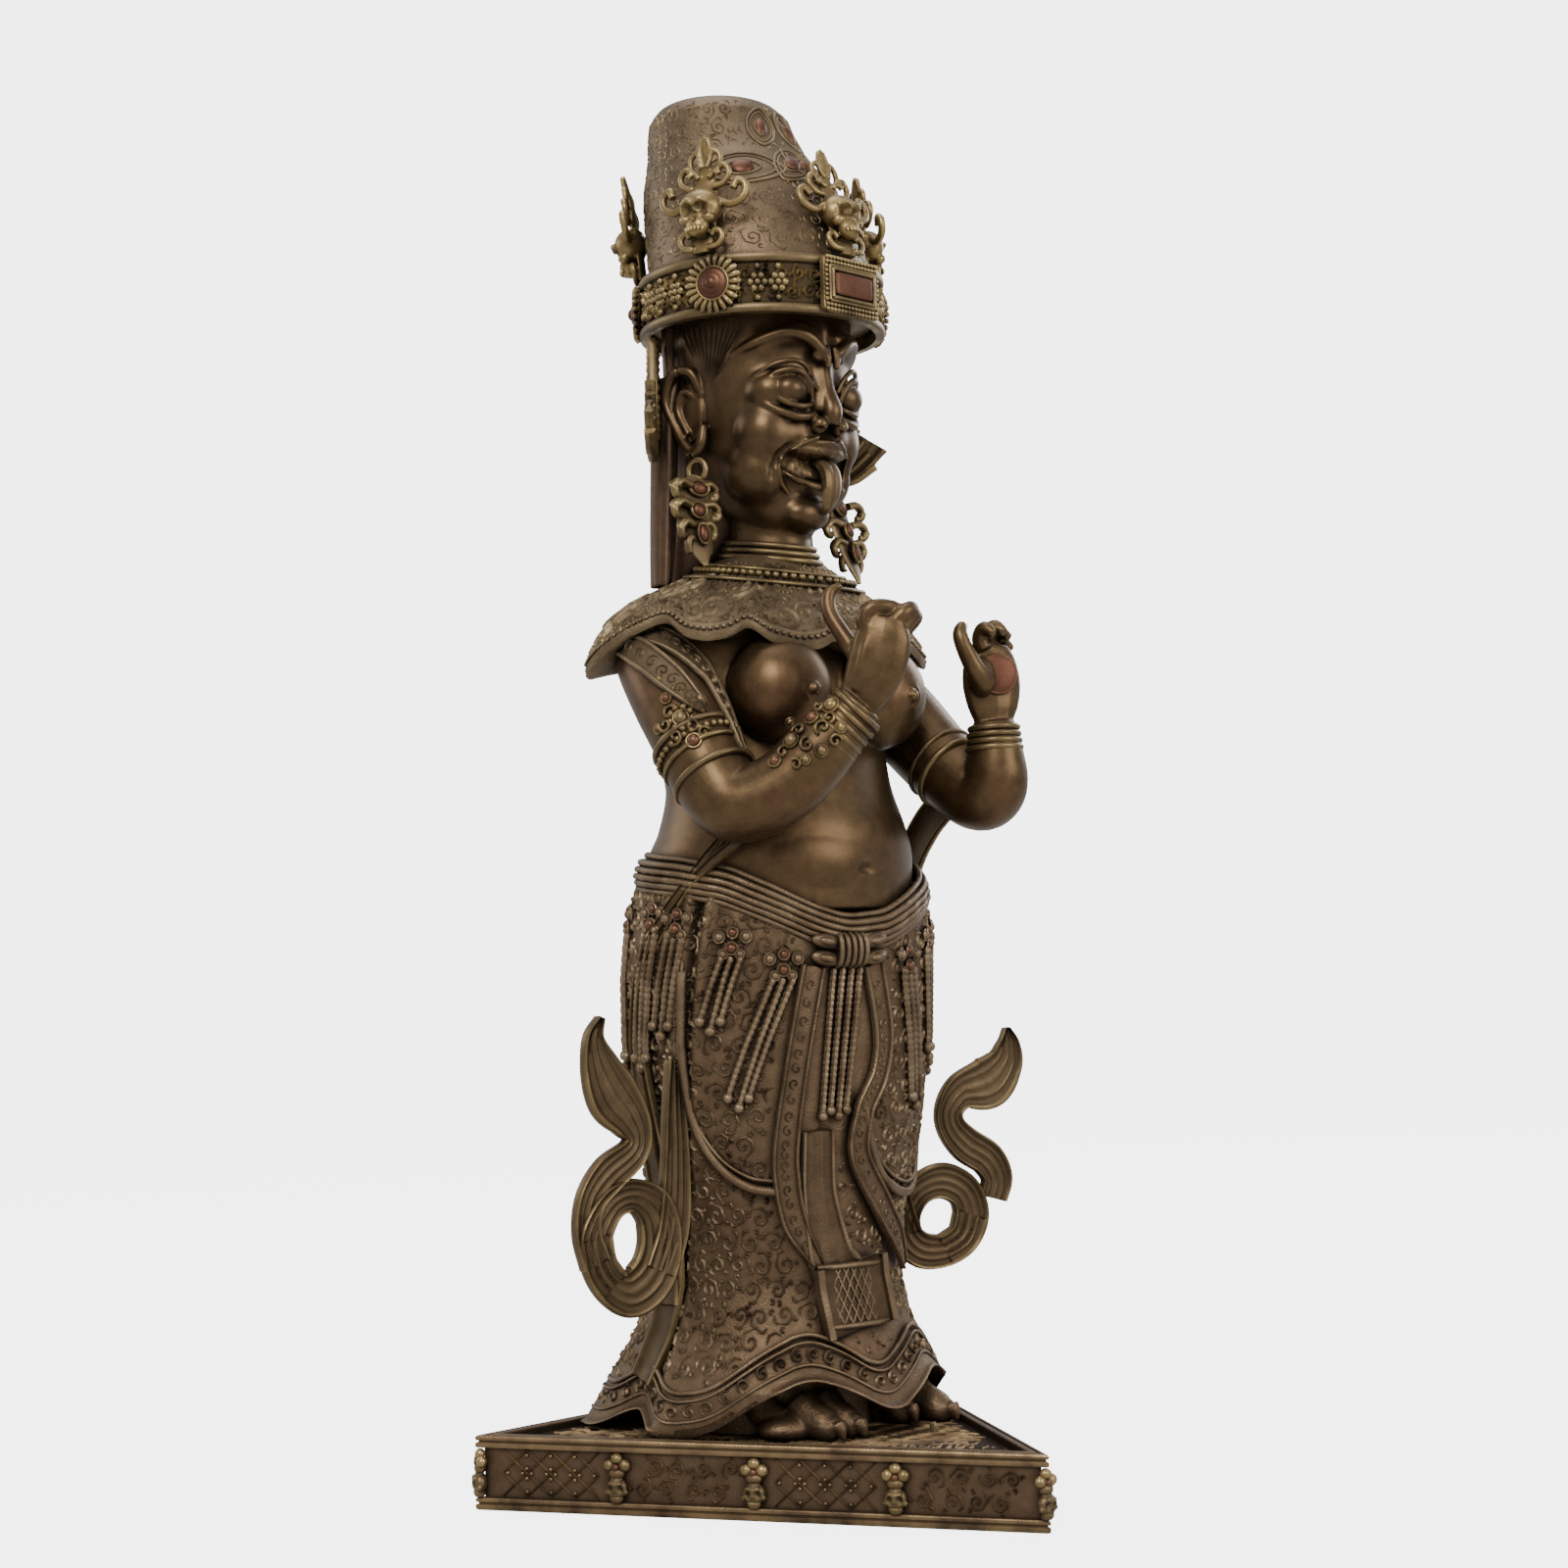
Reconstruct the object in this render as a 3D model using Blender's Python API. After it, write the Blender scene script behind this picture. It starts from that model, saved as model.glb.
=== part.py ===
"""Bronze statue of a wrathful goddess in a tall hat and skull crown, standing on a three-sided plinth.

The figure faces -Y with its own left at +X, and +Z is up. The origin is on the underside of the plinth,
at the middle of its triangle. All sizes are in metres.
The figure is drawn in shares of its own height, from the ground it stands on to the top of its hat.
"""

import math

import bpy
import numpy as np

# Driving sizes.
FIGURE_HEIGHT = 0.993
PLINTH_SIDE = 0.411
PLINTH_HEIGHT = 0.0525
PLINTH_RIM = 0.0095
PLINTH_FOOT = 0.009
PLINTH_CORNICE = 0.009
PANEL_DEPTH = 0.0035
GROUND_DEPTH = 0.0055
CORNER_STAND_OFF = 0.0016

# Clearances between separate pieces.
SEAT_CLEARANCE = 0.0003
FIT_CLEARANCE = 0.0006
HEM_CLEARANCE = 0.0015
HAT_CLEARANCE = 0.0003
ORNAMENT_CLEARANCE = 0.0003

# Stations of the head, in shares: height, half width, front, back, x, y and turn.
HEAD = [
    (648, 13, 12, 14, 0, -8, 0), (655, 26, 24, 26, 0, -3, 0), (667, 38, 36, 44, 0, 4, 0),
    (684, 47, 46, 58, 0, 9, 0),
    (704, 54, 52, 64, 0, 12, 0), (726, 58, 57, 67, 0, 13, 0), (750, 61, 60, 69, 0, 14, 0),
    (775, 63, 63, 70, 0, 14, 0),
    (800, 65, 65, 70, 0, 14, 0), (822, 66, 66, 70, 0, 13, 0),
]

# Crown and hat, in shares. The hat sits down over the head, the band grips the hat and the leaves
# stand on the band.
SKULL_TUCK = 10.0
HAT_TALL = 181.0
HAT_RADIUS = 83.8
BAND_DROP = 10.0
BAND_TALL = 44.0
BAND_FIT = 1.8
BAND_WALL = 5.4
BAND_CENTRE_Y = 12.6
LEAF_STEP = 72.0
LEAF_INSET = 1.0
LEAF_HEIGHT = 90.0
LEAF_GAP = 0.5
LEAF_LEAN = (-19.0, -7.0, 7.5)
SKULL_RADIUS = 17.0

HAT_UNDERSIDE = HEAD[-1][0] - SKULL_TUCK
HAT_TOP = HAT_UNDERSIDE + HAT_TALL
BAND_BOTTOM = HAT_UNDERSIDE - BAND_DROP
BAND_TOP = BAND_BOTTOM + BAND_TALL
BAND_INNER = HAT_RADIUS + BAND_FIT
BAND_OUTER = BAND_INNER + BAND_WALL
LEAF_RADIUS = BAND_OUTER - LEAF_INSET

GROUND = PLINTH_HEIGHT - GROUND_DEPTH
PANEL_TOP = PLINTH_HEIGHT - PLINTH_CORNICE
UNIT = FIGURE_HEIGHT / HAT_TOP

# The dress is turned to the figure's right by these degrees, and below this height it is kept
# inside the plinth's rim.
FRONT_TURN = 10.0
RIM_HEED = 160.0

# A plinth ornament is drawn in shares of the sunk panel's height.
PANEL_SHARES = 34.5
ORNAMENT_UNIT = (PANEL_TOP - PLINTH_FOOT) / PANEL_SHARES

# How each fused piece is finished: voxel size in shares, rounds of smoothing and triangles kept.
FIGURE_FINISH = (2.4, 4, 4650)
BAND_FINISH = (1.1, 1, 860)
LEAF_FINISH = (1.0, 1, 190)
SCARF_FINISH = (1.4, 1, 330)
EARRING_FINISH = (1.0, 1, 140)
RIBBON_FINISH = (1.0, 1, 140)
ORNAMENT_FINISH = (0.9, 1, 56)

# Each metal's colour and roughness.
METALS = {
    "dark_bronze": ((0.118, 0.082, 0.052), 0.42),
    "worn_brass": ((0.262, 0.205, 0.115), 0.38),
    "copper_inlay": ((0.24, 0.12, 0.085), 0.40),
}

# The copper disc in each palm, in shares: its middle, the way it faces and its radius.
PALM_DISCS = {
    "right": ((-34.5, -137, 548), (0.75, 0.62, 0.1), 11.5),
    "left": ((101, -125, 543), (-0.5, -0.87, 0.0), 15),
}


# Shapes as points and faces.

def spline(rows, count):
    """Smooth rows of numbers through the given rows."""
    rows = np.array(rows, float)
    place = np.linspace(0, len(rows) - 1, count)
    first = np.minimum(place.astype(int), len(rows) - 2)
    part = (place - first)[:, None]
    ends = np.vstack([2 * rows[0] - rows[1], rows, 2 * rows[-1] - rows[-2]])
    a, b, c, d = (ends[first + k] for k in range(4))
    bend = 2 * a - 5 * b + 4 * c - d
    twist = 3 * b - a - 3 * c + d
    return 0.5 * (2 * b + (c - a) * part + bend * part ** 2 + twist * part ** 3)


def skin(rings, hoop=False):
    """A closed skin over rings of points, with a fan over each end unless the rings form a hoop."""
    rings = np.array(rings, float)
    rows, around = rings.shape[:2]
    points = rings.reshape(-1, 3)
    faces = []
    spans = rows if hoop else rows - 1
    for r in range(spans):
        below = r * around
        above = ((r + 1) % rows) * around
        for k in range(around):
            n = (k + 1) % around
            faces.append((below + k, below + n, above + n, above + k))
    if not hoop:
        points = np.vstack([points, rings[0].mean(0), rings[-1].mean(0)])
        low, high = rows * around, rows * around + 1
        last = (rows - 1) * around
        for k in range(around):
            n = (k + 1) % around
            faces.append((low, n, k))
            faces.append((high, last + k, last + n))
    return points, faces


def ring(z, wide, front, back, x=0.0, y=0.0, turn=0.0, around=40, power=2.0):
    """A level ring, rounded by power, whose front may be turned towards the figure's right."""
    angle = np.linspace(0, 2 * math.pi, around, endpoint=False)
    sine, cosine = np.sin(angle), np.cos(angle)
    left = wide * np.sign(sine) * np.abs(sine) ** (2 / power)
    ahead = np.where(cosine > 0, front, back) * np.sign(cosine) * np.abs(cosine) ** (2 / power)
    t = math.radians(turn)
    return np.stack([
        x + left * math.cos(t) - ahead * math.sin(t),
        y - left * math.sin(t) - ahead * math.cos(t),
        np.full(around, float(z)),
    ], 1)


def loft(stations, count, around=40, power=2.0):
    """A body through stations of height, half width, front, back, x, y and turn."""
    return skin([ring(*row, around=around, power=power) for row in spline(stations, count)])


def rope(path, widths, thicks=None, normals=None, count=0, around=8, power=2.0, hoop=False):
    """A rounded strip along a path. Widths lie across the strip and thicks along the given normals."""
    path = np.array(path, float)
    widths = np.broadcast_to(np.array(widths, float), len(path))
    thicks = widths if thicks is None else np.broadcast_to(np.array(thicks, float), len(path))
    if normals is None:
        facing = np.tile([0.13, -0.21, 0.97], (len(path), 1))
        run = path[-1] - path[0]
        if abs(run[2]) > 0.8 * np.linalg.norm(run):
            facing = np.tile([0.1, -1.0, 0.05], (len(path), 1))
    else:
        facing = np.broadcast_to(np.array(normals, float), path.shape)
    rows = np.hstack([path, widths[:, None], thicks[:, None], facing])
    if count:
        rows = spline(rows, count)
    places, half, deep, facing = rows[:, :3], rows[:, 3], rows[:, 4], rows[:, 5:8]
    if hoop:
        along = np.roll(places, -1, 0) - np.roll(places, 1, 0)
    else:
        along = np.gradient(places, axis=0)
    along /= np.linalg.norm(along, axis=1)[:, None] + 1e-12
    side = np.cross(along, facing)
    side /= np.linalg.norm(side, axis=1)[:, None] + 1e-12
    out = np.cross(side, along)
    angle = np.linspace(0, 2 * math.pi, around, endpoint=False)
    across = np.sign(np.cos(angle)) * np.abs(np.cos(angle)) ** (2 / power)
    up = np.sign(np.sin(angle)) * np.abs(np.sin(angle)) ** (2 / power)
    rings = (
        places[:, None]
        + side[:, None] * (half[:, None] * across)[:, :, None]
        + out[:, None] * (deep[:, None] * up)[:, :, None]
    )
    return skin(rings, hoop)


def ball(x, y, z, wide, deep, tall, rows=8, around=14):
    """A rounded lump."""
    angle = np.linspace(0.12, math.pi - 0.12, rows)
    rings = [ring(z - tall * math.cos(a), wide * math.sin(a), deep * math.sin(a), deep * math.sin(a),
                  x, y, around=around) for a in angle]
    return skin(rings)


def bangle(centre, axis, radius, thick, around=22, section=6, squash=1.0):
    """A round ring about an axis."""
    axis = np.array(axis, float)
    axis /= np.linalg.norm(axis)
    first = np.cross(axis, [0.3, 0.5, 0.81])
    first /= np.linalg.norm(first)
    second = np.cross(axis, first)
    angle = np.linspace(0, 2 * math.pi, around, endpoint=False)[:, None]
    out = first * np.cos(angle) + second * np.sin(angle) * squash
    path = np.array(centre, float) + radius * out
    turn = np.linspace(0, 2 * math.pi, section, endpoint=False)[:, None]
    rings = [p + thick * (o * np.cos(turn) + axis * np.sin(turn)) for p, o in zip(path, out)]
    return skin(rings, hoop=True)


def mirrored(shape):
    """The same shape on the figure's other side."""
    points, faces = shape
    return points * [-1, 1, 1], [tuple(reversed(f)) for f in faces]


def turned_out(shape):
    """The same shape with its faces looking the other way."""
    points, faces = shape
    return points, [tuple(reversed(f)) for f in faces]


def placed(shape, turn=0.0, move=(0, 0, 0), lean=0.0):
    """A shape leaned back about X, turned about Z and then moved."""
    points, faces = shape
    points = np.array(points, float)
    c, s = math.cos(lean), math.sin(lean)
    points = points @ np.array([[1, 0, 0], [0, c, s], [0, -s, c]])
    c, s = math.cos(turn), math.sin(turn)
    points = points @ np.array([[c, s, 0], [-s, c, 0], [0, 0, 1]])
    return points + np.array(move, float), faces


# Blender objects.

def bronze(name):
    """A plain metal material."""
    colour, roughness = METALS[name]
    material = bpy.data.materials.new(name)
    material.use_nodes = True
    shader = material.node_tree.nodes["Principled BSDF"]
    shader.inputs["Base Color"].default_value = (*colour, 1.0)
    shader.inputs["Metallic"].default_value = 1.0
    shader.inputs["Roughness"].default_value = roughness
    return material


def mesh_object(name, shapes, material, scale=UNIT, lift=GROUND):
    """One mesh object of several shapes, brought from shares to metres."""
    points, faces = [], []
    for more, sides in shapes:
        start = sum(len(p) for p in points)
        points.append(np.array(more, float))
        faces += [tuple(start + i for i in side) for side in sides]
    points = np.vstack(points) * scale + [0, 0, lift]
    mesh = bpy.data.meshes.new(name)
    mesh.from_pydata(points.tolist(), [], faces)
    mesh.materials.append(material)
    mesh.update()
    item = bpy.data.objects.new(name, mesh)
    bpy.context.scene.collection.objects.link(item)
    return item


def triangle_count(item):
    """How many triangles the object has with its modifiers."""
    seen = item.evaluated_get(bpy.context.evaluated_depsgraph_get())
    mesh = seen.to_mesh()
    count = sum(len(p.vertices) - 2 for p in mesh.polygons)
    seen.to_mesh_clear()
    return count


def fuse(item, finish, share=UNIT):
    """Grows the object's lumps into one skin, softens it and thins it to a number of triangles."""
    voxel, smooth, triangles = finish
    remesh = item.modifiers.new("fuse", "REMESH")
    remesh.mode = "VOXEL"
    remesh.voxel_size = voxel * share
    remesh.adaptivity = 0.0
    if smooth:
        soften = item.modifiers.new("soften", "SMOOTH")
        soften.factor = 0.5
        soften.iterations = int(smooth)
    bpy.context.view_layer.update()
    thin = item.modifiers.new("thin", "DECIMATE")
    thin.ratio = 1.0
    bpy.context.view_layer.update()
    thin.ratio = min(1.0, triangles / triangle_count(item))
    return item


def hide(item):
    """A cutter is never drawn as part of the object."""
    item.hide_render = True
    item.display_type = "WIRE"
    return item


def cut(item, cutter, solver="EXACT"):
    """Takes a hidden cutter's shape away from the object."""
    difference = item.modifiers.new("cut", "BOOLEAN")
    difference.operation = "DIFFERENCE"
    difference.object = cutter
    difference.solver = solver
    return item


def slab(name, low, high, material):
    """A level block between two heights, in metres, that reaches past every piece of the figure."""
    far = FIGURE_HEIGHT / 2
    corners = [(x, y, z) for z in (low, high) for x, y in ((-far, -far), (far, -far), (far, far),
                                                           (-far, far))]
    sides = [(3, 2, 1, 0), (4, 5, 6, 7), (0, 1, 5, 4), (1, 2, 6, 5), (2, 3, 7, 6), (3, 0, 4, 7)]
    return mesh_object(name, [(corners, sides)], material, 1.0, 0.0)


# The dress and what lies on it, by angle from its front and height.

DRESS = [
    (0, 122, 112, 22), (36, 112, 103, 22), (72, 99, 93, 21), (108, 93, 88, 20), (150, 96, 87, 17),
    (175, 101, 87, 15), (215, 108, 89, 12), (280, 116, 91, 11), (323, 117, 91, 10), (350, 116, 90, 8),
    (381, 112, 88, 6), (410, 103, 90, 5), (432, 95, 86, 2),
]

# Angle, height of the hem, and how far it flares.
HEM = [
    (-180, 10, 10), (-150, 7, 22), (-125, 5, 26), (-106, 7, 16), (-92, 24, -2), (-84, 22, 2), (-72, 7, 17),
    (-56, 11, 18), (-38, 36, 16), (-22, 50, 14), (-8, 40, 13), (7, 20, 16), (20, 32, 14), (36, 46, 12),
    (52, 30, 12), (66, 12, 15), (90, 8, 15), (120, 10, 12), (150, 7, 14), (180, 10, 10),
]

# Top line of the belt by angle, from the back round to the back.
BELT = [
    (-180, 420), (-108, 415), (-75, 410), (-51, 403), (-31, 388), (-15, 374), (-3, 367), (15, 370),
    (38, 387), (75, 408), (110, 415), (180, 420),
]


def across(table, place):
    """Values of a table at a place in its first column."""
    table = np.array(table, float)
    return [np.interp(place, table[:, 0], table[:, k]) for k in range(1, table.shape[1])]


def inside_rim(place):
    """A level place kept within the plinth's raised rim."""
    reach = (PLINTH_SIDE / (2 * math.sqrt(3)) - PLINTH_RIM - HEM_CLEARANCE) / UNIT
    for facing in (-30, 90, 210):
        way = np.array((math.cos(math.radians(facing)), math.sin(math.radians(facing))))
        place = place - way * max(0.0, place @ way - reach)
    return place


def dress(angle, height, out=0.0):
    """A point on the dress and the way it faces there."""
    wide, deep, y = across(DRESS, height)
    a = math.radians(angle)
    t = math.radians(FRONT_TURN)
    left, ahead = wide * math.sin(a), deep * math.cos(a)
    way = np.array([math.sin(a) / wide, math.cos(a) / deep])
    way /= np.linalg.norm(way)
    left, ahead = left + out * way[0], ahead + out * way[1]
    axes = np.array([[math.cos(t), -math.sin(t)], [-math.sin(t), -math.cos(t)]])
    place = np.array([left, ahead]) @ axes + [0, y]
    x, y = inside_rim(place) if height < RIM_HEED else place
    facing = way @ axes
    return np.array([x, y, height]), np.array([facing[0], facing[1], 0.0])


def on_dress(places, wide, thick, out=0.0, count=0, around=8, power=2.0):
    """A strip lying on the dress through places of angle and height."""
    places = np.array(places, float)
    rows = spline(places, count) if count else places
    spots = [dress(a, z, out) for a, z in rows[:, :2]]
    share = np.linspace(0, 1, len(spots))
    given = np.linspace(0, 1, len(np.atleast_1d(wide)))
    widths = np.interp(share, given, np.atleast_1d(wide))
    return rope([s[0] for s in spots], widths, thick, [s[1] for s in spots], around=around, power=power)


def skirt():
    """The long skirt with its waved hem, hollow under the hem."""
    angles = np.linspace(-180, 180, 96, endpoint=False)
    rings = []
    for height in (398, 370, 340, 305, 270, 235, 205, 180, 160, 140, 122, 108):
        rings.append([dress(a, height)[0] for a in angles])
    for share, lip, rise in ((0.25, 0, 0), (0.5, 0, 0), (0.75, 0, 0), (0.92, 1.5, 0), (1.0, 3.5, 0),
                             (1.03, 2.0, -2), (1.0, -7, 1), (0.94, -14, 6), (0.9, -24, 12)):
        row = []
        for a in angles:
            low, flare = across(HEM, a)
            height = 108 + (low - 108) * share + rise * 0.5
            row.append(dress(a, max(height, 2.5), flare * min(share, 1.0) ** 2 + lip)[0])
        rings.append(row)
    rings = [np.array(row)[::-1] for row in rings]
    points, faces = skin(rings)
    points[-1] = (0, 20, 60)
    return points, faces


def dress_parts():
    """Skirt, over-skirt, belt, bow, sashes, panel and tassels."""
    parts = [skirt(), loft([(-6, 92, 84, 84, 0, 24, 10), (40, 86, 78, 80, 0, 24, 10),
                            (110, 80, 72, 72, 0, 20, 10)], 6)]
    belt = np.array(BELT, float)
    for drop, out, thick in ((1, 1.0, 4.0), (8, 2.5, 5.0), (16, 2.5, 5.0), (23, 1.5, 4.0)):
        angles = np.linspace(-180, 180, 64, endpoint=False)
        spots = [dress(a, np.interp(a, belt[:, 0], belt[:, 1]) - drop, out) for a in angles]
        parts.append(rope([s[0] for s in spots], thick * 0.9, thick * 0.8, [s[1] for s in spots],
                          hoop=True))
    # Over-skirt: its rolled edge sweeps round each thigh and up beside the sashes.
    parts.append(on_dress([(-66, 330), (-67, 262), (-64, 220), (-55, 193), (-43, 178), (-31, 174)], 4.5,
                          4.5, 2, 26))
    parts.append(on_dress([(5, 232), (9, 202), (20, 176), (41, 165), (62, 178), (74, 215), (76, 262)], 4.5,
                          4.5, 2, 26))
    parts.append(on_dress([(110, 250), (130, 190), (160, 172), (190, 172), (220, 190), (240, 250)], 4.5,
                          4.5, 2, 26))
    for angle in (-50, -38, 26, 44, 150, 180, 210):
        parts.append(on_dress([(angle, 360), (angle, 270), (angle, 192)], [13, 17, 12], 3.4, 0.5, 10))
    # Bow.
    for angle, height in ((-13, 349), (-13, 338), (8, 349), (8, 338)):
        parts.append(ball(*dress(angle, height, 6)[0], 10, 6, 5.5))
    parts.append(ball(*dress(-2.7, 343.5, 7)[0], 10, 6, 9))
    # Sashes and the strands between them.
    parts.append(on_dress([(-16, 332), (-20.3, 288), (-24, 250), (-27.4, 212), (-27.7, 185), (-24.2, 150),
                           (-14, 119)],
                          [8, 8, 8, 8.5, 9, 8.5, 2.5], 3.2, 3.5, 24, power=3))
    parts.append(on_dress([(8, 332), (12.5, 285), (11, 255), (4, 228), (3, 196), (17, 160), (31, 134),
                           (42, 111)],
                          [8, 8, 7, 7, 8, 9, 9, 3], 3.2, 3.5, 26, power=3))
    for shift in (-5, 0, 5):
        parts.append(on_dress([(-3 + shift, 330), (-6 + shift, 275), (-9 + shift, 224)], 3, 3, 3, 8))
    # Middle panel and its tilted end.
    parts.append(on_dress([(-15, 216), (-14, 170), (-9, 128), (-3, 112)], [13, 14, 19, 22], 3, 2.5, 12,
                          power=4))
    parts.append(on_dress([(-2.5, 119), (1, 76)], [26, 27], 4, 5, 6, power=5))
    # Tassels in threes from the belt.
    for start, low, end, bottom in ((-78, 372, -84, 262), (-46, 352, -54, 292), (-27, 336, -45, 236),
                                    (28, 336, 36, 230), (62, 350, 66, 262), (95, 366, 97, 262)):
        for shift in (-4, 0, 4):
            parts.append(on_dress([(start + shift, low), ((start + end) / 2 + shift, (low + bottom) / 2),
                                   (end + shift, bottom + abs(shift))], 2.9, 3.2, 3.2, 10))
        parts.append(ball(*dress(start, low + 6, 3)[0], 9, 7, 8))
    # Scarf falls at both sides.
    for side in (-1, 1):
        parts.append(on_dress([(side * 83, 352), (side * 92, 310), (side * 93, 262), (side * 90, 210),
                               (side * 86, 150),
                               (side * 86, 90), (side * 92, 40)], [3, 5, 9, 13, 14, 13, 12], 4, 2.5, 26,
                              power=3))
    return parts


# The body above the belt.

TORSO = [
    (372, 100, 84, 84, 0, 4, 10), (410, 102, 89, 89, 0, 5, 10), (432, 95, 86, 84, 0, 3, 9),
    (461, 89, 76, 76, 0, 5, 6), (485, 94, 74, 72, 0, 12, 3), (508, 102, 74, 70, 0, 20, 0),
    (540, 110, 76, 70, 0, 26, 0), (570, 113, 74, 66, 0, 30, 0), (598, 98, 66, 58, 0, 28, 0),
    (614, 62, 52, 44, 0, 20, 0), (630, 31, 32, 32, 0, 13, 0), (668, 28, 28, 30, 0, 13, 0),
]
CAPE = [
    (634, 40, 38, 38, 0, 12), (622, 60, 50, 48, 0, 16), (610, 88, 63, 58, 0, 20), (598, 113, 77, 63, 0, 24),
    (585, 131, 92, 68, 0, 27), (572, 142, 101, 70, 0, 28), (560, 148, 106, 72, 0, 30),
    (545, 149, 108, 73, 0, 32),
]
RIGHT_ARM = [(-94, 40, 574), (-104, 26, 560), (-109, 2, 530), (-111, -22, 496), (-110, -42, 464),
             (-106, -62, 446),
             (-88, -90, 458), (-70, -112, 486), (-54, -132, 514)]
RIGHT_ARM_THICK = [22, 29, 31, 30, 29, 27, 26, 24, 17.5]
LEFT_ARM = [(94, 38, 574), (103, 20, 556), (110, -16, 520), (112, -56, 482), (112, -92, 456),
            (111, -110, 462),
            (109, -114, 484), (108, -112, 508)]
LEFT_ARM_THICK = [22, 29, 31, 29, 27, 25, 21, 16.5]

# Height of the cape's scalloped edge by angle from its front.
CAPE_EDGE = [
    (-180, 562), (-160, 554), (-142, 562), (-125, 548), (-111, 546), (-95, 556), (-83, 572), (-72, 581),
    (-67, 581),
    (-58, 569), (-50, 566), (-42, 569), (-36, 578), (-28, 566), (-18, 560), (-10, 563), (-5, 571), (3, 561),
    (14, 557), (24, 561), (31, 569), (40, 560), (50, 558), (60, 566), (72, 579), (83, 573), (95, 556),
    (111, 546),
    (125, 548), (142, 562), (160, 554), (180, 562),
]


def cape():
    """The short shoulder cape with a scalloped edge."""
    angles = np.linspace(-180, 180, 120, endpoint=False)
    rings = []
    for share in np.linspace(0, 1, 10):
        row = []
        for a in angles:
            height = 634 + (across(CAPE_EDGE, a)[0] - 634) * share
            wide, front, back, x, y = across(sorted(CAPE), height)
            turn = math.radians(a)
            left = wide * math.copysign(abs(math.sin(turn)) ** 0.92, math.sin(turn))
            ahead = (front if math.cos(turn) > 0 else back) * math.copysign(abs(math.cos(turn)) ** 0.92,
                                                                            math.cos(turn))
            row.append((left, y - ahead, height))
        rings.append(row)
    last = np.array(rings[-1])
    rings.append(last * [0.985, 0.985, 1] + [0, 0, -4])
    rings.append(last * [0.9, 0.88, 1] + [0, 0, -1])
    points, faces = skin([np.array(row)[::-1] for row in rings])
    points[-1] = (0, 20, 570)
    return points, faces


def finger(path, thick, count=10):
    """A tapering finger with a rounded end."""
    return rope(path, thick, count=count, around=8)


def right_hand():
    """The right hand, palm to the figure's left, with its first finger raised."""
    parts = [rope([(-55, -128, 512), (-53, -139, 526), (-50, -147, 545), (-48, -150, 562),
                   (-47, -152, 572)],
                  [14, 19, 21, 19, 12], [10, 11, 10, 9, 6], [(-0.75, -0.66, 0.1)] * 5, 10, 12)]
    parts.append(finger([(-55, -132, 545), (-58, -122, 560), (-62, -112, 578), (-60, -110, 592),
                         (-54, -116, 598)],
                        [7, 6.2, 5.6, 5, 2.5]))
    parts.append(finger([(-54, -143, 566), (-60, -140, 582), (-54, -146, 590), (-40, -154, 590),
                         (-30, -158, 587)],
                        [7, 6, 5.6, 5.2, 3]))
    parts.append(finger([(-44, -152, 566), (-38, -160, 582), (-28, -158, 586), (-26, -148, 576)],
                        [6.5, 6, 5.5, 3]))
    parts.append(finger([(-40, -154, 560), (-30, -160, 572), (-22, -156, 572), (-22, -147, 562)],
                        [6, 5.6, 5, 3]))
    parts.append(finger([(-52, -136, 530), (-42, -130, 540), (-36, -128, 554), (-38, -132, 566)],
                        [8, 7, 6, 3]))
    return parts


def left_hand():
    """The left hand, palm forward, thumb raised and two fingers curled."""
    parts = [rope([(113, -105, 507), (112, -106, 520), (112, -105, 538), (112, -104, 556),
                   (112, -104, 566)],
                  [14, 20, 23, 20, 14], [10, 11, 10, 9, 6], [(-0.5, -0.87, 0.0)] * 5, 10, 12)]
    parts.append(finger([(98, -112, 534), (88, -112, 548), (80, -108, 562), (76, -104, 580),
                         (74, -102, 592)],
                        [8, 7, 6, 5.4, 3]))
    parts.append(ball(97, -109, 541, 10, 10, 15))
    parts.append(finger([(104, -106, 562), (101, -104, 578), (100, -110, 588), (100, -118, 584)],
                        [6.5, 6, 5.6, 3.5]))
    parts.append(finger([(113, -104, 564), (112, -102, 580), (111, -110, 590), (111, -119, 586)],
                        [6.5, 6, 5.6, 3.5]))
    parts.append(finger([(121, -101, 560), (122, -98, 576), (121, -106, 585), (121, -115, 581)],
                        [6.2, 5.8, 5.4, 3.2]))
    parts.append(finger([(128, -99, 552), (131, -95, 566), (130, -102, 574), (129, -110, 571)],
                        [5.8, 5.4, 5, 3]))
    return [placed(part, 0.0, (-6, -9, 0)) for part in parts]


def foot(toes):
    """A clawed foot: a sole under the toes, each of which gives its root and its tip on the ground."""
    middle = np.mean([root for root, tip in toes], axis=0)
    parts = [ball(*(middle + [0, 6, -8]), 34, 22, 12)]
    for root, tip in toes:
        root, tip = np.array(root, float), np.array(tip, float)
        way = tip - root
        middle = root + way * 0.55 + [0, 0, 1]
        near = root + way * 0.85 + [0, 0, 5]
        start = root - way * 0.35 + [0, 0, 5]
        parts.append(rope([start, root, middle, near], [11, 11, 10, 6], count=10, around=10))
        claw = tip + way * 0.06
        parts.append(rope([near + [0, 0, 2.5], (near + claw) / 2 + [0, 0, 2.5], claw], [6, 4.6, 1.2],
                          count=7, around=8))
    return parts


# Root and tip of each claw's toe.
RIGHT_TOES = [((-60, -30, 16), (-55, -54, 3)), ((-45, -58, 16), (-42, -86, 3)),
              ((-26, -62, 16), (-25, -90, 3))]
LEFT_TOES = [((34, -56, 16), (36, -83, 3)), ((56, -72, 16), (60, -101, 3)), ((74, -48, 16), (76, -68, 3))]


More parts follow.
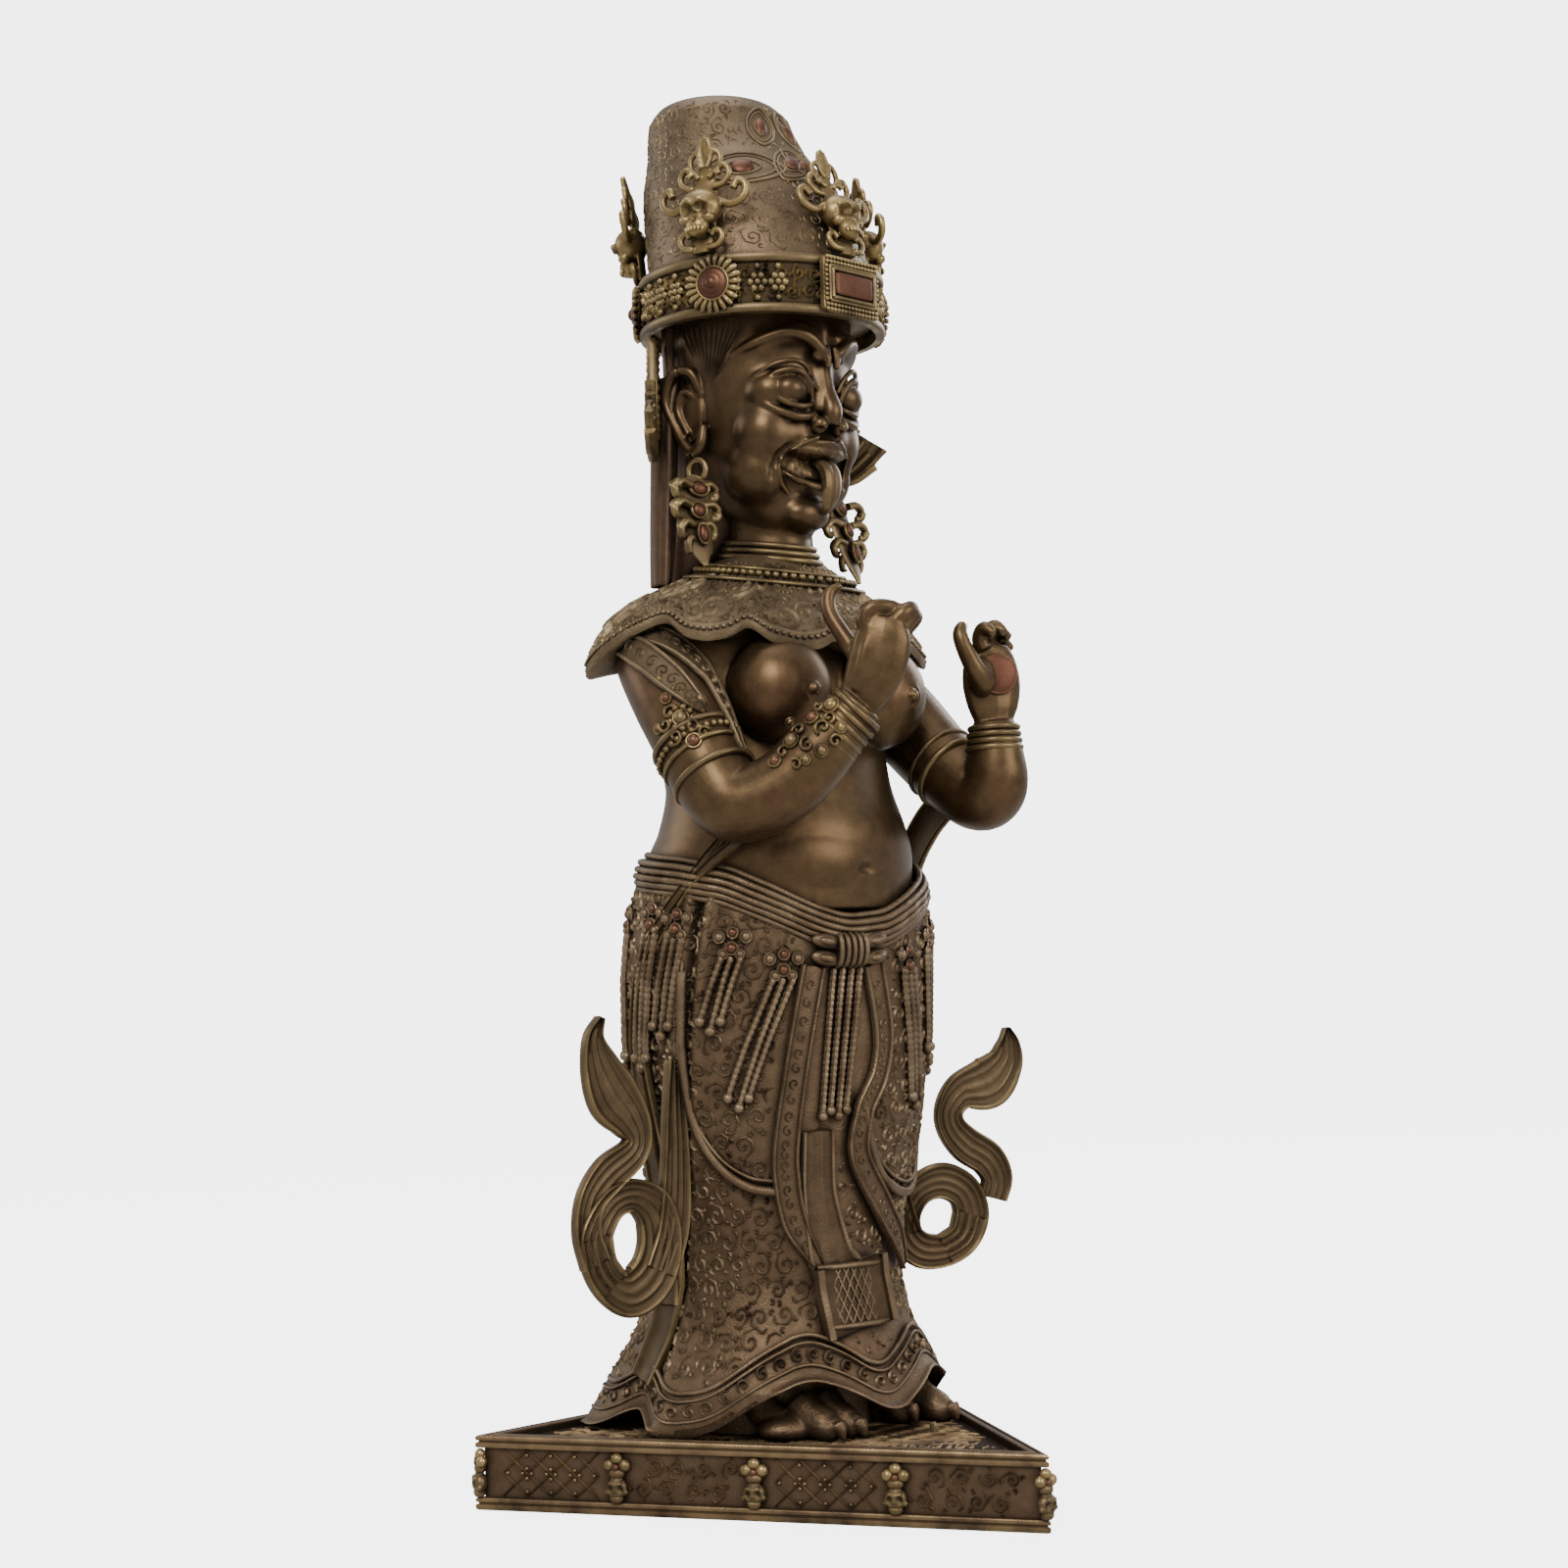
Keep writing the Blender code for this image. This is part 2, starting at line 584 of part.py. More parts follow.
def body_parts():
    """Torso, cape, arms, neck and hands."""
    parts = [loft(TORSO, 44), cape()]
    for side in (-1, 1):
        parts.append(ball(side * 50, -48, 530, 39, 37, 40, 12, 20))
        parts.append(ball(side * 51, -86, 528, 5, 4, 5))
    parts.append(ball(-6, -22, 408, 78, 64, 50, 14, 26))
    parts.append(rope(RIGHT_ARM, RIGHT_ARM_THICK, count=26, around=16))
    parts.append(rope(LEFT_ARM, LEFT_ARM_THICK, count=26, around=16))
    parts += right_hand() + left_hand()
    # Cuffs above the elbows and rings at the wrists.
    parts.append(bangle((-110, -40, 468), (0.02, -0.6, -0.8), 29.5, 3.2))
    parts.append(bangle((-111, -24, 492), (0.0, -0.58, -0.8), 30.5, 2.4))
    parts.append(bangle((112, -66, 474), (0, -0.8, -0.6), 28.5, 3.2))
    for step in range(4):
        spot = np.array((-66.5, -116.5, 492)) + np.array((3.7, -4.5, 6.0)) * step
        parts.append(bangle(spot, (0.44, -0.54, 0.72), 20.5 - 0.6 * step, 3.1))
    for step in range(3):
        parts.append(bangle((108.5, -113, 490 + 6 * step), (0, 0.05, 1), 19.5 - 0.8 * step, 2.8))
    # The armlet's flower and the forearm jewel.
    parts.append(ball(-137, -8, 514, 8, 15, 18))
    parts.append(ball(-98, -122, 476, 11, 9, 13))
    parts.append(bangle((0, 14, 622), (0, -0.3, 1), 42, 3.4, 32))
    parts.append(bangle((0, 13, 634), (0, -0.2, 1), 31.5, 2.8, 32))
    # Scarf over each elbow and down to the hip.
    parts.append(rope([(-106, -66, 432), (-101, -52, 420), (-104, -30, 406), (-110, -8, 386),
                       (-118, 12, 352)],
                      [6, 4, 3.5, 3.5, 4], [4, 4, 4, 4, 4], [(-1, 0, 0.1)] * 5, 14))
    parts.append(rope([(110, -62, 452), (117, -36, 436), (121, -14, 410), (122, 0, 370), (121, 8, 320),
                       (117, 12, 262)],
                      [13, 14, 14, 13, 12, 9], [4, 4, 4, 4, 4, 4], [(1, -0.1, 0.1)] * 6, 18, power=3))
    return parts


def ear():
    """The right ear with its long lobe."""
    return [
        rope([(-60, 16, 752), (-66, 22, 770), (-69, 38, 770), (-69, 46, 752), (-67, 36, 728),
              (-66, 22, 710),
              (-65, 13, 716), (-63, 12, 730)], [3.6, 4, 4.6, 4.6, 4.2, 5, 4.4, 3.4], count=26),
        rope([(-62, 20, 750), (-65, 30, 757), (-66, 36, 744), (-65, 26, 724)], [3, 3.2, 3.2, 3], count=12),
        ball(-61, 28, 742, 4.5, 15, 24),
    ]


def face_parts():
    """Brows, eyes, hooked nose, cheeks, open mouth and long tongue."""
    parts = []
    for side in (-1, 1):
        parts.append(rope([(side * 8, -56, 772), (side * 20, -55, 786), (side * 36, -45, 790),
                           (side * 50, -26, 778),
                           (side * 54, -14, 768)], [4.5, 5, 4.8, 4, 2.5], count=12))
        parts.append(rope([(side * 6, -58, 792), (side * 22, -52, 801), (side * 42, -38, 798)],
                          [3, 3.4, 2.2], count=8))
        parts.append(ball(side * 29, -40, 750, 15, 13, 10.5, 9, 16))
        parts.append(rope([(side * 12, -56, 742), (side * 22, -56, 758), (side * 36, -47, 763),
                           (side * 49, -27, 757)],
                          [2.6, 2.8, 2.8, 2.2], count=10, around=6))
        parts.append(rope([(side * 12, -54, 739), (side * 24, -51, 736), (side * 38, -41, 739),
                           (side * 48, -28, 750)],
                          [3.4, 4.2, 4.0, 3], count=10, around=8))
        parts.append(ball(side * 33, -27, 716, 20, 17, 17, 9, 16))
        parts.append(ball(side * 10, -60, 724, 7, 9, 6.5))
        parts.append(rope([(side * 11, -57, 716), (side * 24, -50, 708), (side * 31, -38, 694),
                           (side * 27, -33, 680)],
                          [2.8, 3.6, 3.6, 2.6], count=10, around=6))
        parts.append(rope([(0, -52, 711), (side * 12, -50, 709), (side * 24, -42, 702),
                           (side * 25, -37, 694)],
                          [3.2, 3.2, 3, 2.4], count=10, around=6))
        parts.append(rope([(0, -46, 682), (side * 12, -44, 683), (side * 22, -38, 690),
                           (side * 25, -37, 695)],
                          [6, 5.2, 3.6, 2.8], count=10, around=8))
    parts.append(rope([(0, -52, 784), (0, -58, 768), (0, -63, 750), (0, -69, 734), (0, -64, 724)],
                      [6, 5.5, 6, 7.5, 5], [5, 6, 7, 8, 5], [(0, -1, 0)] * 5, 12, 10))
    parts.append(ball(0, -28, 660, 19, 12, 10, 8, 14))
    tongue = [(4, -38, 700), (4, -49, 696), (5, -53, 686), (5, -52, 674), (4, -47, 664)]
    parts.append(rope(tongue, [7, 8.5, 9, 7.5, 4], [5, 5, 5, 5, 4], [(0, -0.9, 0.4)] * 5, 12, 10))
    parts.append(ball(3, -42, 674, 11, 8, 12))
    return parts


def hair_parts():
    """Hair falling behind the ears to the shoulders and down the back."""
    parts = [loft([(590, 60, 20, 26, 0, 62, 0), (640, 58, 30, 30, 0, 56, 0), (700, 56, 40, 36, 0, 44, 0),
                   (760, 60, 40, 40, 0, 40, 0)], 12, 30)]
    for side in (-1, 1):
        lock = [(side * 62, 46, 770), (side * 67, 48, 735), (side * 70, 48, 690), (side * 73, 47, 645),
                (side * 77, 45, 612)]
        parts.append(rope(lock, [9, 10, 10, 9.5, 7], [6, 7, 7, 7, 6], [(side * 0.85, -0.5, 0.1)] * 5, 16,
                          10))
    return parts


# Crown and hat.

# The hat above its band: share of the way up, share of its radius, and lean back as a share of the rise.
HAT_SHAPE = [
    (0.0, 1.0, 0.0), (0.2313, 0.9606, 0.0605), (0.4694, 0.8711, 0.1456), (0.6735, 0.7339, 0.2272),
    (0.7891, 0.6802, 0.2680), (0.8844, 0.6384, 0.2884), (0.9524, 0.5370, 0.3020), (0.9864, 0.3699, 0.3088),
    (1.0, 0.1432, 0.3088),
]


def hat():
    """The tall hat, straight inside its band and leaning back as it narrows."""
    rise = HAT_TOP - BAND_TOP
    rings = [ring(HAT_UNDERSIDE, HAT_RADIUS, HAT_RADIUS, HAT_RADIUS, 0, BAND_CENTRE_Y, around=20)]
    for up, narrow, lean in HAT_SHAPE:
        r = HAT_RADIUS * narrow
        rings.append(ring(BAND_TOP + rise * up, r, r, r, 0, BAND_CENTRE_Y + rise * lean, around=20))
    return skin(rings)


def petals(count, radius, spot, turn):
    """A rosette with petals, a stepped middle and a dome."""
    parts = []
    for k in range(count):
        a = 2 * math.pi * k / count
        x, z = radius * math.cos(a), radius * math.sin(a)
        parts.append(placed(ball(x, 0, z, 3.1, 2.6, 3.1, 5, 6), turn, spot))
    for wide, deep in ((radius - 3, 4.0), (radius - 7.5, 6.2), (4.2, 8.6)):
        parts.append(placed(ball(0, 0, 0, wide, deep, wide, 8, 16), turn, spot))
    return parts


def around_band(angle, radius, height):
    """A point about the crown band's middle, by angle from the front."""
    a = math.radians(angle)
    return (radius * math.sin(a), BAND_CENTRE_Y - radius * math.cos(a), height)


def band():
    """The crown's band with rims, four rosettes and a framed jewel at the front."""
    profile = [(BAND_INNER, BAND_BOTTOM), (BAND_OUTER, BAND_BOTTOM), (BAND_OUTER + 1.4, BAND_BOTTOM + 3),
               (BAND_OUTER, BAND_BOTTOM + 6), (BAND_OUTER, BAND_TOP - 6), (BAND_OUTER + 1.4, BAND_TOP - 3),
               (BAND_OUTER, BAND_TOP), (BAND_INNER, BAND_TOP)]
    rings = []
    for angle in np.linspace(0, 360, 60, endpoint=False):
        rings.append([around_band(angle, r, z) for r, z in profile])
    parts = [skin(rings, hoop=True)]
    middle = (BAND_BOTTOM + BAND_TOP) / 2
    for angle in (66, -66, 135, -135):
        spot = around_band(angle, BAND_OUTER + 1, middle)
        parts += petals(16, 18.0, spot, math.radians(angle))
    for wide, deep, tall in ((27, 4.0, 20), (19, 6.0, 11)):
        block = rope([(-wide, 0, 0), (wide, 0, 0)], [tall, tall], [deep, deep], [(0, -1, 0)] * 2, 5, 12, 6)
        parts.append(placed(block, 0.0, around_band(0, BAND_OUTER + 1, middle)))
    return parts


def crown_leaf():
    """A skull between volutes under a curling flame, standing on the band and facing -Y."""
    parts = [
        ball(0, -6, 33, SKULL_RADIUS, 12, 15, 9, 16),
        ball(0, -9, 18, 9.5, 8, 9, 7, 12),
        rope([(0, -1, 1), (0, 0, 14), (0, 1, 46)], [8, 10, 10], 2.8, [(0, -1, 0)] * 3, 8),
        rope([(0, -2, 42), (0, -1, 56), (0, -2, 70), (0, -4, LEAF_HEIGHT)], [14, 13, 9, 1.5], 2.8,
             [(0, -1, 0)] * 4, 10),
    ]
    for side in (-1, 1):
        parts.append(rope([(side * 12, -4, 40), (side * 22, -3, 35), (side * 32, -2, 39),
                           (side * 34, -2, 48),
                           (side * 28, -3, 52), (side * 25, -4, 46)], [3, 3.4, 3.4, 3, 2.6, 2], count=16,
                          around=6))
        parts.append(rope([(side * 9, -3, 50), (side * 17, -2, 56), (side * 16, -2, 65),
                           (side * 9, -3, 65)],
                          [3, 3, 2.8, 2], count=12, around=6))
    return parts


# Loose ornaments.

def earring():
    """The right earring: a hoop and a lobed leaf hanging forward."""
    facing = [(-0.25, -0.95, 0.2)] * 6
    return [
        bangle((-68, 14, 696), (1, 0.2, 0), 7.5, 2.2, 16),
        rope([(-70, 12, 690), (-74, 11, 680), (-77, 9, 666), (-79, 5, 650), (-80, 0, 636), (-80, -6, 622)],
             [6, 18, 24, 22, 14, 2], [3.5, 4, 4.6, 4.2, 3.4, 1.6], facing, 16, 10),
        ball(-73, 6, 680, 8, 4.5, 6.5),
        ball(-78, 2, 662, 6, 4.5, 6),
        ball(-79, -2, 645, 4.5, 4, 8),
    ]


def crown_ribbon():
    """The right crown ribbon: it falls behind the ear and flips up and out in a pleated fan."""
    facing = np.array((-0.7, 0.71, 0.0))
    start = np.array((-70.0, 58.0))
    way = np.array((-0.707, -0.707))

    def spot(q, z):
        return (*(start + way * q), z)

    parts = [rope([spot(2, BAND_BOTTOM - 4), spot(9, 772), spot(13, 744), spot(19, 722), spot(32, 714),
                   spot(48, 724),
                   spot(60, 742)], [8, 8, 9, 11, 14, 19, 25], 2.6, [facing] * 7, 26, 8, 4)]
    for fan in (-16, -8, 0, 8, 16):
        parts.append(rope([spot(24, 720 + 0.2 * fan), spot(42 - 0.25 * fan, 721 + 0.8 * fan),
                           spot(59 - 0.5 * fan, 739 + 1.1 * fan)], [2.4, 3, 3.6], 3.8, [facing] * 3, 10))
    return parts


def palm_disc(centre, facing, radius):
    """The copper disc set in a palm."""
    facing = np.array(facing, float)
    facing /= np.linalg.norm(facing)
    centre = np.array(centre, float)
    return [turned_out(rope([centre - facing * 3, centre - facing, centre + facing * 1.6,
                             centre + facing * 2.8],
                            [radius, radius, radius, radius * 0.72], around=14))]


# Scarf ends: the middle of each eye, the way the end spreads from it, then places along it:
# distance out from the eye's middle, height and half width.

SCARF_EYES = {-1: (161.0, 4.0), 1: (142.0, -13.0)}
SCARF_WAYS = {-1: (1.0, 0.05), 1: (0.92, -0.39)}
SCARF_TAILS = {
    -1: [(18, 301, 2), (24, 286, 8), (19, 266, 16), (9, 247, 21), (-5, 231, 17), (-12, 217, 12),
         (-7, 205, 12),
         (14, 192, 14), (29, 176, 12), (33, 154, 11), (26, 132, 12)],
    1: [(64, 278, 2), (65, 265, 10), (61, 250, 16), (47, 236, 21), (24, 230, 15), (13, 217, 12),
        (14, 203, 12),
        (26, 189, 14), (44, 177, 14), (52, 162, 13), (48, 146, 12)],
}
SCARF_COILS = {
    -1: [(26, 150, 14), (22, 130, 14), (11, 115, 14), (-6, 110, 18), (-24, 121, 20), (-31, 142, 19),
         (-26, 164, 17),
         (-8, 176, 12), (12, 171, 12)],
    1: [(29, 135, 15), (22, 118, 14), (6, 109, 13), (-13, 110, 14), (-25, 121, 13), (-25, 139, 11),
        (-14, 156, 12),
        (5, 162, 14), (23, 153, 14)],
}
SCARF_FALLS = {
    -1: [(-46, 268, 5), (-46, 232, 9), (-46, 190, 12), (-42, 150, 14), (-30, 122, 14)],
    1: [(-36, 262, 5), (-36, 225, 9), (-36, 180, 12), (-34, 148, 13), (-26, 122, 13)],
}


def scarf_end(side):
    """A scarf end: a fluttering tip and a coil about an open eye, hung from a fall beside the skirt."""
    eye = np.array(SCARF_EYES[side])
    way = np.array(SCARF_WAYS[side])
    way /= np.linalg.norm(way)
    facing = (-side * way[1], way[0], 0.0)

    def strip(rows, count, thick, hoop=False):
        path = []
        for q, z, wide in rows:
            x, y = eye + way * q
            path.append((side * x, y, z))
        return rope(path, [r[2] for r in rows], thick, [facing] * len(rows), count, 8, 3, hoop)

    return [strip(SCARF_TAILS[side], 40, 5.0), strip(SCARF_COILS[side], 0, 6.0, True),
            strip(SCARF_FALLS[side], 20, 4.5)]


# Plinth.

def triangle(offset, height):
    """A level triangle inside the plinth's outline, one corner to the front."""
    reach = PLINTH_SIDE / math.sqrt(3) - 2 * offset
    corners = (-90, 30, 150)
    return [(reach * math.cos(math.radians(a)), reach * math.sin(math.radians(a)), height) for a in corners]


def plinth(grow=0.0):
    """The three-sided plinth with sunk side panels and a sunk ground, grown all round by a gap."""
    foot_line, top_line = PLINTH_FOOT + grow, PANEL_TOP - grow
    face, panel, rim = -grow, PANEL_DEPTH - grow, PLINTH_RIM + grow
    profile = [(face, -grow), (face, foot_line), (panel, foot_line), (panel, top_line), (face, top_line),
               (face, PLINTH_HEIGHT + grow), (rim, PLINTH_HEIGHT + grow), (rim, GROUND + grow)]
    return skin([triangle(offset, height) for offset, height in profile])


def plinth_skull():
    """An applied skull under a knot of beads, facing -Y about its own middle."""
    return [
        ball(0, -3.4, -7, 8.2, 5.6, 7.6, 7, 12),
        ball(0, -3.4, -14, 5.4, 4.6, 4.4, 6, 10),
        ball(0, -3.0, 3, 6.2, 4.6, 4.6, 6, 10),
        ball(-5.4, -2.6, 8.6, 5, 4.2, 4.6, 6, 10),
        ball(5.4, -2.6, 8.6, 5, 4.2, 4.6, 6, 10),
        ball(0, -3.0, 13, 5, 4.2, 4.2, 6, 10),
    ]


def panel_spots():
    """Places and turns of the plinth's ornaments: three corners, then three on each side."""
    middle = (PLINTH_FOOT + PANEL_TOP) / 2
    spots = []
    corners = [np.array(p) for p in triangle(PANEL_DEPTH, middle)]
    for corner, facing in zip(corners, (-90, 30, 150)):
        way = np.array((math.cos(math.radians(facing)), math.sin(math.radians(facing)), 0))
        spots.append((corner + way * CORNER_STAND_OFF, math.radians(facing + 90)))
    for k, facing in enumerate((-30, 90, 210)):
        first, last = corners[k], corners[(k + 1) % 3]
        for share in (0.25, 0.5, 0.75):
            spots.append((first + (last - first) * share, math.radians(facing + 90)))
    return spots


def build():
    """Every piece of the statue."""
    for item in list(bpy.data.objects):
        bpy.data.objects.remove(item, do_unlink=True)
    dark, gilt, copper = bronze("dark_bronze"), bronze("worn_brass"), bronze("copper_inlay")

    mesh_object("plinth", [plinth()], dark, 1.0, 0.0)

    figure_shapes = dress_parts() + body_parts() + [loft(HEAD, 30, 36, 2.2)] + face_parts() + hair_parts()
    for shape in ear():
        figure_shapes += [shape, mirrored(shape)]
    figure_shapes += foot(RIGHT_TOES) + foot(LEFT_TOES)
    figure = mesh_object("figure", figure_shapes, dark)
    fuse(figure, FIGURE_FINISH)
    skull_line = GROUND + HAT_UNDERSIDE * UNIT - HAT_CLEARANCE
    cut(figure, hide(slab("skull_cut", skull_line, GROUND + HAT_TOP * UNIT, dark)))
    cut(figure, hide(slab("ground_cut", -PLINTH_HEIGHT, GROUND + SEAT_CLEARANCE, dark)))

    # A slightly swollen copy of the figure clears the pieces that sit against it.
    around_figure = hide(figure.copy())
    around_figure.name = "figure_clearance"
    bpy.context.scene.collection.objects.link(around_figure)
    swell = around_figure.modifiers.new("swell", "DISPLACE")
    swell.mid_level = 0.0
    swell.strength = FIT_CLEARANCE

    mesh_object("hat", [hat()], gilt)
    fuse(mesh_object("crown_band", band(), gilt), BAND_FINISH)
    leaf_floor = GROUND + (BAND_TOP + LEAF_GAP) * UNIT
    below_leaves = hide(slab("leaf_cut", GROUND + BAND_BOTTOM * UNIT, leaf_floor, dark))
    for k in range(5):
        angle = LEAF_STEP * (k - 2)
        lean = math.radians(LEAF_LEAN[abs(k - 2)])
        spot = around_band(angle, LEAF_RADIUS, BAND_TOP + LEAF_GAP)
        shapes = [placed(s, math.radians(angle), spot, lean) for s in crown_leaf()]
        cut(fuse(mesh_object("crown_leaf_" + str(k + 1), shapes, gilt), LEAF_FINISH), below_leaves)

    for name, side in (("right", -1), ("left", 1)):
        end = mesh_object("scarf_end_" + name, scarf_end(side), gilt)
        fuse(end, SCARF_FINISH)
        cut(end, around_figure, "MANIFOLD")

    for name, flip in (("right", False), ("left", True)):
        turn = mirrored if flip else tuple
        jewel = fuse(mesh_object("earring_" + name, [turn(s) for s in earring()], gilt), EARRING_FINISH)
        cut(jewel, around_figure, "MANIFOLD")
        fan = fuse(mesh_object("crown_ribbon_" + name, [turn(s) for s in crown_ribbon()], gilt),
                   RIBBON_FINISH)
        cut(fan, around_figure, "MANIFOLD")

    for name, place in PALM_DISCS.items():
        cut(mesh_object("palm_disc_" + name, palm_disc(*place), copper), around_figure, "MANIFOLD")

    around_plinth = hide(mesh_object("plinth_clearance", [plinth(ORNAMENT_CLEARANCE)], dark, 1.0, 0.0))
    for k, (spot, turn) in enumerate(panel_spots()):
        shapes = [placed(s, turn, spot / ORNAMENT_UNIT) for s in plinth_skull()]
        name = "plinth_skull_" + str(k + 1).zfill(2)
        skull = mesh_object(name, shapes, gilt, ORNAMENT_UNIT, 0.0)
        cut(fuse(skull, ORNAMENT_FINISH, ORNAMENT_UNIT), around_plinth)


build()
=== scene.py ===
"""The look of the bronze goddess: fine castings, chased scrollwork, patina, floor, light and camera.

All sizes are metres in the frame of the CAD model. The figure is drawn in shares of its own height,
as the model is: one share is UNIT, and heights are counted from the ground that it stands on.
"""
import math
import random

import bpy
import numpy as np
from mathutils import Matrix, Vector
from mathutils.bvhtree import BVHTree
from mathutils.kdtree import KDTree


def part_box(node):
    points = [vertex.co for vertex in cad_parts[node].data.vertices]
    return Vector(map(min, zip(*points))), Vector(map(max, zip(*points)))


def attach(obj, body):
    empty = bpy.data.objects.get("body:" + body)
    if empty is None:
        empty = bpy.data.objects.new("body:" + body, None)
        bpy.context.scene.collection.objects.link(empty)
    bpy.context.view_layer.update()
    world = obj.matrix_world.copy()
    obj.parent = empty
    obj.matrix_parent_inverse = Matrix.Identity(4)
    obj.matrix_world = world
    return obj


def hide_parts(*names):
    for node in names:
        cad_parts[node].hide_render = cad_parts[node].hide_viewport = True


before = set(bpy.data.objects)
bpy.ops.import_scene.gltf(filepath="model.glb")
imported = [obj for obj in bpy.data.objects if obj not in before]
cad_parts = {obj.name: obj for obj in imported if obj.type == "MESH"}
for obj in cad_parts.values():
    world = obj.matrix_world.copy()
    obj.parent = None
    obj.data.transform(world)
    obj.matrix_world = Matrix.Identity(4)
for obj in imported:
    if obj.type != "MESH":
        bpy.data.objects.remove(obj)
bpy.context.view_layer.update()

bpy.ops.object.select_all(action="DESELECT")

# Sizes read from the frame.
HEIGHT_SHARES = 993.0
SEAT_CLEARANCE = 0.0003
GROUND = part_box("figure")[0][2] - SEAT_CLEARANCE
UNIT = (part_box("hat")[1][2] - GROUND) / HEIGHT_SHARES
PLINTH_LOW, PLINTH_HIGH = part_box("plinth")
PLINTH_SIDE = PLINTH_HIGH[0] - PLINTH_LOW[0]
PLINTH_HEIGHT = PLINTH_HIGH[2] - PLINTH_LOW[2]
PLINTH_RIM = 0.0095
PLINTH_FOOT = 0.009
PLINTH_CORNICE = 0.009
PANEL_DEPTH = 0.0035
HEM_CLEARANCE = 0.0015
FRONT_TURN = 10.0
RIM_HEED = 160.0

BAND_BOTTOM, BAND_TOP = 802.0, 846.0
BAND_OUTER, BAND_INNER = 91.0, 85.6
BAND_CENTRE_Y = 12.6

HAT_UNDERSIDE, HAT_TOP, HAT_RADIUS = 812.0, 993.0, 83.8
LEAF_STEP, LEAF_RADIUS, LEAF_HEIGHT, LEAF_GAP = 72.0, 90.0, 90.0, 0.5
LEAF_LEAN = (-19.0, -7.0, 7.5)
CORNER_STAND_OFF = 0.0006
PANEL_TOP = PLINTH_HEIGHT - PLINTH_CORNICE
PANEL_SHARES = 34.5
ORNAMENT_UNIT = (PANEL_TOP - PLINTH_FOOT) / PANEL_SHARES

# The camera: its turn from the front, distance, height, pitch, roll and lens in millimetres.
CAMERA_TURN = math.radians(44.6)
CAMERA_AWAY, CAMERA_HEIGHT = 1.8795, 0.4063
CAMERA_PITCH, CAMERA_ROLL = math.radians(3.26), math.radians(-1.28)
CAMERA_LENS, SENSOR, PICTURE = 58.16, 36.0, 1600

OBJECTS = {}


def camera_matrix():
    """Where the camera stands and how it is turned."""
    ahead = Vector((math.sin(CAMERA_TURN) * math.cos(CAMERA_PITCH),
                    math.cos(CAMERA_TURN) * math.cos(CAMERA_PITCH), math.sin(CAMERA_PITCH)))
    right = Vector((math.cos(CAMERA_TURN), -math.sin(CAMERA_TURN), 0))
    up = right.cross(ahead)
    c, s = math.cos(CAMERA_ROLL), math.sin(CAMERA_ROLL)
    right, up = c * right + s * up, c * up - s * right
    matrix = Matrix((right, up, -ahead)).transposed().to_4x4()
    matrix.translation = (-math.sin(CAMERA_TURN) * CAMERA_AWAY, -math.cos(CAMERA_TURN) * CAMERA_AWAY, CAMERA_HEIGHT)
    return matrix


CAMERA_MATRIX = camera_matrix()


def seen(tree, x, y):
    """Where the camera's line through a place in the picture meets a surface, in shares, and how it faces."""
    half = PICTURE / 2
    way = CAMERA_MATRIX.to_3x3() @ Vector((x - half, half - y, -CAMERA_LENS / SENSOR * PICTURE)).normalized()
    spot, normal, _, _ = tree.ray_cast(CAMERA_MATRIX.translation, way)
    if spot is None:
        spot, normal, _, _ = tree.find_nearest(CAMERA_MATRIX.translation + way * CAMERA_AWAY)
    return (np.array(spot) - [0, 0, GROUND]) / UNIT, np.array(normal)


# Shapes as points and faces, in shares.

def spline(rows, count):
    """Smooth rows of numbers through the given rows."""
    rows = np.array(rows, float)
    place = np.linspace(0, len(rows) - 1, count)
    first = np.minimum(place.astype(int), len(rows) - 2)
    part = (place - first)[:, None]
    ends = np.vstack([2 * rows[0] - rows[1], rows, 2 * rows[-1] - rows[-2]])
    a, b, c, d = (ends[first + k] for k in range(4))
    bend = 2 * a - 5 * b + 4 * c - d
    twist = 3 * b - a - 3 * c + d
    return 0.5 * (2 * b + (c - a) * part + bend * part ** 2 + twist * part ** 3)


def unit(way):
    """The same way with a length of one."""
    way = np.array(way, float)
    return way / (np.linalg.norm(way, axis=-1, keepdims=True) + 1e-12)


def skin(rings, hoop=False):
    """A closed skin over rings of points, with a fan over each end unless the rings form a hoop."""
    rings = np.array(rings, float)
    rows, around = rings.shape[:2]
    points = rings.reshape(-1, 3)
    r = np.arange(rows if hoop else rows - 1)[:, None] * around
    above = (np.arange(1, (rows if hoop else rows - 1) + 1)[:, None] % rows) * around
    k = np.arange(around)[None]
    n = (k + 1) % around
    faces = np.stack([r + k, r + n, above + n, above + k], -1).reshape(-1, 4).tolist()
    if not hoop:
        points = np.vstack([points, rings[0].mean(0), rings[-1].mean(0)])
        low, high, last = rows * around, rows * around + 1, (rows - 1) * around
        for i in range(around):
            j = (i + 1) % around
            faces.append((low, j, i))
            faces.append((high, last + i, last + j))
    return points, faces


def ring(z, wide, front, back, x=0.0, y=0.0, turn=0.0, around=40, power=2.0):
    """A level ring, rounded by power, whose front may be turned towards the figure's right."""
    angle = np.linspace(0, 2 * math.pi, around, endpoint=False)
    sine, cosine = np.sin(angle), np.cos(angle)
    left = wide * np.sign(sine) * np.abs(sine) ** (2 / power)
    ahead = np.where(cosine > 0, front, back) * np.sign(cosine) * np.abs(cosine) ** (2 / power)
    t = math.radians(turn)
    return np.stack([x + left * math.cos(t) - ahead * math.sin(t),
                     y - left * math.sin(t) - ahead * math.cos(t), np.full(around, float(z))], 1)


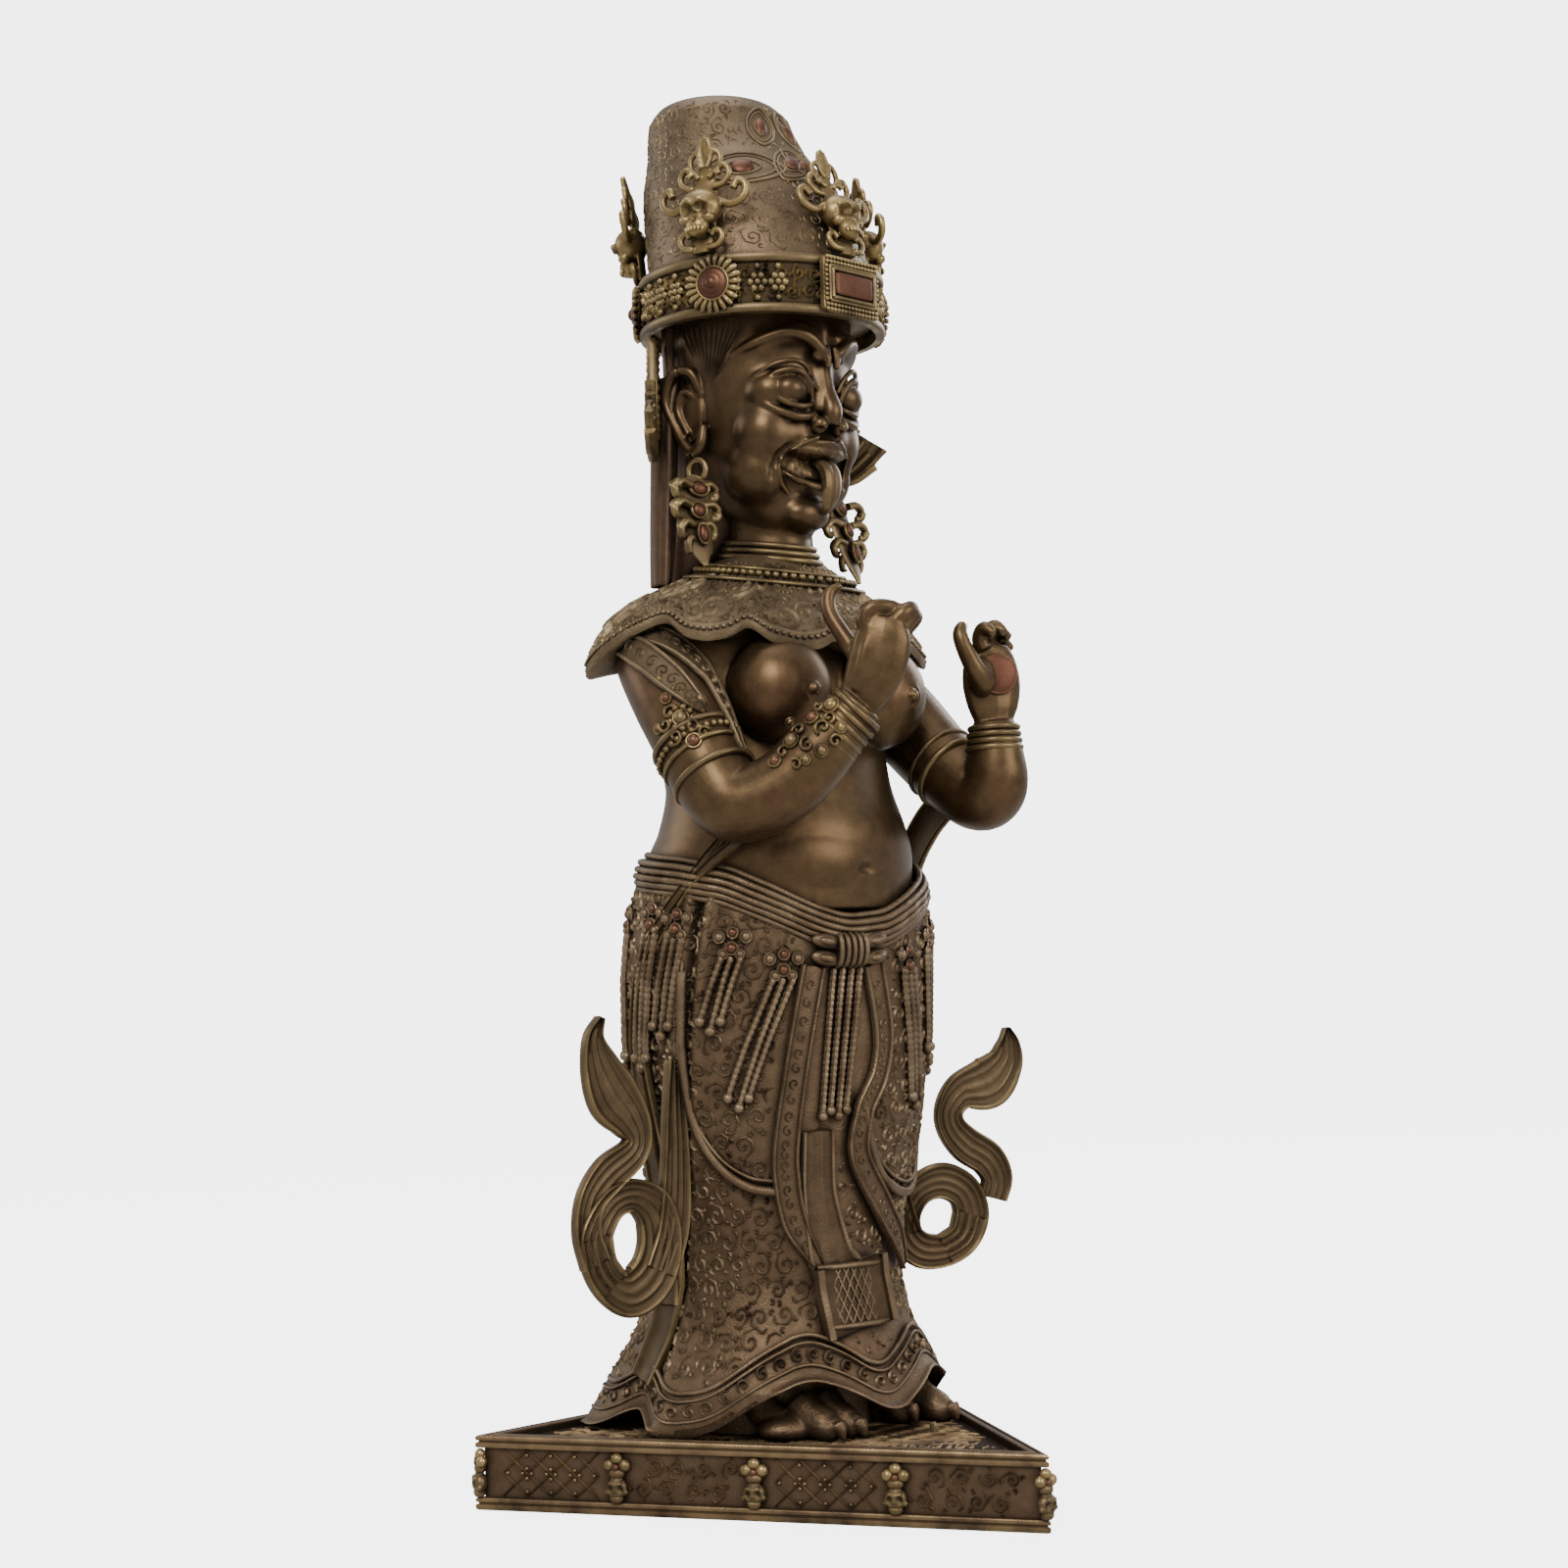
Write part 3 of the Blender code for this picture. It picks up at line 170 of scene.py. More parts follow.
def loft(stations, count, around=40, power=2.0):
    """A body through stations of height, half width, front, back, x, y and turn."""
    return skin([ring(*row, around=around, power=power) for row in spline(stations, count)])


def rope(path, widths, thicks=None, normals=None, count=0, around=14, power=2.0, hoop=False):
    """A rounded strip along a path. Widths lie across the strip and thicks along the given normals."""
    path = np.array(path, float)
    widths = np.broadcast_to(np.array(widths, float), len(path))
    thicks = widths if thicks is None else np.broadcast_to(np.array(thicks, float), len(path))
    if normals is None:
        facing = np.tile([0.13, -0.21, 0.97], (len(path), 1))
        run = path[-1] - path[0]
        if abs(run[2]) > 0.8 * np.linalg.norm(run):
            facing = np.tile([0.1, -1.0, 0.05], (len(path), 1))
    else:
        facing = np.broadcast_to(np.array(normals, float), path.shape)
    rows = np.hstack([path, widths[:, None], thicks[:, None], facing])
    if count:
        rows = spline(rows, count)
    places, half, deep, facing = rows[:, :3], rows[:, 3], rows[:, 4], rows[:, 5:8]
    along = np.roll(places, -1, 0) - np.roll(places, 1, 0) if hoop else np.gradient(places, axis=0)
    along = unit(along)
    side = unit(np.cross(along, facing))
    out = np.cross(side, along)
    angle = np.linspace(0, 2 * math.pi, around, endpoint=False)
    across = np.sign(np.cos(angle)) * np.abs(np.cos(angle)) ** (2 / power)
    up = np.sign(np.sin(angle)) * np.abs(np.sin(angle)) ** (2 / power)
    rings = (places[:, None] + side[:, None] * (half[:, None] * across)[:, :, None]
             + out[:, None] * (deep[:, None] * up)[:, :, None])
    return skin(rings, hoop)


def moulded(path, normals, widths, profile, count=0, height=1.0):
    """A flat-backed strip whose face follows a profile of places across it and heights."""
    rows = np.hstack([np.array(path, float), np.array(normals, float),
                      np.broadcast_to(np.array(widths, float), len(path))[:, None]])
    if count:
        rows = spline(rows, count)
    places, facing, half = rows[:, :3], unit(rows[:, 3:6]), rows[:, 6]
    along = unit(np.gradient(places, axis=0))
    side = unit(np.cross(along, facing))
    profile = np.array(profile, float)
    face = (places[:, None] + side[:, None] * (half[:, None] * profile[:, 0])[:, :, None]
            + facing[:, None] * (height * profile[:, 1])[None, :, None])
    back = (places[:, None] + side[:, None] * (half[:, None] * profile[::-1, 0])[:, :, None]
            - facing[:, None] * np.full(len(profile), 1.6)[None, :, None])
    return skin(np.concatenate([face, back[:, ::len(profile) - 1]], 1))


def ball(x, y, z, wide, deep, tall, rows=14, around=24):
    """A rounded lump."""
    angle = np.linspace(0.12, math.pi - 0.12, rows)
    return skin([ring(z - tall * math.cos(a), wide * math.sin(a), deep * math.sin(a), deep * math.sin(a),
                      x, y, around=around) for a in angle])


def hoop(centre, axis, radius, thick, around=48, section=8, squash=1.0):
    """A round ring about an axis."""
    axis = unit(axis)
    first = unit(np.cross(axis, [0.3, 0.5, 0.81]))
    second = np.cross(axis, first)
    angle = np.linspace(0, 2 * math.pi, around, endpoint=False)[:, None]
    out = first * np.cos(angle) + second * np.sin(angle) * squash
    path = np.array(centre, float) + radius * out
    turn = np.linspace(0, 2 * math.pi, section, endpoint=False)[:, None]
    return skin([p + thick * (o * np.cos(turn) + axis * np.sin(turn)) for p, o in zip(path, out)], hoop=True)


def mirrored(shape):
    """The same shape on the figure's other side."""
    points, faces = shape
    return np.array(points) * [-1, 1, 1], [tuple(reversed(f)) for f in faces]


def placed(shape, turn=0.0, move=(0, 0, 0), lean=0.0):
    """A shape leaned back about X, turned about Z and then moved."""
    points, faces = shape
    points = np.array(points, float)
    c, s = math.cos(lean), math.sin(lean)
    points = points @ np.array([[1, 0, 0], [0, c, s], [0, -s, c]])
    c, s = math.cos(turn), math.sin(turn)
    points = points @ np.array([[c, s, 0], [-s, c, 0], [0, 0, 1]])
    return points + np.array(move, float), faces


# Objects.

def gather(name, shapes, scale=UNIT, lift=GROUND):
    """One mesh object of several shapes, brought from shares to metres, with every shape facing out."""
    points, faces, start = [], [], 0
    for more, sides in shapes:
        more = np.array(more, float)
        sides = [tuple(int(i) for i in side) for side in sides]
        fan = np.array([(s[0], s[k], s[k + 1]) for s in sides for k in range(1, len(s) - 1)])
        a, b, c = more[fan[:, 0]], more[fan[:, 1]], more[fan[:, 2]]
        if np.einsum("ij,ij->i", a - more.mean(0), np.cross(b - more.mean(0), c - more.mean(0))).sum() < 0:
            sides = [tuple(reversed(s)) for s in sides]
        points.append(more)
        faces += [tuple(start + i for i in side) for side in sides]
        start += len(more)
    points = np.vstack(points) * scale + [0, 0, lift]
    mesh = bpy.data.meshes.new(name)
    mesh.from_pydata(points.tolist(), [], faces)
    mesh.update()
    item = bpy.data.objects.new(name, mesh)
    bpy.context.scene.collection.objects.link(item)
    return item


def only(item):
    """Selects one object and makes it active."""
    bpy.ops.object.select_all(action="DESELECT")
    item.select_set(True)
    bpy.context.view_layer.objects.active = item
    return item


def apply_all(item):
    """Applies every modifier of an object."""
    only(item)
    for modifier in list(item.modifiers):
        bpy.ops.object.modifier_apply(modifier=modifier.name)
    return item


def triangles_of(item):
    """How many triangles an object's mesh has."""
    return sum(len(p.vertices) - 2 for p in item.data.polygons)


def cast(item, voxel, soften=2, most=None):
    """Runs an object's lumps together as metal does, softens the skin and thins it."""
    remesh = item.modifiers.new("run", "REMESH")
    remesh.mode = "VOXEL"
    remesh.voxel_size = voxel
    remesh.adaptivity = 0.0
    if soften:
        smooth = item.modifiers.new("soften", "SMOOTH")
        smooth.factor = 0.5
        smooth.iterations = soften
    apply_all(item)
    return thin(item, most)


def thin(item, most):
    """Thins an object to a number of triangles."""
    count = triangles_of(item)
    if most and count > most:
        fewer = item.modifiers.new("thin", "DECIMATE")
        fewer.ratio = most / count
        apply_all(item)
    return item


def joined(name, items):
    """Several objects made one."""
    bpy.ops.object.select_all(action="DESELECT")
    for item in items:
        item.select_set(True)
    bpy.context.view_layer.objects.active = items[0]
    if len(items) > 1:
        bpy.ops.object.join()
    items[0].name = name
    return items[0]


def finished(item, material, slot, *nodes, smooth=60.0):
    """Shades a piece, gives it its finish and fixes it to the body in place of the CAD nodes."""
    only(item)
    bpy.ops.object.shade_smooth_by_angle(angle=math.radians(smooth))
    if material:
        item.data.materials.clear()
        item.data.materials.append(material)
    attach(item, "root")
    if nodes:
        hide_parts(*nodes)
    OBJECTS[item.name] = item
    return item


def ray_tree(item):
    """A tree of an object's faces, for laying things on it."""
    points = [v.co.copy() for v in item.data.vertices]
    return BVHTree.FromPolygons(points, [tuple(p.vertices) for p in item.data.polygons])


def lay(tree, places, ways, reach=30.0, sink=0.0):
    """Places in shares brought straight down onto a surface, with the way it faces there."""
    spots, facings = [], []
    for place, way in zip(np.array(places, float), unit(ways)):
        start = Vector((place + way * reach) * UNIT) + Vector((0, 0, GROUND))
        hit, normal, _, _ = tree.ray_cast(start, Vector(-way), reach * 2.2 * UNIT)
        if hit is None:
            spots.append(place)
            facings.append(way)
            continue
        spots.append((np.array(hit) - [0, 0, GROUND]) / UNIT - np.array(normal) * sink)
        facings.append(np.array(normal))
    facings = np.array(facings)
    if len(facings) > 4:
        facings[1:-1] = facings[1:-1] * 2 + facings[:-2] + facings[2:]
    return np.array(spots), unit(facings)


def press(item, strokes):
    """Raises or sinks the skin along strokes of places in shares, each with a radius and a depth."""
    mesh = item.data
    count = len(mesh.vertices)
    flat = np.zeros(count * 3, np.float32)
    mesh.vertices.foreach_get("co", flat)
    points = flat.reshape(-1, 3).astype(float)
    normals = np.zeros(count * 3, np.float32)
    mesh.vertices.foreach_get("normal", normals)
    normals = normals.reshape(-1, 3).astype(float)
    near = KDTree(count)
    for i, p in enumerate(points):
        near.insert(p, i)
    near.balance()
    shift = np.zeros(count)
    for path, radius, depth in strokes:
        path = np.array(path, float)
        steps = max(4, int(np.linalg.norm(np.diff(path, axis=0), axis=1).sum() / (radius * 0.4)))
        depths = np.interp(np.linspace(0, 1, steps), np.linspace(0, 1, len(np.atleast_1d(depth))),
                           np.atleast_1d(depth))
        for place, deep in zip(spline(path, steps), depths):
            spot, _, _ = near.find(Vector(place * UNIT) + Vector((0, 0, GROUND)))
            for _, i, away in near.find_range(spot, radius * UNIT):
                push = (1 - (away / (radius * UNIT)) ** 2) ** 2 * deep
                if abs(push) > abs(shift[i]):
                    shift[i] = push
    points += normals * (shift * UNIT)[:, None]
    mesh.vertices.foreach_set("co", points.astype(np.float32).ravel())
    mesh.update()
    return item


# Chased scrollwork: raised half-round lines.

def line_relief(spots, facings, wide, tall, ends=0.35):
    """A raised line with a rounded back, thin at its ends."""
    count = len(spots)
    share = np.linspace(0, 1, count)
    taper = np.clip(np.minimum(share, 1 - share) * 6 + ends, 0, 1)
    along = unit(np.gradient(spots, axis=0))
    side = unit(np.cross(along, facings))
    half = side * (wide * taper)[:, None]
    crest = facings * (tall * taper)[:, None]
    sunk = facings * 0.5
    return skin(np.stack([spots - half - sunk, spots + half - sunk, spots + crest], 1))


def curl(centre, radius, start, turns, hand, count=11, inner=0.16):
    """A flat spiral that winds in to its middle."""
    share = np.linspace(0, 1, count)
    angle = start + hand * share * turns * 2 * math.pi
    away = radius * (1 - share * (1 - inner)) ** 1.15
    return np.stack([centre[0] + away * np.cos(angle), centre[1] + away * np.sin(angle)], 1)


def vine(low, high, cell, seed, turns=1.35):
    """Flat curls and leaves that fill a rectangle as chased brocade does."""
    chance = random.Random(seed)
    strokes = []
    rows = max(1, round((high[1] - low[1]) / (cell * 0.88)))
    columns = max(1, round((high[0] - low[0]) / cell))
    step = ((high[0] - low[0]) / columns, (high[1] - low[1]) / rows)
    for r in range(rows):
        for c in range(columns):
            shift = 0.5 if r % 2 else 0.0
            x = low[0] + (c + 0.5 + shift * 0.9 - 0.2) * step[0] + chance.uniform(-0.1, 0.1) * cell
            y = low[1] + (r + 0.5) * step[1] + chance.uniform(-0.08, 0.08) * cell
            hand = 1 if (r + c) % 2 else -1
            start = chance.uniform(0, 2 * math.pi)
            radius = cell * chance.uniform(0.36, 0.44)
            strokes.append(curl((x, y), radius, start, turns, hand))
            tail = np.array([x + radius * math.cos(start), y + radius * math.sin(start)])
            away = start - hand * 1.9
            tip = tail + cell * 0.34 * np.array([math.cos(away), math.sin(away)])
            bow = (tail + tip) / 2 + cell * 0.12 * np.array([math.cos(start), math.sin(start)])
            strokes.append(spline([tail, bow, tip], 5))
            for k in (1, 2):
                turn = start + hand * (2.1 * k + chance.uniform(-0.3, 0.3))
                bud = np.array([x, y]) + radius * 1.16 * np.array([math.cos(turn), math.sin(turn)])
                strokes.append(curl(bud, cell * 0.13, turn, 0.8, -hand, 6, 0.3))
    return strokes


def kept(strokes, keep):
    """Flat strokes cut where they leave the kept area."""
    parts = []
    for stroke in strokes:
        part = []
        for u, v in stroke:
            if keep(u, v):
                part.append((u, v))
            else:
                parts.append(part)
                part = []
        parts.append(part)
    return [part for part in parts if len(part) > 3]


def chase(tree, strokes, mapping, wide, tall, keep=None, reach=26.0):
    """Lays flat strokes on a surface as raised lines. The mapping gives a place and a way to face."""
    shapes = []
    for stroke in kept(strokes, keep) if keep else strokes:
        pairs = [mapping(u, v) for u, v in stroke]
        spots, facings = lay(tree, [p[0] for p in pairs], [p[1] for p in pairs], reach)
        gaps = np.linalg.norm(np.diff(spots, axis=0), axis=1)
        if gaps.max() > 4 * np.median(gaps) + 2.0:
            continue
        shapes.append(line_relief(spots, facings, wide, tall))
    return shapes


# Finishes.

def tone(red, green, blue):
    """A colour given as seen, made linear."""
    return tuple(((c / 255) / 12.92 if c <= 10 else ((c / 255 + 0.055) / 1.055) ** 2.4) for c in (red, green, blue))


def wire(tree, source, output, target, entry):
    """Joins one node's output to another node's input."""
    tree.links.new(source.outputs[output], target.inputs[entry])


def ramp_between(tree, low, high, down=False):
    """A node that maps a range onto 0 to 1, or onto 1 to 0."""
    node = tree.nodes.new("ShaderNodeMapRange")
    node.inputs["From Min"].default_value = low
    node.inputs["From Max"].default_value = high
    node.inputs["To Min"].default_value = 1.0 if down else 0.0
    node.inputs["To Max"].default_value = 0.0 if down else 1.0
    return node


def noise(tree, coordinates, scale, detail=4.0, rough=0.55):
    """A noise over the piece's own coordinates."""
    node = tree.nodes.new("ShaderNodeTexNoise")
    node.inputs["Scale"].default_value = scale
    node.inputs["Detail"].default_value = detail
    node.inputs["Roughness"].default_value = rough
    wire(tree, coordinates, "Object", node, "Vector")
    return node


def blend_colour(tree, mode="MIX"):
    """A node that mixes two colours."""
    node = tree.nodes.new("ShaderNodeMix")
    node.data_type = "RGBA"
    node.blend_type = mode
    return node


def patina_and_shade_group():
    """Colour, roughness and normal of an aged casting: dirt and painted shade in its hollows, wear on its edges, red
    patches.
    """
    group = bpy.data.node_groups.new("aged_casting_and_shade", "ShaderNodeTree")
    entry = group.interface.new_socket
    for name in ("Metal", "Patch", "Hollow", "Worn"):
        entry(name=name, in_out="INPUT", socket_type="NodeSocketColor")
    for name, value in (("Patchiness", 0.5), ("Dirt_and_shade", 0.8), ("Wear", 0.6), ("Chasing", 0.0), ("Gloss", 0.42)):
        entry(name=name, in_out="INPUT", socket_type="NodeSocketFloat").default_value = value
    entry(name="Color", in_out="OUTPUT", socket_type="NodeSocketColor")
    entry(name="Roughness", in_out="OUTPUT", socket_type="NodeSocketFloat")
    entry(name="Normal", in_out="OUTPUT", socket_type="NodeSocketVector")
    given = group.nodes.new("NodeGroupInput")
    result = group.nodes.new("NodeGroupOutput")
    place = group.nodes.new("ShaderNodeTexCoord")

    patches = noise(group, place, 17.0, 5.0, 0.62)
    patch_mask = ramp_between(group, 0.46, 0.68)
    wire(group, patches, "Fac", patch_mask, "Value")
    patch_part = group.nodes.new("ShaderNodeMath")
    patch_part.operation = "MULTIPLY"
    wire(group, patch_mask, "Result", patch_part, 0)
    wire(group, given, "Patchiness", patch_part, 1)
    toned = blend_colour(group)
    wire(group, patch_part, "Value", toned, "Factor")
    wire(group, given, "Metal", toned, "A")
    wire(group, given, "Patch", toned, "B")

    mottle = noise(group, place, 95.0, 6.0, 0.6)
    mottle_range = ramp_between(group, 0.25, 0.75)
    mottle_range.inputs["To Min"].default_value = 0.72
    mottle_range.inputs["To Max"].default_value = 1.22
    wire(group, mottle, "Fac", mottle_range, "Value")
    mottled = blend_colour(group, "MULTIPLY")
    mottled.inputs["Factor"].default_value = 1.0
    wire(group, toned, "Result", mottled, "A")
    wire(group, mottle_range, "Result", mottled, "B")

    # Painted shade and dirt: the Hollow colour is mixed in where ambient occlusion finds little light getting in, and
    # in concave places found by pointiness.
    occlusion = group.nodes.new("ShaderNodeAmbientOcclusion")
    occlusion.samples = 6
    occlusion.inputs["Distance"].default_value = 0.007
    shade = ramp_between(group, 0.35, 0.93, down=True)
    wire(group, occlusion, "AO", shade, "Value")
    bends = group.nodes.new("ShaderNodeNewGeometry")
    valley = ramp_between(group, 0.40, 0.495, down=True)
    wire(group, bends, "Pointiness", valley, "Value")
    deepest = group.nodes.new("ShaderNodeMath")
    deepest.operation = "MAXIMUM"
    wire(group, shade, "Result", deepest, 0)
    wire(group, valley, "Result", deepest, 1)
    # How much painted shade and dirt darken each place, times the finish's own setting for it.
    dirt_and_shade_part = group.nodes.new("ShaderNodeMath")
    dirt_and_shade_part.operation = "MULTIPLY"
    wire(group, deepest, "Value", dirt_and_shade_part, 0)
    wire(group, given, "Dirt_and_shade", dirt_and_shade_part, 1)
    # Painted shade and dirt: the colour darkened towards Hollow by that mask.
    dirt_and_shade_mixed = blend_colour(group)
    wire(group, dirt_and_shade_part, "Value", dirt_and_shade_mixed, "Factor")
    wire(group, mottled, "Result", dirt_and_shade_mixed, "A")
    wire(group, given, "Hollow", dirt_and_shade_mixed, "B")

    # Handling rubs the edges and crests bright.
    crest = ramp_between(group, 0.515, 0.60)
    wire(group, bends, "Pointiness", crest, "Value")
    rub = noise(group, place, 40.0, 3.0, 0.5)
    rub_range = ramp_between(group, 0.35, 0.62)
    wire(group, rub, "Fac", rub_range, "Value")
    rubbed = group.nodes.new("ShaderNodeMath")
    rubbed.operation = "MULTIPLY"
    wire(group, crest, "Result", rubbed, 0)
    wire(group, rub_range, "Result", rubbed, 1)
    wear_part = group.nodes.new("ShaderNodeMath")
    wear_part.operation = "MULTIPLY"
    wire(group, rubbed, "Value", wear_part, 0)
    wire(group, given, "Wear", wear_part, 1)
    worn = blend_colour(group)
    wire(group, wear_part, "Value", worn, "Factor")
    wire(group, dirt_and_shade_mixed, "Result", worn, "A")
    wire(group, given, "Worn", worn, "B")
    wire(group, worn, "Result", result, "Color")

    # Dirt and painted shade are matt and worn metal is brighter.
    duller = group.nodes.new("ShaderNodeMath")
    duller.operation = "MULTIPLY_ADD"
    duller.inputs[1].default_value = 0.34
    wire(group, dirt_and_shade_part, "Value", duller, 0)
    wire(group, given, "Gloss", duller, 2)
    uneven = group.nodes.new("ShaderNodeMath")
    uneven.operation = "MULTIPLY_ADD"
    uneven.inputs[1].default_value = 0.14
    wire(group, mottle, "Fac", uneven, 0)
    wire(group, duller, "Value", uneven, 2)
    brighter = group.nodes.new("ShaderNodeMath")
    brighter.operation = "MULTIPLY_ADD"
    brighter.inputs[1].default_value = -0.16
    wire(group, wear_part, "Value", brighter, 0)
    wire(group, uneven, "Value", brighter, 2)
    wire(group, brighter, "Value", result, "Roughness")

    # Small worm-like chasing between the raised lines, and the pits of the casting.
    worms = noise(group, place, 105.0, 1.0, 0.4)
    waves = group.nodes.new("ShaderNodeMath")
    waves.operation = "MULTIPLY"
    waves.inputs[1].default_value = 8.0
    wire(group, worms, "Fac", waves, 0)
    lines = group.nodes.new("ShaderNodeMath")
    lines.operation = "PINGPONG"
    lines.inputs[1].default_value = 0.5
    wire(group, waves, "Value", lines, 0)
    cut_lines = group.nodes.new("ShaderNodeMath")
    cut_lines.operation = "MULTIPLY"
    wire(group, lines, "Value", cut_lines, 0)
    wire(group, given, "Chasing", cut_lines, 1)
    pits = noise(group, place, 520.0, 4.0, 0.7)
    rough_skin = group.nodes.new("ShaderNodeMath")
    rough_skin.operation = "MULTIPLY_ADD"
    rough_skin.inputs[1].default_value = 0.22
    wire(group, pits, "Fac", rough_skin, 0)
    wire(group, cut_lines, "Value", rough_skin, 2)
    bump = group.nodes.new("ShaderNodeBump")
    bump.inputs["Strength"].default_value = 0.55
    bump.inputs["Distance"].default_value = 0.0007
    wire(group, rough_skin, "Value", bump, "Height")
    wire(group, bump, "Normal", result, "Normal")
    return group


AGED = patina_and_shade_group()


def aged(name, metal, patch, hollow, worn, patchiness, dirt_and_shade, wear, chasing, gloss, metallic=0.88):
    """A bronze finish with its own colours and its own share of wear and of dirt and painted shade in its hollows."""
    material = bpy.data.materials.new(name)
    material.use_nodes = True
    tree = material.node_tree
    shader = tree.nodes["Principled BSDF"]
    shader.inputs["Metallic"].default_value = metallic
    shader.inputs["Specular IOR Level"].default_value = 0.4
    node = tree.nodes.new("ShaderNodeGroup")
    node.node_tree = AGED
    for entry, colour in (("Metal", metal), ("Patch", patch), ("Hollow", hollow), ("Worn", worn)):
        node.inputs[entry].default_value = (*tone(*colour), 1.0)
    # The hollow setting darkens by painted shade from occlusion as well as by dirt.
    for entry, value in (("Patchiness", patchiness), ("Dirt_and_shade", dirt_and_shade), ("Wear", wear), ("Chasing", chasing),
                         ("Gloss", gloss)):
        node.inputs[entry].default_value = value
    wire(tree, node, "Color", shader, "Base Color")
    wire(tree, node, "Roughness", shader, "Roughness")
    wire(tree, node, "Normal", shader, "Normal")
    return material


# Each finish: metal, patch, hollow and worn colours, then patchiness, dirt and painted shade, wear, chasing and gloss.
# The hollow colour is the painted shade and dirt of its hollows.
CLOTH_BRONZE = aged("chased_cloth_bronze", (96, 78, 58), (92, 68, 52), (30, 23, 17), (142, 122, 96),
                    0.4, 0.95, 0.7, 0.7, 0.44)
CAPE_BRONZE = aged("dusty_cape_bronze", (104, 88, 66), (98, 78, 60), (36, 28, 21), (146, 128, 98),
                   0.35, 0.95, 0.65, 0.7, 0.48)
SKIN_BRONZE = aged("rubbed_skin_bronze", (86, 68, 46), (84, 58, 42), (26, 19, 13), (132, 112, 74),
                   0.45, 0.8, 0.5, 0.0, 0.33)
FACE_BRONZE = aged("dark_face_bronze", (80, 63, 43), (74, 54, 39), (20, 15, 11), (138, 116, 78),
                   0.4, 0.9, 0.65, 0.0, 0.30)
HAIR_BRONZE = aged("red_hair_bronze", (76, 60, 46), (78, 58, 46), (22, 17, 13), (118, 96, 74),
                   0.4, 0.9, 0.5, 0.1, 0.42)
CROWN_BRASS = aged("olive_crown_brass", (98, 82, 58), (88, 67, 50), (24, 18, 13), (160, 138, 94),
                   0.4, 1.0, 0.9, 0.2, 0.38)
SKULL_BRASS = aged("rubbed_skull_brass", (126, 106, 70), (100, 80, 55), (24, 18, 12), (182, 158, 104),
                   0.3, 1.0, 0.9, 0.0, 0.34)
HAT_BRASS = aged("engraved_hat_brass", (96, 80, 60), (88, 70, 54), (38, 29, 21), (140, 121, 88),
                 0.4, 0.9, 0.6, 0.5, 0.40)
SCARF_BRASS = aged("scarf_end_brass", (92, 76, 54), (88, 65, 48), (26, 19, 13), (148, 126, 84),
                   0.4, 1.0, 0.75, 0.1, 0.37)
PLINTH_BRONZE = aged("plinth_bronze", (92, 74, 56), (86, 64, 50), (32, 24, 18), (142, 118, 84),
                     0.4, 0.85, 0.7, 0.3, 0.42)
COPPER = aged("copper_inlay", (88, 57, 43), (76, 50, 38), (30, 19, 14), (124, 90, 70),
              0.5, 0.8, 0.5, 0.0, 0.38)


# The dress, and what lies on it by angle from its front and height.

DRESS = [
    (0, 122, 112, 22), (36, 112, 103, 22), (72, 99, 93, 21), (108, 93, 88, 20), (150, 96, 87, 17),
    (175, 101, 87, 15), (215, 108, 89, 12), (280, 116, 91, 11), (323, 117, 91, 10), (350, 116, 90, 8),
    (381, 112, 88, 6), (410, 103, 90, 5), (432, 95, 86, 2),
]
HEM = [
    (-180, 10, 10), (-150, 7, 22), (-125, 5, 26), (-106, 7, 16), (-92, 24, -2), (-84, 22, 2), (-72, 7, 17),
    (-56, 11, 18), (-38, 36, 16), (-22, 50, 14), (-8, 40, 13), (7, 20, 16), (20, 32, 14), (36, 46, 12),
    (52, 30, 12), (66, 12, 15), (90, 8, 15), (120, 10, 12), (150, 7, 14), (180, 10, 10),
]
BELT = [
    (-180, 420), (-108, 415), (-75, 410), (-51, 403), (-31, 388), (-15, 374), (-3, 367), (15, 370),
    (38, 387), (75, 408), (110, 415), (180, 420),
]

# Deep folds down the sides: height and angle.
FOLDS = [
    [(90, -82), (114, -81), (185, -74), (255, -67), (324, -63), (400, -60)],
    [(90, 88), (185, 82), (255, 76), (324, 72), (400, 70)],
    [(90, -132), (185, -126), (324, -122), (400, -120)],
    [(90, 134), (185, 128), (324, 124), (400, 122)],
]

# Lower edge of the over-skirt, by angle.
SWAG = [
    (-180, 172), (-160, 174), (-140, 190), (-120, 250), (-100, 300), (-80, 300), (-67, 262), (-64, 220), (-55, 193),
    (-43, 178), (-31, 174), (-22, 176), (-10, 240), (4, 240), (9, 202), (20, 176), (41, 165), (62, 178), (74, 215),
    (78, 262), (90, 300), (104, 290), (118, 220), (130, 190), (160, 172), (180, 172),
]


def smooth_table(table, place, reach=3.0):
    """Values of a table by angle, rounded off at its corners."""
    table = np.array(table, float)
    place = np.asarray(place, float)
    tries = [np.stack([np.interp(place + shift, table[:, 0], table[:, k]) for k in range(1, table.shape[1])])
             for shift in (-reach, -reach / 2, 0, reach / 2, reach)]
    return np.mean(tries, 0)


def inside_rim(places):
    """Level places kept within the plinth's raised rim."""
    reach = (PLINTH_SIDE / (2 * math.sqrt(3)) - PLINTH_RIM - HEM_CLEARANCE) / UNIT
    for facing in (-30, 90, 210):
        way = np.array((math.cos(math.radians(facing)), math.sin(math.radians(facing))))
        places = places - way * np.maximum(0.0, places @ way - reach)[..., None]
    return places


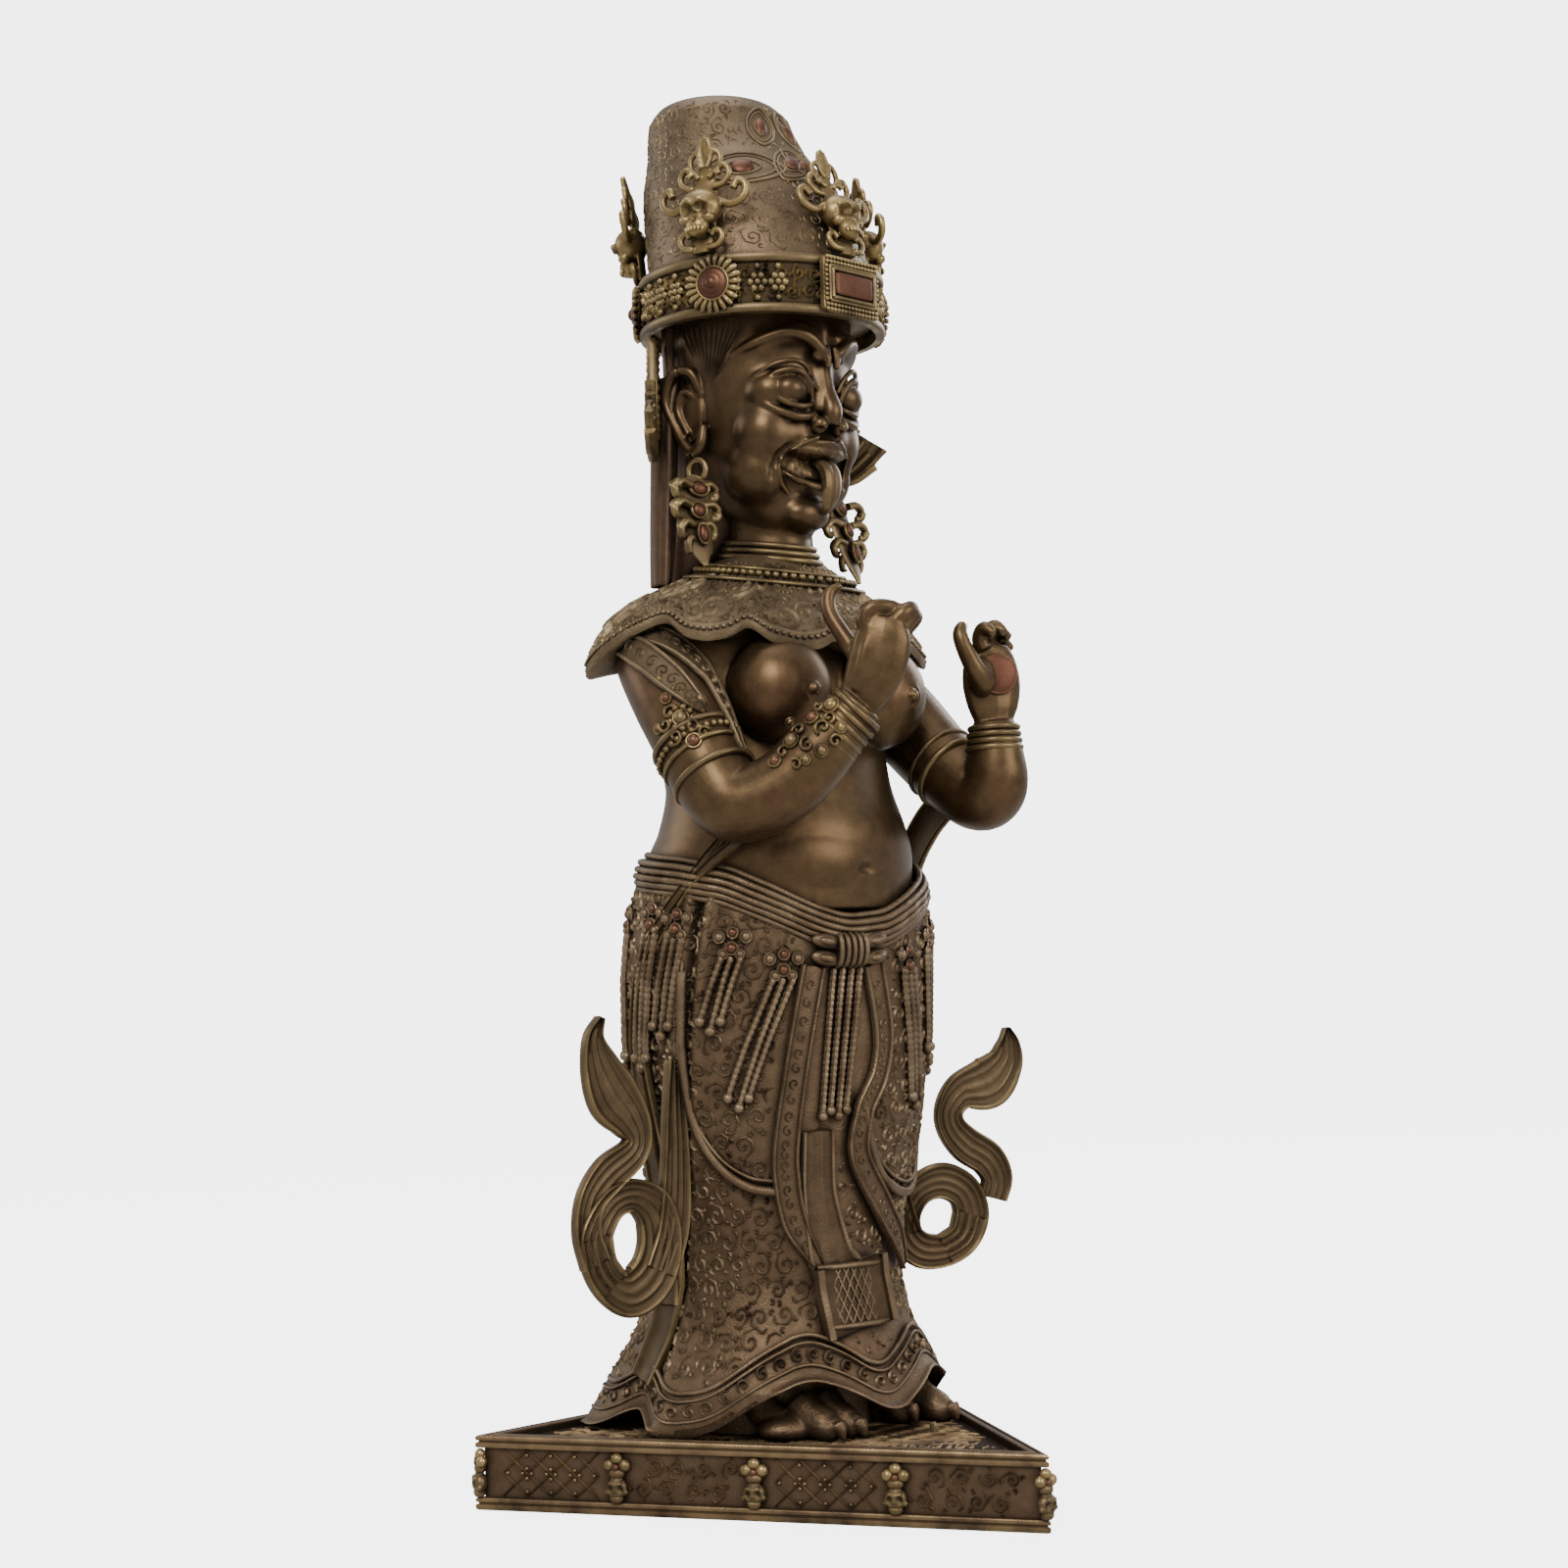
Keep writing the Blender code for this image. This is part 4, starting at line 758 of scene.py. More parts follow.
def dress(angle, height, out=0.0):
    """Points on the dress and the ways it faces there."""
    angle, height = np.broadcast_arrays(np.asarray(angle, float), np.asarray(height, float))
    table = np.array(DRESS, float)
    wide, deep, y = (np.interp(height, table[:, 0], table[:, k]) for k in (1, 2, 3))
    a, t = np.radians(angle), math.radians(FRONT_TURN)
    way = unit(np.stack([np.sin(a) / wide, np.cos(a) / deep], -1))
    local = np.stack([wide * np.sin(a), deep * np.cos(a)], -1) + np.asarray(out, float)[..., None] * way
    axes = np.array([[math.cos(t), -math.sin(t)], [-math.sin(t), -math.cos(t)]])
    level = local @ axes
    level[..., 1] += y
    level = np.where((height < RIM_HEED)[..., None], inside_rim(level), level)
    facing = way @ axes
    return (np.concatenate([level, height[..., None]], -1),
            np.concatenate([facing, np.zeros_like(height)[..., None]], -1))


def on_dress(places, wide, thick, out=0.0, count=0, around=10, power=2.0):
    """A rounded strip lying on the dress through places of angle and height."""
    rows = spline(places, count) if count else np.array(places, float)
    spots, facings = dress(rows[:, 0], rows[:, 1], out)
    share = np.linspace(0, 1, len(spots))
    wide = np.interp(share, np.linspace(0, 1, len(np.atleast_1d(wide))), np.atleast_1d(wide))
    return rope(spots, wide, thick, facings, around=around, power=power)


def moulded_on_dress(places, wide, profile, out, count, height=1.0):
    """A moulded strip lying on the dress through places of angle and height."""
    rows = spline(places, count)
    spots, facings = dress(rows[:, 0], rows[:, 1], out)
    wide = np.interp(np.linspace(0, 1, count), np.linspace(0, 1, len(wide)), wide)
    return moulded(spots, facings, wide, profile, height=height)


def folds(angles, height):
    """How far the cloth sinks into its deep folds and stands up beside them."""
    depth = np.zeros(len(angles))
    fade = np.clip((height - 24) / 60, 0.0, 1.0)
    for rows in FOLDS:
        away = angles - np.interp(height, [r[0] for r in rows], [r[1] for r in rows])
        depth += fade * (2.6 * np.exp(-((np.abs(away) - 5.0) / 3.0) ** 2) - 6.0 * np.exp(-(away / 2.3) ** 2))
    return depth


def skirt():
    """The skirt with its over-skirt, deep folds and a waved, thick-lipped hem."""
    angles = np.linspace(-180, 180, 310, endpoint=False)
    low, flare = smooth_table(HEM, angles, 5.0)
    swag = smooth_table(SWAG, angles, 3.0)[0]
    rings = []
    top = smooth_table(BELT, angles, 4.0)[0] - 12
    for share in np.linspace(0, 1, 74):
        height = top + (108 - top) * share
        over = 1 / (1 + np.exp(-(height - swag) / 1.6))
        pull = 1.1 * np.sin(np.radians(angles * 7 + height * 0.6)) * (1 - over) * np.clip((398 - height) / 200, 0, 1)
        tucks = 0.7 * np.sin(np.radians(angles * 23)) * over * np.clip((height - 300) / 98, 0, 1)
        depth = over * 3.4 + pull + tucks + folds(angles, height) - 1.0
        rings.append(dress(angles, height, depth)[0])
    for share in np.linspace(0.03, 1.0, 30):
        height = 108 + (low - 108) * share
        fold = 1.3 * np.sin(np.radians(angles * 7 + height * 0.6)) * (1 - share)
        fold += folds(angles, 108 - 84 * share)
        rings.append(dress(angles, np.maximum(height, 2.5), flare * share ** 2 + fold - 1.0 + share)[0])
    for lip, rise in ((2.0, -0.6), (3.4, -0.2), (4.3, 0.8), (4.4, 2.2), (3.4, 3.2), (1.5, 3.0)):
        rings.append(dress(angles, np.maximum(low - rise * 0.6 - 1.2, 1.6), flare + lip)[0])
    for inward, rise in ((-3, -0.5), (-9, 3), (-16, 7), (-24, 12)):
        rings.append(dress(angles, np.maximum(low + rise, 2.2), flare + inward)[0])
    points, faces = skin([row[::-1] for row in rings])
    points[-1] = (0, 20, 60)
    return points, faces


SASH_PROFILE = [(-1, 0), (-0.97, 2.4), (-0.86, 3.2), (-0.74, 2.6), (-0.68, 1.2), (-0.4, 1.5), (0, 1.7), (0.4, 1.5),
                (0.68, 1.2), (0.74, 2.6), (0.86, 3.2), (0.97, 2.4), (1, 0)]
FALL_PROFILE = [(-1, 0), (-0.95, 2.6), (-0.8, 2.8), (-0.72, 1.2), (-0.3, 1.4), (-0.22, 2.2), (-0.12, 1.4), (0.3, 1.4),
                (0.38, 2.2), (0.48, 1.4), (0.72, 1.2), (0.8, 2.8), (0.95, 2.6), (1, 0)]


def beaded_strand(start, end, radius, pitch=4.6, out=5.0):
    """A strand of ringed beads from one place on the dress to another, with a bigger bead at its end."""
    start, end = np.array(start, float), np.array(end, float)
    length = math.hypot((end[0] - start[0]) * 1.9, end[1] - start[1])
    beads = max(3, int(length / pitch))
    shapes = []
    count = beads * 3 + 1
    rows = start + (end - start) * np.linspace(0, 1, count)[:, None]
    spots, facings = dress(rows[:, 0], rows[:, 1], out)
    widths = radius * np.where(np.arange(count) % 3 == 0, 0.78, 1.0)
    shapes.append(rope(spots, widths, widths, facings, around=6))
    tip, _ = dress(end[0], end[1], out + 0.5)
    shapes.append(ball(*tip, radius * 1.5, radius * 1.5, radius * 1.5, 7, 10))
    return shapes


# Head of each tassel, and the foot that its strands hang to: angle, height, angle, height.
TASSELS = [
    (-84, 370, -90, 262), (-70, 366, -76, 285), (-46, 352, -54, 288), (-27, 336, -45, 234), (28, 336, 36, 228),
    (48, 350, 52, 262), (66, 356, 68, 250), (100, 366, 101, 262), (122, 372, 124, 262), (148, 376, 149, 262),
    (175, 378, 175, 262), (-158, 376, -158, 262), (-134, 374, -134, 262), (-110, 370, -111, 262),
]


def tassels():
    """Tassels of three strands hung from bead clusters under the belt."""
    bronze, copper = [], []
    for head, top, foot, bottom in TASSELS:
        front = abs(head) < 100
        for k in (-1, 0, 1):
            bronze += beaded_strand((head + k * 3.6, top - 12), (foot + k * 4.0, bottom + abs(k) * 7), 2.7,
                                    4.6 if front else 7.0)
        for k, (side, rise, size) in enumerate(((-5.6, 2, 3.6), (0, -6, 4.0), (5.6, 2, 3.6), (0, 5, 3.4),
                                                (-3.4, -10, 3.0), (3.4, -10, 3.0))):
            spot, _ = dress(head + side * 0.9, top + rise, 5.5)
            (copper if k in (1, 3) else bronze).append(ball(*spot, size, size * 0.9, size, 8, 12))
            bronze.append(hoop(spot, dress(head, top, 0)[1], size * 1.08, 0.9, 14, 5))
    return bronze, copper


def scroll_on_dress(name, tree, cell, low, high, span, seed, wide=1.15, tall=1.3, keep=None):
    """Raised scrollwork over a stretch of the dress."""
    size = 108.0

    def mapping(u, v):
        return dress(math.degrees(u / size), v)

    strokes = vine((math.radians(span[0]) * size, low), (math.radians(span[1]) * size, high), cell, seed)
    if keep is not None:
        strokes = kept(strokes, lambda u, v: keep(math.degrees(u / size), v))
    return gather(name, chase(tree, strokes, mapping, wide, tall))


# The body above the belt.

TORSO = [
    (372, 100, 84, 84, 0, 4, 10), (410, 102, 89, 89, 0, 5, 10), (432, 95, 86, 84, 0, 3, 9),
    (461, 89, 76, 76, 0, 5, 6), (485, 94, 74, 72, 0, 12, 3), (508, 102, 74, 70, 0, 20, 0),
    (540, 110, 76, 70, 0, 26, 0), (570, 113, 74, 66, 0, 30, 0), (598, 98, 66, 58, 0, 28, 0),
    (614, 62, 52, 44, 0, 20, 0), (630, 31, 32, 32, 0, 13, 0), (668, 28, 28, 30, 0, 13, 0),
]
CAPE = [
    (634, 40, 38, 38, 0, 12), (622, 60, 50, 48, 0, 16), (610, 88, 63, 58, 0, 20), (598, 113, 77, 63, 0, 24),
    (585, 131, 92, 68, 0, 27), (572, 142, 101, 70, 0, 28), (560, 148, 106, 72, 0, 30), (545, 149, 108, 73, 0, 32),
]
RIGHT_ARM = [(-94, 40, 574), (-104, 26, 560), (-109, 2, 530), (-111, -22, 496), (-110, -42, 464), (-106, -62, 446),
             (-88, -90, 458), (-70, -112, 486), (-54, -132, 514)]
RIGHT_ARM_THICK = [22, 29, 31, 30, 29, 27, 26, 24, 17.5]
LEFT_ARM = [(94, 38, 574), (103, 20, 556), (110, -16, 520), (112, -56, 482), (112, -92, 456), (111, -110, 462),
            (109, -114, 484), (108, -112, 508)]
LEFT_ARM_THICK = [22, 29, 31, 29, 27, 25, 21, 16.5]

# Height of the cape's scalloped edge by angle from its front.
CAPE_EDGE = [
    (-180, 562), (-160, 554), (-142, 562), (-125, 548), (-111, 546), (-95, 556), (-83, 572), (-72, 581), (-67, 581),
    (-58, 569), (-50, 566), (-42, 569), (-36, 578), (-28, 566), (-18, 560), (-10, 563), (-5, 571), (3, 561),
    (14, 557), (24, 561), (31, 569), (40, 560), (50, 558), (60, 566), (72, 579), (83, 573), (95, 556), (111, 546),
    (125, 548), (142, 562), (160, 554), (180, 562),
]


def finger(path, thick, count=24):
    """A tapering finger with a rounded end."""
    return rope(path, thick, count=count)


def right_hand():
    """The right hand, palm to the figure's left, with its first finger raised."""
    parts = [rope([(-55, -128, 512), (-53, -139, 526), (-50, -147, 545), (-48, -150, 562), (-47, -152, 572)],
                  [14, 19, 21, 19, 12], [10, 11, 10, 9, 6], [(-0.75, -0.66, 0.1)] * 5, 10, 12)]
    parts.append(finger([(-55, -132, 545), (-58, -122, 560), (-62, -112, 578), (-60, -110, 592), (-54, -116, 598)],
                        [7, 6.2, 5.6, 5, 2.5]))
    parts.append(finger([(-54, -143, 560), (-58, -141, 572), (-54, -146, 579), (-42, -153, 579), (-33, -157, 575)],
                        [7, 6, 5.6, 5.2, 3]))
    for rise, across in ((0, 0), (1, 8), (2, 16)):
        parts.append(rope([(-64 + across, -137 - across * 0.9, 522), (-62 + across, -143 - across * 0.9, 545),
                           (-57 + across, -145 - across * 0.7, 560 - rise)], [2.6, 3.4, 4.6], count=20))
    parts.append(finger([(-44, -152, 566), (-38, -160, 575), (-28, -158, 578), (-26, -148, 570)], [6.5, 6, 5.5, 3]))
    parts.append(finger([(-40, -154, 560), (-30, -160, 572), (-22, -156, 572), (-22, -147, 562)], [6, 5.6, 5, 3]))
    parts.append(finger([(-52, -136, 530), (-42, -130, 540), (-36, -128, 554), (-38, -132, 566)], [8, 7, 6, 3]))
    return parts


def left_hand():
    """The left hand, palm forward, thumb raised and two fingers curled."""
    parts = [rope([(113, -105, 507), (112, -106, 520), (112, -105, 538), (112, -104, 556), (112, -104, 566)],
                  [14, 20, 23, 20, 14], [10, 11, 10, 9, 6], [(-0.5, -0.87, 0.0)] * 5, 10, 12)]
    parts.append(finger([(98, -112, 534), (86, -112, 546), (79, -109, 560), (77, -106, 572), (82, -105, 580)],
                        [8.5, 7.5, 6.4, 5.6, 3.6]))
    parts.append(ball(97, -109, 541, 10, 10, 15))
    parts.append(finger([(104, -106, 562), (101, -104, 570), (100, -110, 577), (100, -119, 572)], [6.5, 6, 5.6, 3.5]))
    parts.append(finger([(113, -104, 564), (112, -102, 572), (111, -110, 579), (111, -120, 574)], [6.5, 6, 5.6, 3.5]))
    parts.append(finger([(121, -101, 560), (122, -98, 569), (121, -106, 576), (121, -116, 571)], [6.2, 5.8, 5.4, 3.2]))
    parts.append(finger([(128, -99, 552), (131, -95, 562), (130, -102, 568), (129, -111, 564)], [5.8, 5.4, 5, 3]))
    return [placed(part, 0.0, (-6, -9, 0)) for part in parts]


def foot(toes):
    """A clawed foot: a sole under the toes, each of which gives its root and its tip on the ground."""
    middle = np.mean([root for root, tip in toes], axis=0)
    parts = [ball(*(middle + [0, 6, -8]), 34, 22, 12)]
    for root, tip in toes:
        root, tip = np.array(root, float), np.array(tip, float)
        way = tip - root
        middle = root + way * 0.55 + [0, 0, 1]
        near = root + way * 0.85 + [0, 0, 5]
        start = root - way * 0.35 + [0, 0, 5]
        parts.append(rope([start, root, middle, near], [12.4, 12.4, 11.4, 7], count=20))
        claw = tip + way * 0.06
        parts.append(rope([near + [0, 0, 2.5], (near + claw) / 2 + [0, 0, 2.5], claw], [6.6, 5, 1.2], count=14))
    return parts


# Root and tip of each claw's toe.
RIGHT_TOES = [((-60, -30, 16), (-55, -54, 3)), ((-45, -58, 16), (-42, -86, 3)), ((-26, -62, 16), (-25, -90, 3))]
LEFT_TOES = [((34, -56, 16), (36, -83, 3)), ((56, -72, 16), (60, -101, 3)), ((74, -48, 16), (76, -68, 3))]


HEAD = [
    (648, 13, 12, 14, 0, -8, 0), (655, 26, 24, 26, 0, -3, 0), (667, 38, 36, 44, 0, 4, 0), (684, 47, 46, 58, 0, 9, 0),
    (704, 54, 52, 64, 0, 12, 0), (726, 58, 57, 67, 0, 13, 0), (750, 61, 60, 69, 0, 14, 0), (775, 63, 63, 70, 0, 14, 0),
    (800, 65, 65, 70, 0, 14, 0), (822, 66, 66, 70, 0, 13, 0),
]


def ear():
    """The right ear with its long lobe."""
    return [
        rope([(-60, 16, 752), (-66, 22, 770), (-69, 38, 770), (-69, 46, 752), (-67, 36, 728), (-66, 22, 710),
              (-65, 13, 716), (-63, 12, 730)], [3.6, 4, 4.6, 4.6, 4.2, 5, 4.4, 3.4], count=52),
        rope([(-62, 20, 750), (-65, 30, 757), (-66, 36, 744), (-65, 26, 724)], [3, 3.2, 3.2, 3], count=24),
        ball(-61, 28, 742, 4.5, 15, 24),
    ]


def face_masses():
    """The big soft forms under the features: cheeks, sockets, brow, nose, muzzle and chin."""
    parts = [ball(0, -30, 664, 21, 14, 13), ball(0, -38, 706, 30, 17, 22)]
    parts.append(rope([(0, -44, 776), (0, -47, 752), (0, -50, 734)], [9, 12, 14], [10, 12, 12], [(0, -1, 0)] * 3, 20))
    for side in (-1, 1):
        parts.append(ball(side * 29, -22, 722, 28, 25, 28))
        parts.append(ball(side * 17, -35, 722, 17, 16, 22))
        parts.append(ball(side * 32, -10, 696, 24, 27, 27))
        parts.append(ball(side * 31, -29, 751, 23, 21, 19))
        parts.append(rope([(side * 6, -50, 790), (side * 26, -47, 793), (side * 46, -28, 786)], [9, 9, 8], count=20))
    return parts


# Lines of the face on one side: places along each and its half width there.
FACE_LINES = [
    ([(4, -58, 775), (12, -58, 783), (22, -55, 790), (36, -46, 792), (50, -29, 785), (58, -12, 777)],
     [4.4, 5, 5.2, 4.8, 4.2, 2.4]),
    ([(13, -52, 742), (19, -55, 756), (29, -54, 764), (40, -45, 763), (48, -34, 756)], [2, 2.5, 2.7, 2.5, 1.8]),
    ([(11, -54, 752), (18, -55, 764), (29, -53, 771), (42, -43, 769), (52, -29, 760)], [1.6, 2, 2.2, 2, 1.2]),
    ([(13, -52, 742), (20, -55, 739), (30, -53, 738), (40, -45, 743), (48, -34, 756)], [2, 2.4, 2.6, 2.4, 1.8]),
    ([(12, -54, 734), (21, -54, 731), (32, -50, 731), (44, -39, 738), (52, -27, 750)], [2.4, 3.2, 3.6, 3.2, 1.8]),
    ([(11, -56, 717), (22, -50, 713), (32, -40, 703), (31, -34, 688), (22, -34, 676)], [1.6, 2.4, 2.8, 2.4, 1.6]),
    ([(0, -54, 714), (10, -52, 713), (20, -46, 710), (28, -37, 706), (28, -35, 700)], [2.6, 2.8, 2.8, 2.6, 2]),
    ([(0, -48, 681), (10, -47, 682), (20, -42, 686), (27, -37, 693), (29, -36, 700)], [3.6, 3.4, 3, 2.6, 2]),
    ([(4.2, -60, 768), (4.6, -60, 776), (3.6, -59, 785)], [2.4, 3, 2]),
]


def face_parts():
    """Waved brows, lidded eyes, hooked nose, smile folds and lips."""
    parts = []
    for side in (-1, 1):
        for rows, widths in FACE_LINES:
            parts.append(rope([(side * x, y, z) for x, y, z in rows], widths, count=30, around=12))
        parts.append(ball(side * 29, -44, 751, 14, 13, 12, 20, 30))
        parts.append(ball(side * 10.5, -55, 726, 6.4, 8, 6.4))
        parts.append(ball(side * 11, -56, 777, 4.4, 4.4, 4.6))
    parts.append(rope([(0, -46, 786), (0, -51, 770), (0, -54, 752), (0, -59, 737), (0, -57.5, 727)],
                      [6, 6, 7, 8, 6.4], [5, 5, 6, 7.5, 6], [(0, -1, 0)] * 5, 30, 14))
    return parts


def tongue_parts():
    """The long tongue, with a groove down its middle."""
    rows = [(2, -36, 703), (3, -46, 700), (4, -52, 691), (4.4, -52, 677), (3.4, -47, 664)]
    return [fluted(rows, [(0, -0.9, 0.4)] * 5, [7, 9, 9.6, 8.4, 3.0], [
        (-1, 0), (-0.86, 2.6), (-0.5, 4.4), (-0.15, 4.4), (0, 3.7), (0.15, 4.4), (0.5, 4.4), (0.86, 2.6)], 40)]


def hair_parts():
    """Hair falling behind the ears to the shoulders and down the back."""
    parts = [loft([(604, 52, 18, 22, 0, 62, 0), (640, 56, 30, 30, 0, 56, 0), (700, 56, 40, 36, 0, 44, 0),
                   (760, 60, 40, 40, 0, 40, 0), (812, 62, 40, 45, 0, 36, 0)], 16, 30)]
    for side in (-1, 1):
        lock = [(side * 62, 46, 770), (side * 67, 48, 735), (side * 70, 48, 690), (side * 73, 47, 645),
                (side * 77, 45, 612)]
        parts.append(rope(lock, [9, 10, 10, 9.5, 7], [6, 7, 7, 7, 6], [(side * 0.85, -0.5, 0.1)] * 5, 16, 10))
    return parts


# Crown and hat.

HAT = [
    (HAT_UNDERSIDE, HAT_RADIUS, BAND_CENTRE_Y), (BAND_TOP, HAT_RADIUS, BAND_CENTRE_Y), (880, 80.5, 21.5), (915, 73, 34),
    (945, 61.5, 46), (962, 57, 52), (976, 53.5, 55), (986, 45, 57), (991, 31, 58), (HAT_TOP, 12, 58),
]


def around_band(angle, radius, height):
    """A point about the crown band's middle, by angle from the front."""
    a = math.radians(angle)
    return (radius * math.sin(a), BAND_CENTRE_Y - radius * math.cos(a), height)


# Scarf ends: the middle of each eye, the way the end spreads from it, then places along it:
# distance out from the eye's middle, height and half width.

SCARF_EYES = {-1: (161.0, 4.0), 1: (142.0, -13.0)}
SCARF_WAYS = {-1: (1.0, 0.05), 1: (0.92, -0.39)}
SCARF_TAILS = {
    -1: [(18, 301, 2), (24, 286, 8), (19, 266, 16), (9, 247, 21), (-5, 231, 17), (-12, 217, 12), (-7, 205, 12),
         (14, 192, 14), (29, 176, 12), (33, 154, 11), (26, 132, 12)],
    1: [(64, 278, 2), (65, 265, 10), (61, 250, 16), (47, 236, 21), (24, 230, 15), (13, 217, 12), (14, 203, 12),
        (26, 189, 14), (44, 177, 14), (52, 162, 13), (48, 146, 12)],
}
SCARF_COILS = {
    -1: [(26, 150, 14), (22, 130, 14), (11, 115, 14), (-6, 110, 18), (-24, 121, 20), (-31, 142, 19), (-26, 164, 17),
         (-8, 176, 12), (12, 171, 12)],
    1: [(29, 135, 15), (22, 118, 14), (6, 109, 13), (-13, 110, 14), (-25, 121, 13), (-25, 139, 11), (-14, 156, 12),
        (5, 162, 14), (23, 153, 14)],
}
SCARF_FALLS = {
    -1: [(-46, 268, 5), (-46, 232, 9), (-46, 190, 12), (-42, 150, 14), (-30, 122, 14)],
    1: [(-36, 262, 5), (-36, 225, 9), (-36, 180, 12), (-34, 148, 13), (-26, 122, 13)],
}


# Plinth.

def triangle(offset, height):
    """A level triangle inside the plinth's outline, one corner to the front."""
    reach = PLINTH_SIDE / math.sqrt(3) - 2 * offset
    corners = (-90, 30, 150)
    return [(reach * math.cos(math.radians(a)), reach * math.sin(math.radians(a)), height) for a in corners]


def panel_spots():
    """Places and turns of the plinth's ornaments: three corners, then three on each side."""
    middle = (PLINTH_FOOT + PANEL_TOP) / 2
    spots = []
    corners = [np.array(p) for p in triangle(PANEL_DEPTH, middle)]
    for corner, facing in zip(corners, (-90, 30, 150)):
        way = np.array((math.cos(math.radians(facing)), math.sin(math.radians(facing)), 0))
        spots.append((corner + way * CORNER_STAND_OFF, math.radians(facing + 90)))
    for k, facing in enumerate((-30, 90, 210)):
        first, last = corners[k], corners[(k + 1) % 3]
        for share in (0.25, 0.5, 0.75):
            spots.append((first + (last - first) * share, math.radians(facing + 90)))
    return spots


# Solids from the modeller's own primitives, kept as shapes of size one.

def shape_of(item):
    """Points and faces of an object, which is then removed."""
    shape = (np.array([tuple(v.co) for v in item.data.vertices]), [tuple(p.vertices) for p in item.data.polygons])
    bpy.data.objects.remove(item, do_unlink=True)
    return shape


bpy.ops.mesh.primitive_uv_sphere_add(segments=8, ring_count=6, radius=1.0)
BEAD = shape_of(bpy.context.object)
bpy.ops.mesh.primitive_uv_sphere_add(segments=24, ring_count=12, radius=1.0)
DOME = shape_of(bpy.context.object)
bpy.ops.mesh.primitive_cube_add(size=2.0)
bevel = bpy.context.object.modifiers.new("edges", "BEVEL")
bevel.width, bevel.segments = 0.22, 3
BLOCK = shape_of(apply_all(bpy.context.object))


def sized(shape, wide, deep, tall):
    """A shape stretched along its three axes."""
    return shape[0] * [wide, deep, tall], shape[1]


def set_on(shape, spot, way, spin=0.0):
    """A shape drawn facing -Y about its own middle, set on a spot to face a way."""
    way = unit(way)
    right = unit(np.cross([0, 0.001, 1], way))
    up = np.cross(way, right)
    c, s = math.cos(spin), math.sin(spin)
    x, y, z = np.array(shape[0]).T
    x, z = c * x - s * z, s * x + c * z
    return np.array(spot) + x[:, None] * right - y[:, None] * way + z[:, None] * up, shape[1]


def rosette(spot, way, radius, count, spin=0.0, middle=0.58):
    """A flower of narrow petals about a stepped middle, and the dome set in it."""
    wide = math.pi * radius * 0.84 / count * 0.9
    shapes = [sized(DOME, radius * 0.93, 2.4, radius * 0.93)]
    for k in range(count):
        a = 2 * math.pi * k / count
        way_out = np.array((math.cos(a), 0, math.sin(a)))
        shapes.append(rope([way_out * radius * r + [0, -d, 0] for r, d in ((middle, 2.0), (0.82, 3.4), (1.0, 1.6))],
                           [wide * 0.6, wide, wide * 0.7], [2.4, 2.6, 1.8], [(0, -1, 0)] * 3, 6, 8))
    shapes.append(hoop((0, -3.8, 0), (0, 1, 0), radius * middle, radius * 0.05, 40, 8))
    domes = []
    for share, deep, rise in ((middle * 0.96, 3.0, -3.4), (middle * 0.66, 2.6, -5.2), (middle * 0.36, 3.2, -6.6)):
        dome = sized(DOME, radius * share, deep, radius * share)
        domes.append((dome[0] + [0, rise, 0], dome[1]))
    return [set_on(s, spot, way, spin) for s in shapes], [set_on(d, spot, way, spin) for d in domes]


def beads_along(path, radius, count=0):
    """Beads along a path."""
    rows = spline(path, count) if count else np.array(path, float)
    return [(BEAD[0] * radius + row[:3], BEAD[1]) for row in rows]


def fluted(path, facings, widths, top, count=0, hoop=False):
    """A strip with the same profile of places and heights on both its faces."""
    rows = np.hstack([np.array(path, float), np.array(facings, float), np.array(widths, float)[:, None]])
    rows = spline(rows, count) if count else rows
    places, facing, half = rows[:, :3], unit(rows[:, 3:6]), rows[:, 6]
    along = unit(np.roll(places, -1, 0) - np.roll(places, 1, 0) if hoop else np.gradient(places, axis=0))
    side = unit(np.cross(along, facing))
    top = np.array(top, float)
    both = np.vstack([top, top[::-1] * [1, -1]])
    return skin(places[:, None] + side[:, None] * (half[:, None] * both[:, 0])[:, :, None]
                + facing[:, None] * both[:, 1][None, :, None], hoop)


# Plinth.

def plinth_cast():
    """The plinth with rounded foot, cornice and rim."""
    face, deep, rim, top = 0.0, PANEL_DEPTH, PLINTH_RIM, PLINTH_HEIGHT
    foot_line, ground = PLINTH_FOOT, GROUND
    profile = [
        (0.0012, 0), (0.0002, 0.0008), (face, 0.0022), (face, 0.0040), (0.0011, 0.0046), (0.0011, 0.0053),
        (face, 0.0060), (face, 0.0078), (0.0006, foot_line - 0.0004), (deep, foot_line), (deep, PANEL_TOP),
        (0.0008, PANEL_TOP + 0.0001), (0.0002, PANEL_TOP + 0.0008), (face, PANEL_TOP + 0.0022),
        (0.0003, PANEL_TOP + 0.0036), (0.0013, PANEL_TOP + 0.0042), (0.0013, PANEL_TOP + 0.0050),
        (0.0003, PANEL_TOP + 0.0056), (face, PANEL_TOP + 0.0072), (0.0006, top - 0.0006), (0.0018, top),
        (0.0034, top), (0.0041, top - 0.0009), (0.0049, top - 0.0009), (0.0056, top), (rim - 0.0014, top),
        (rim - 0.0003, top - 0.0006), (rim, top - 0.0018), (rim, ground),
    ]
    return skin([triangle(offset, height) for offset, height in profile])


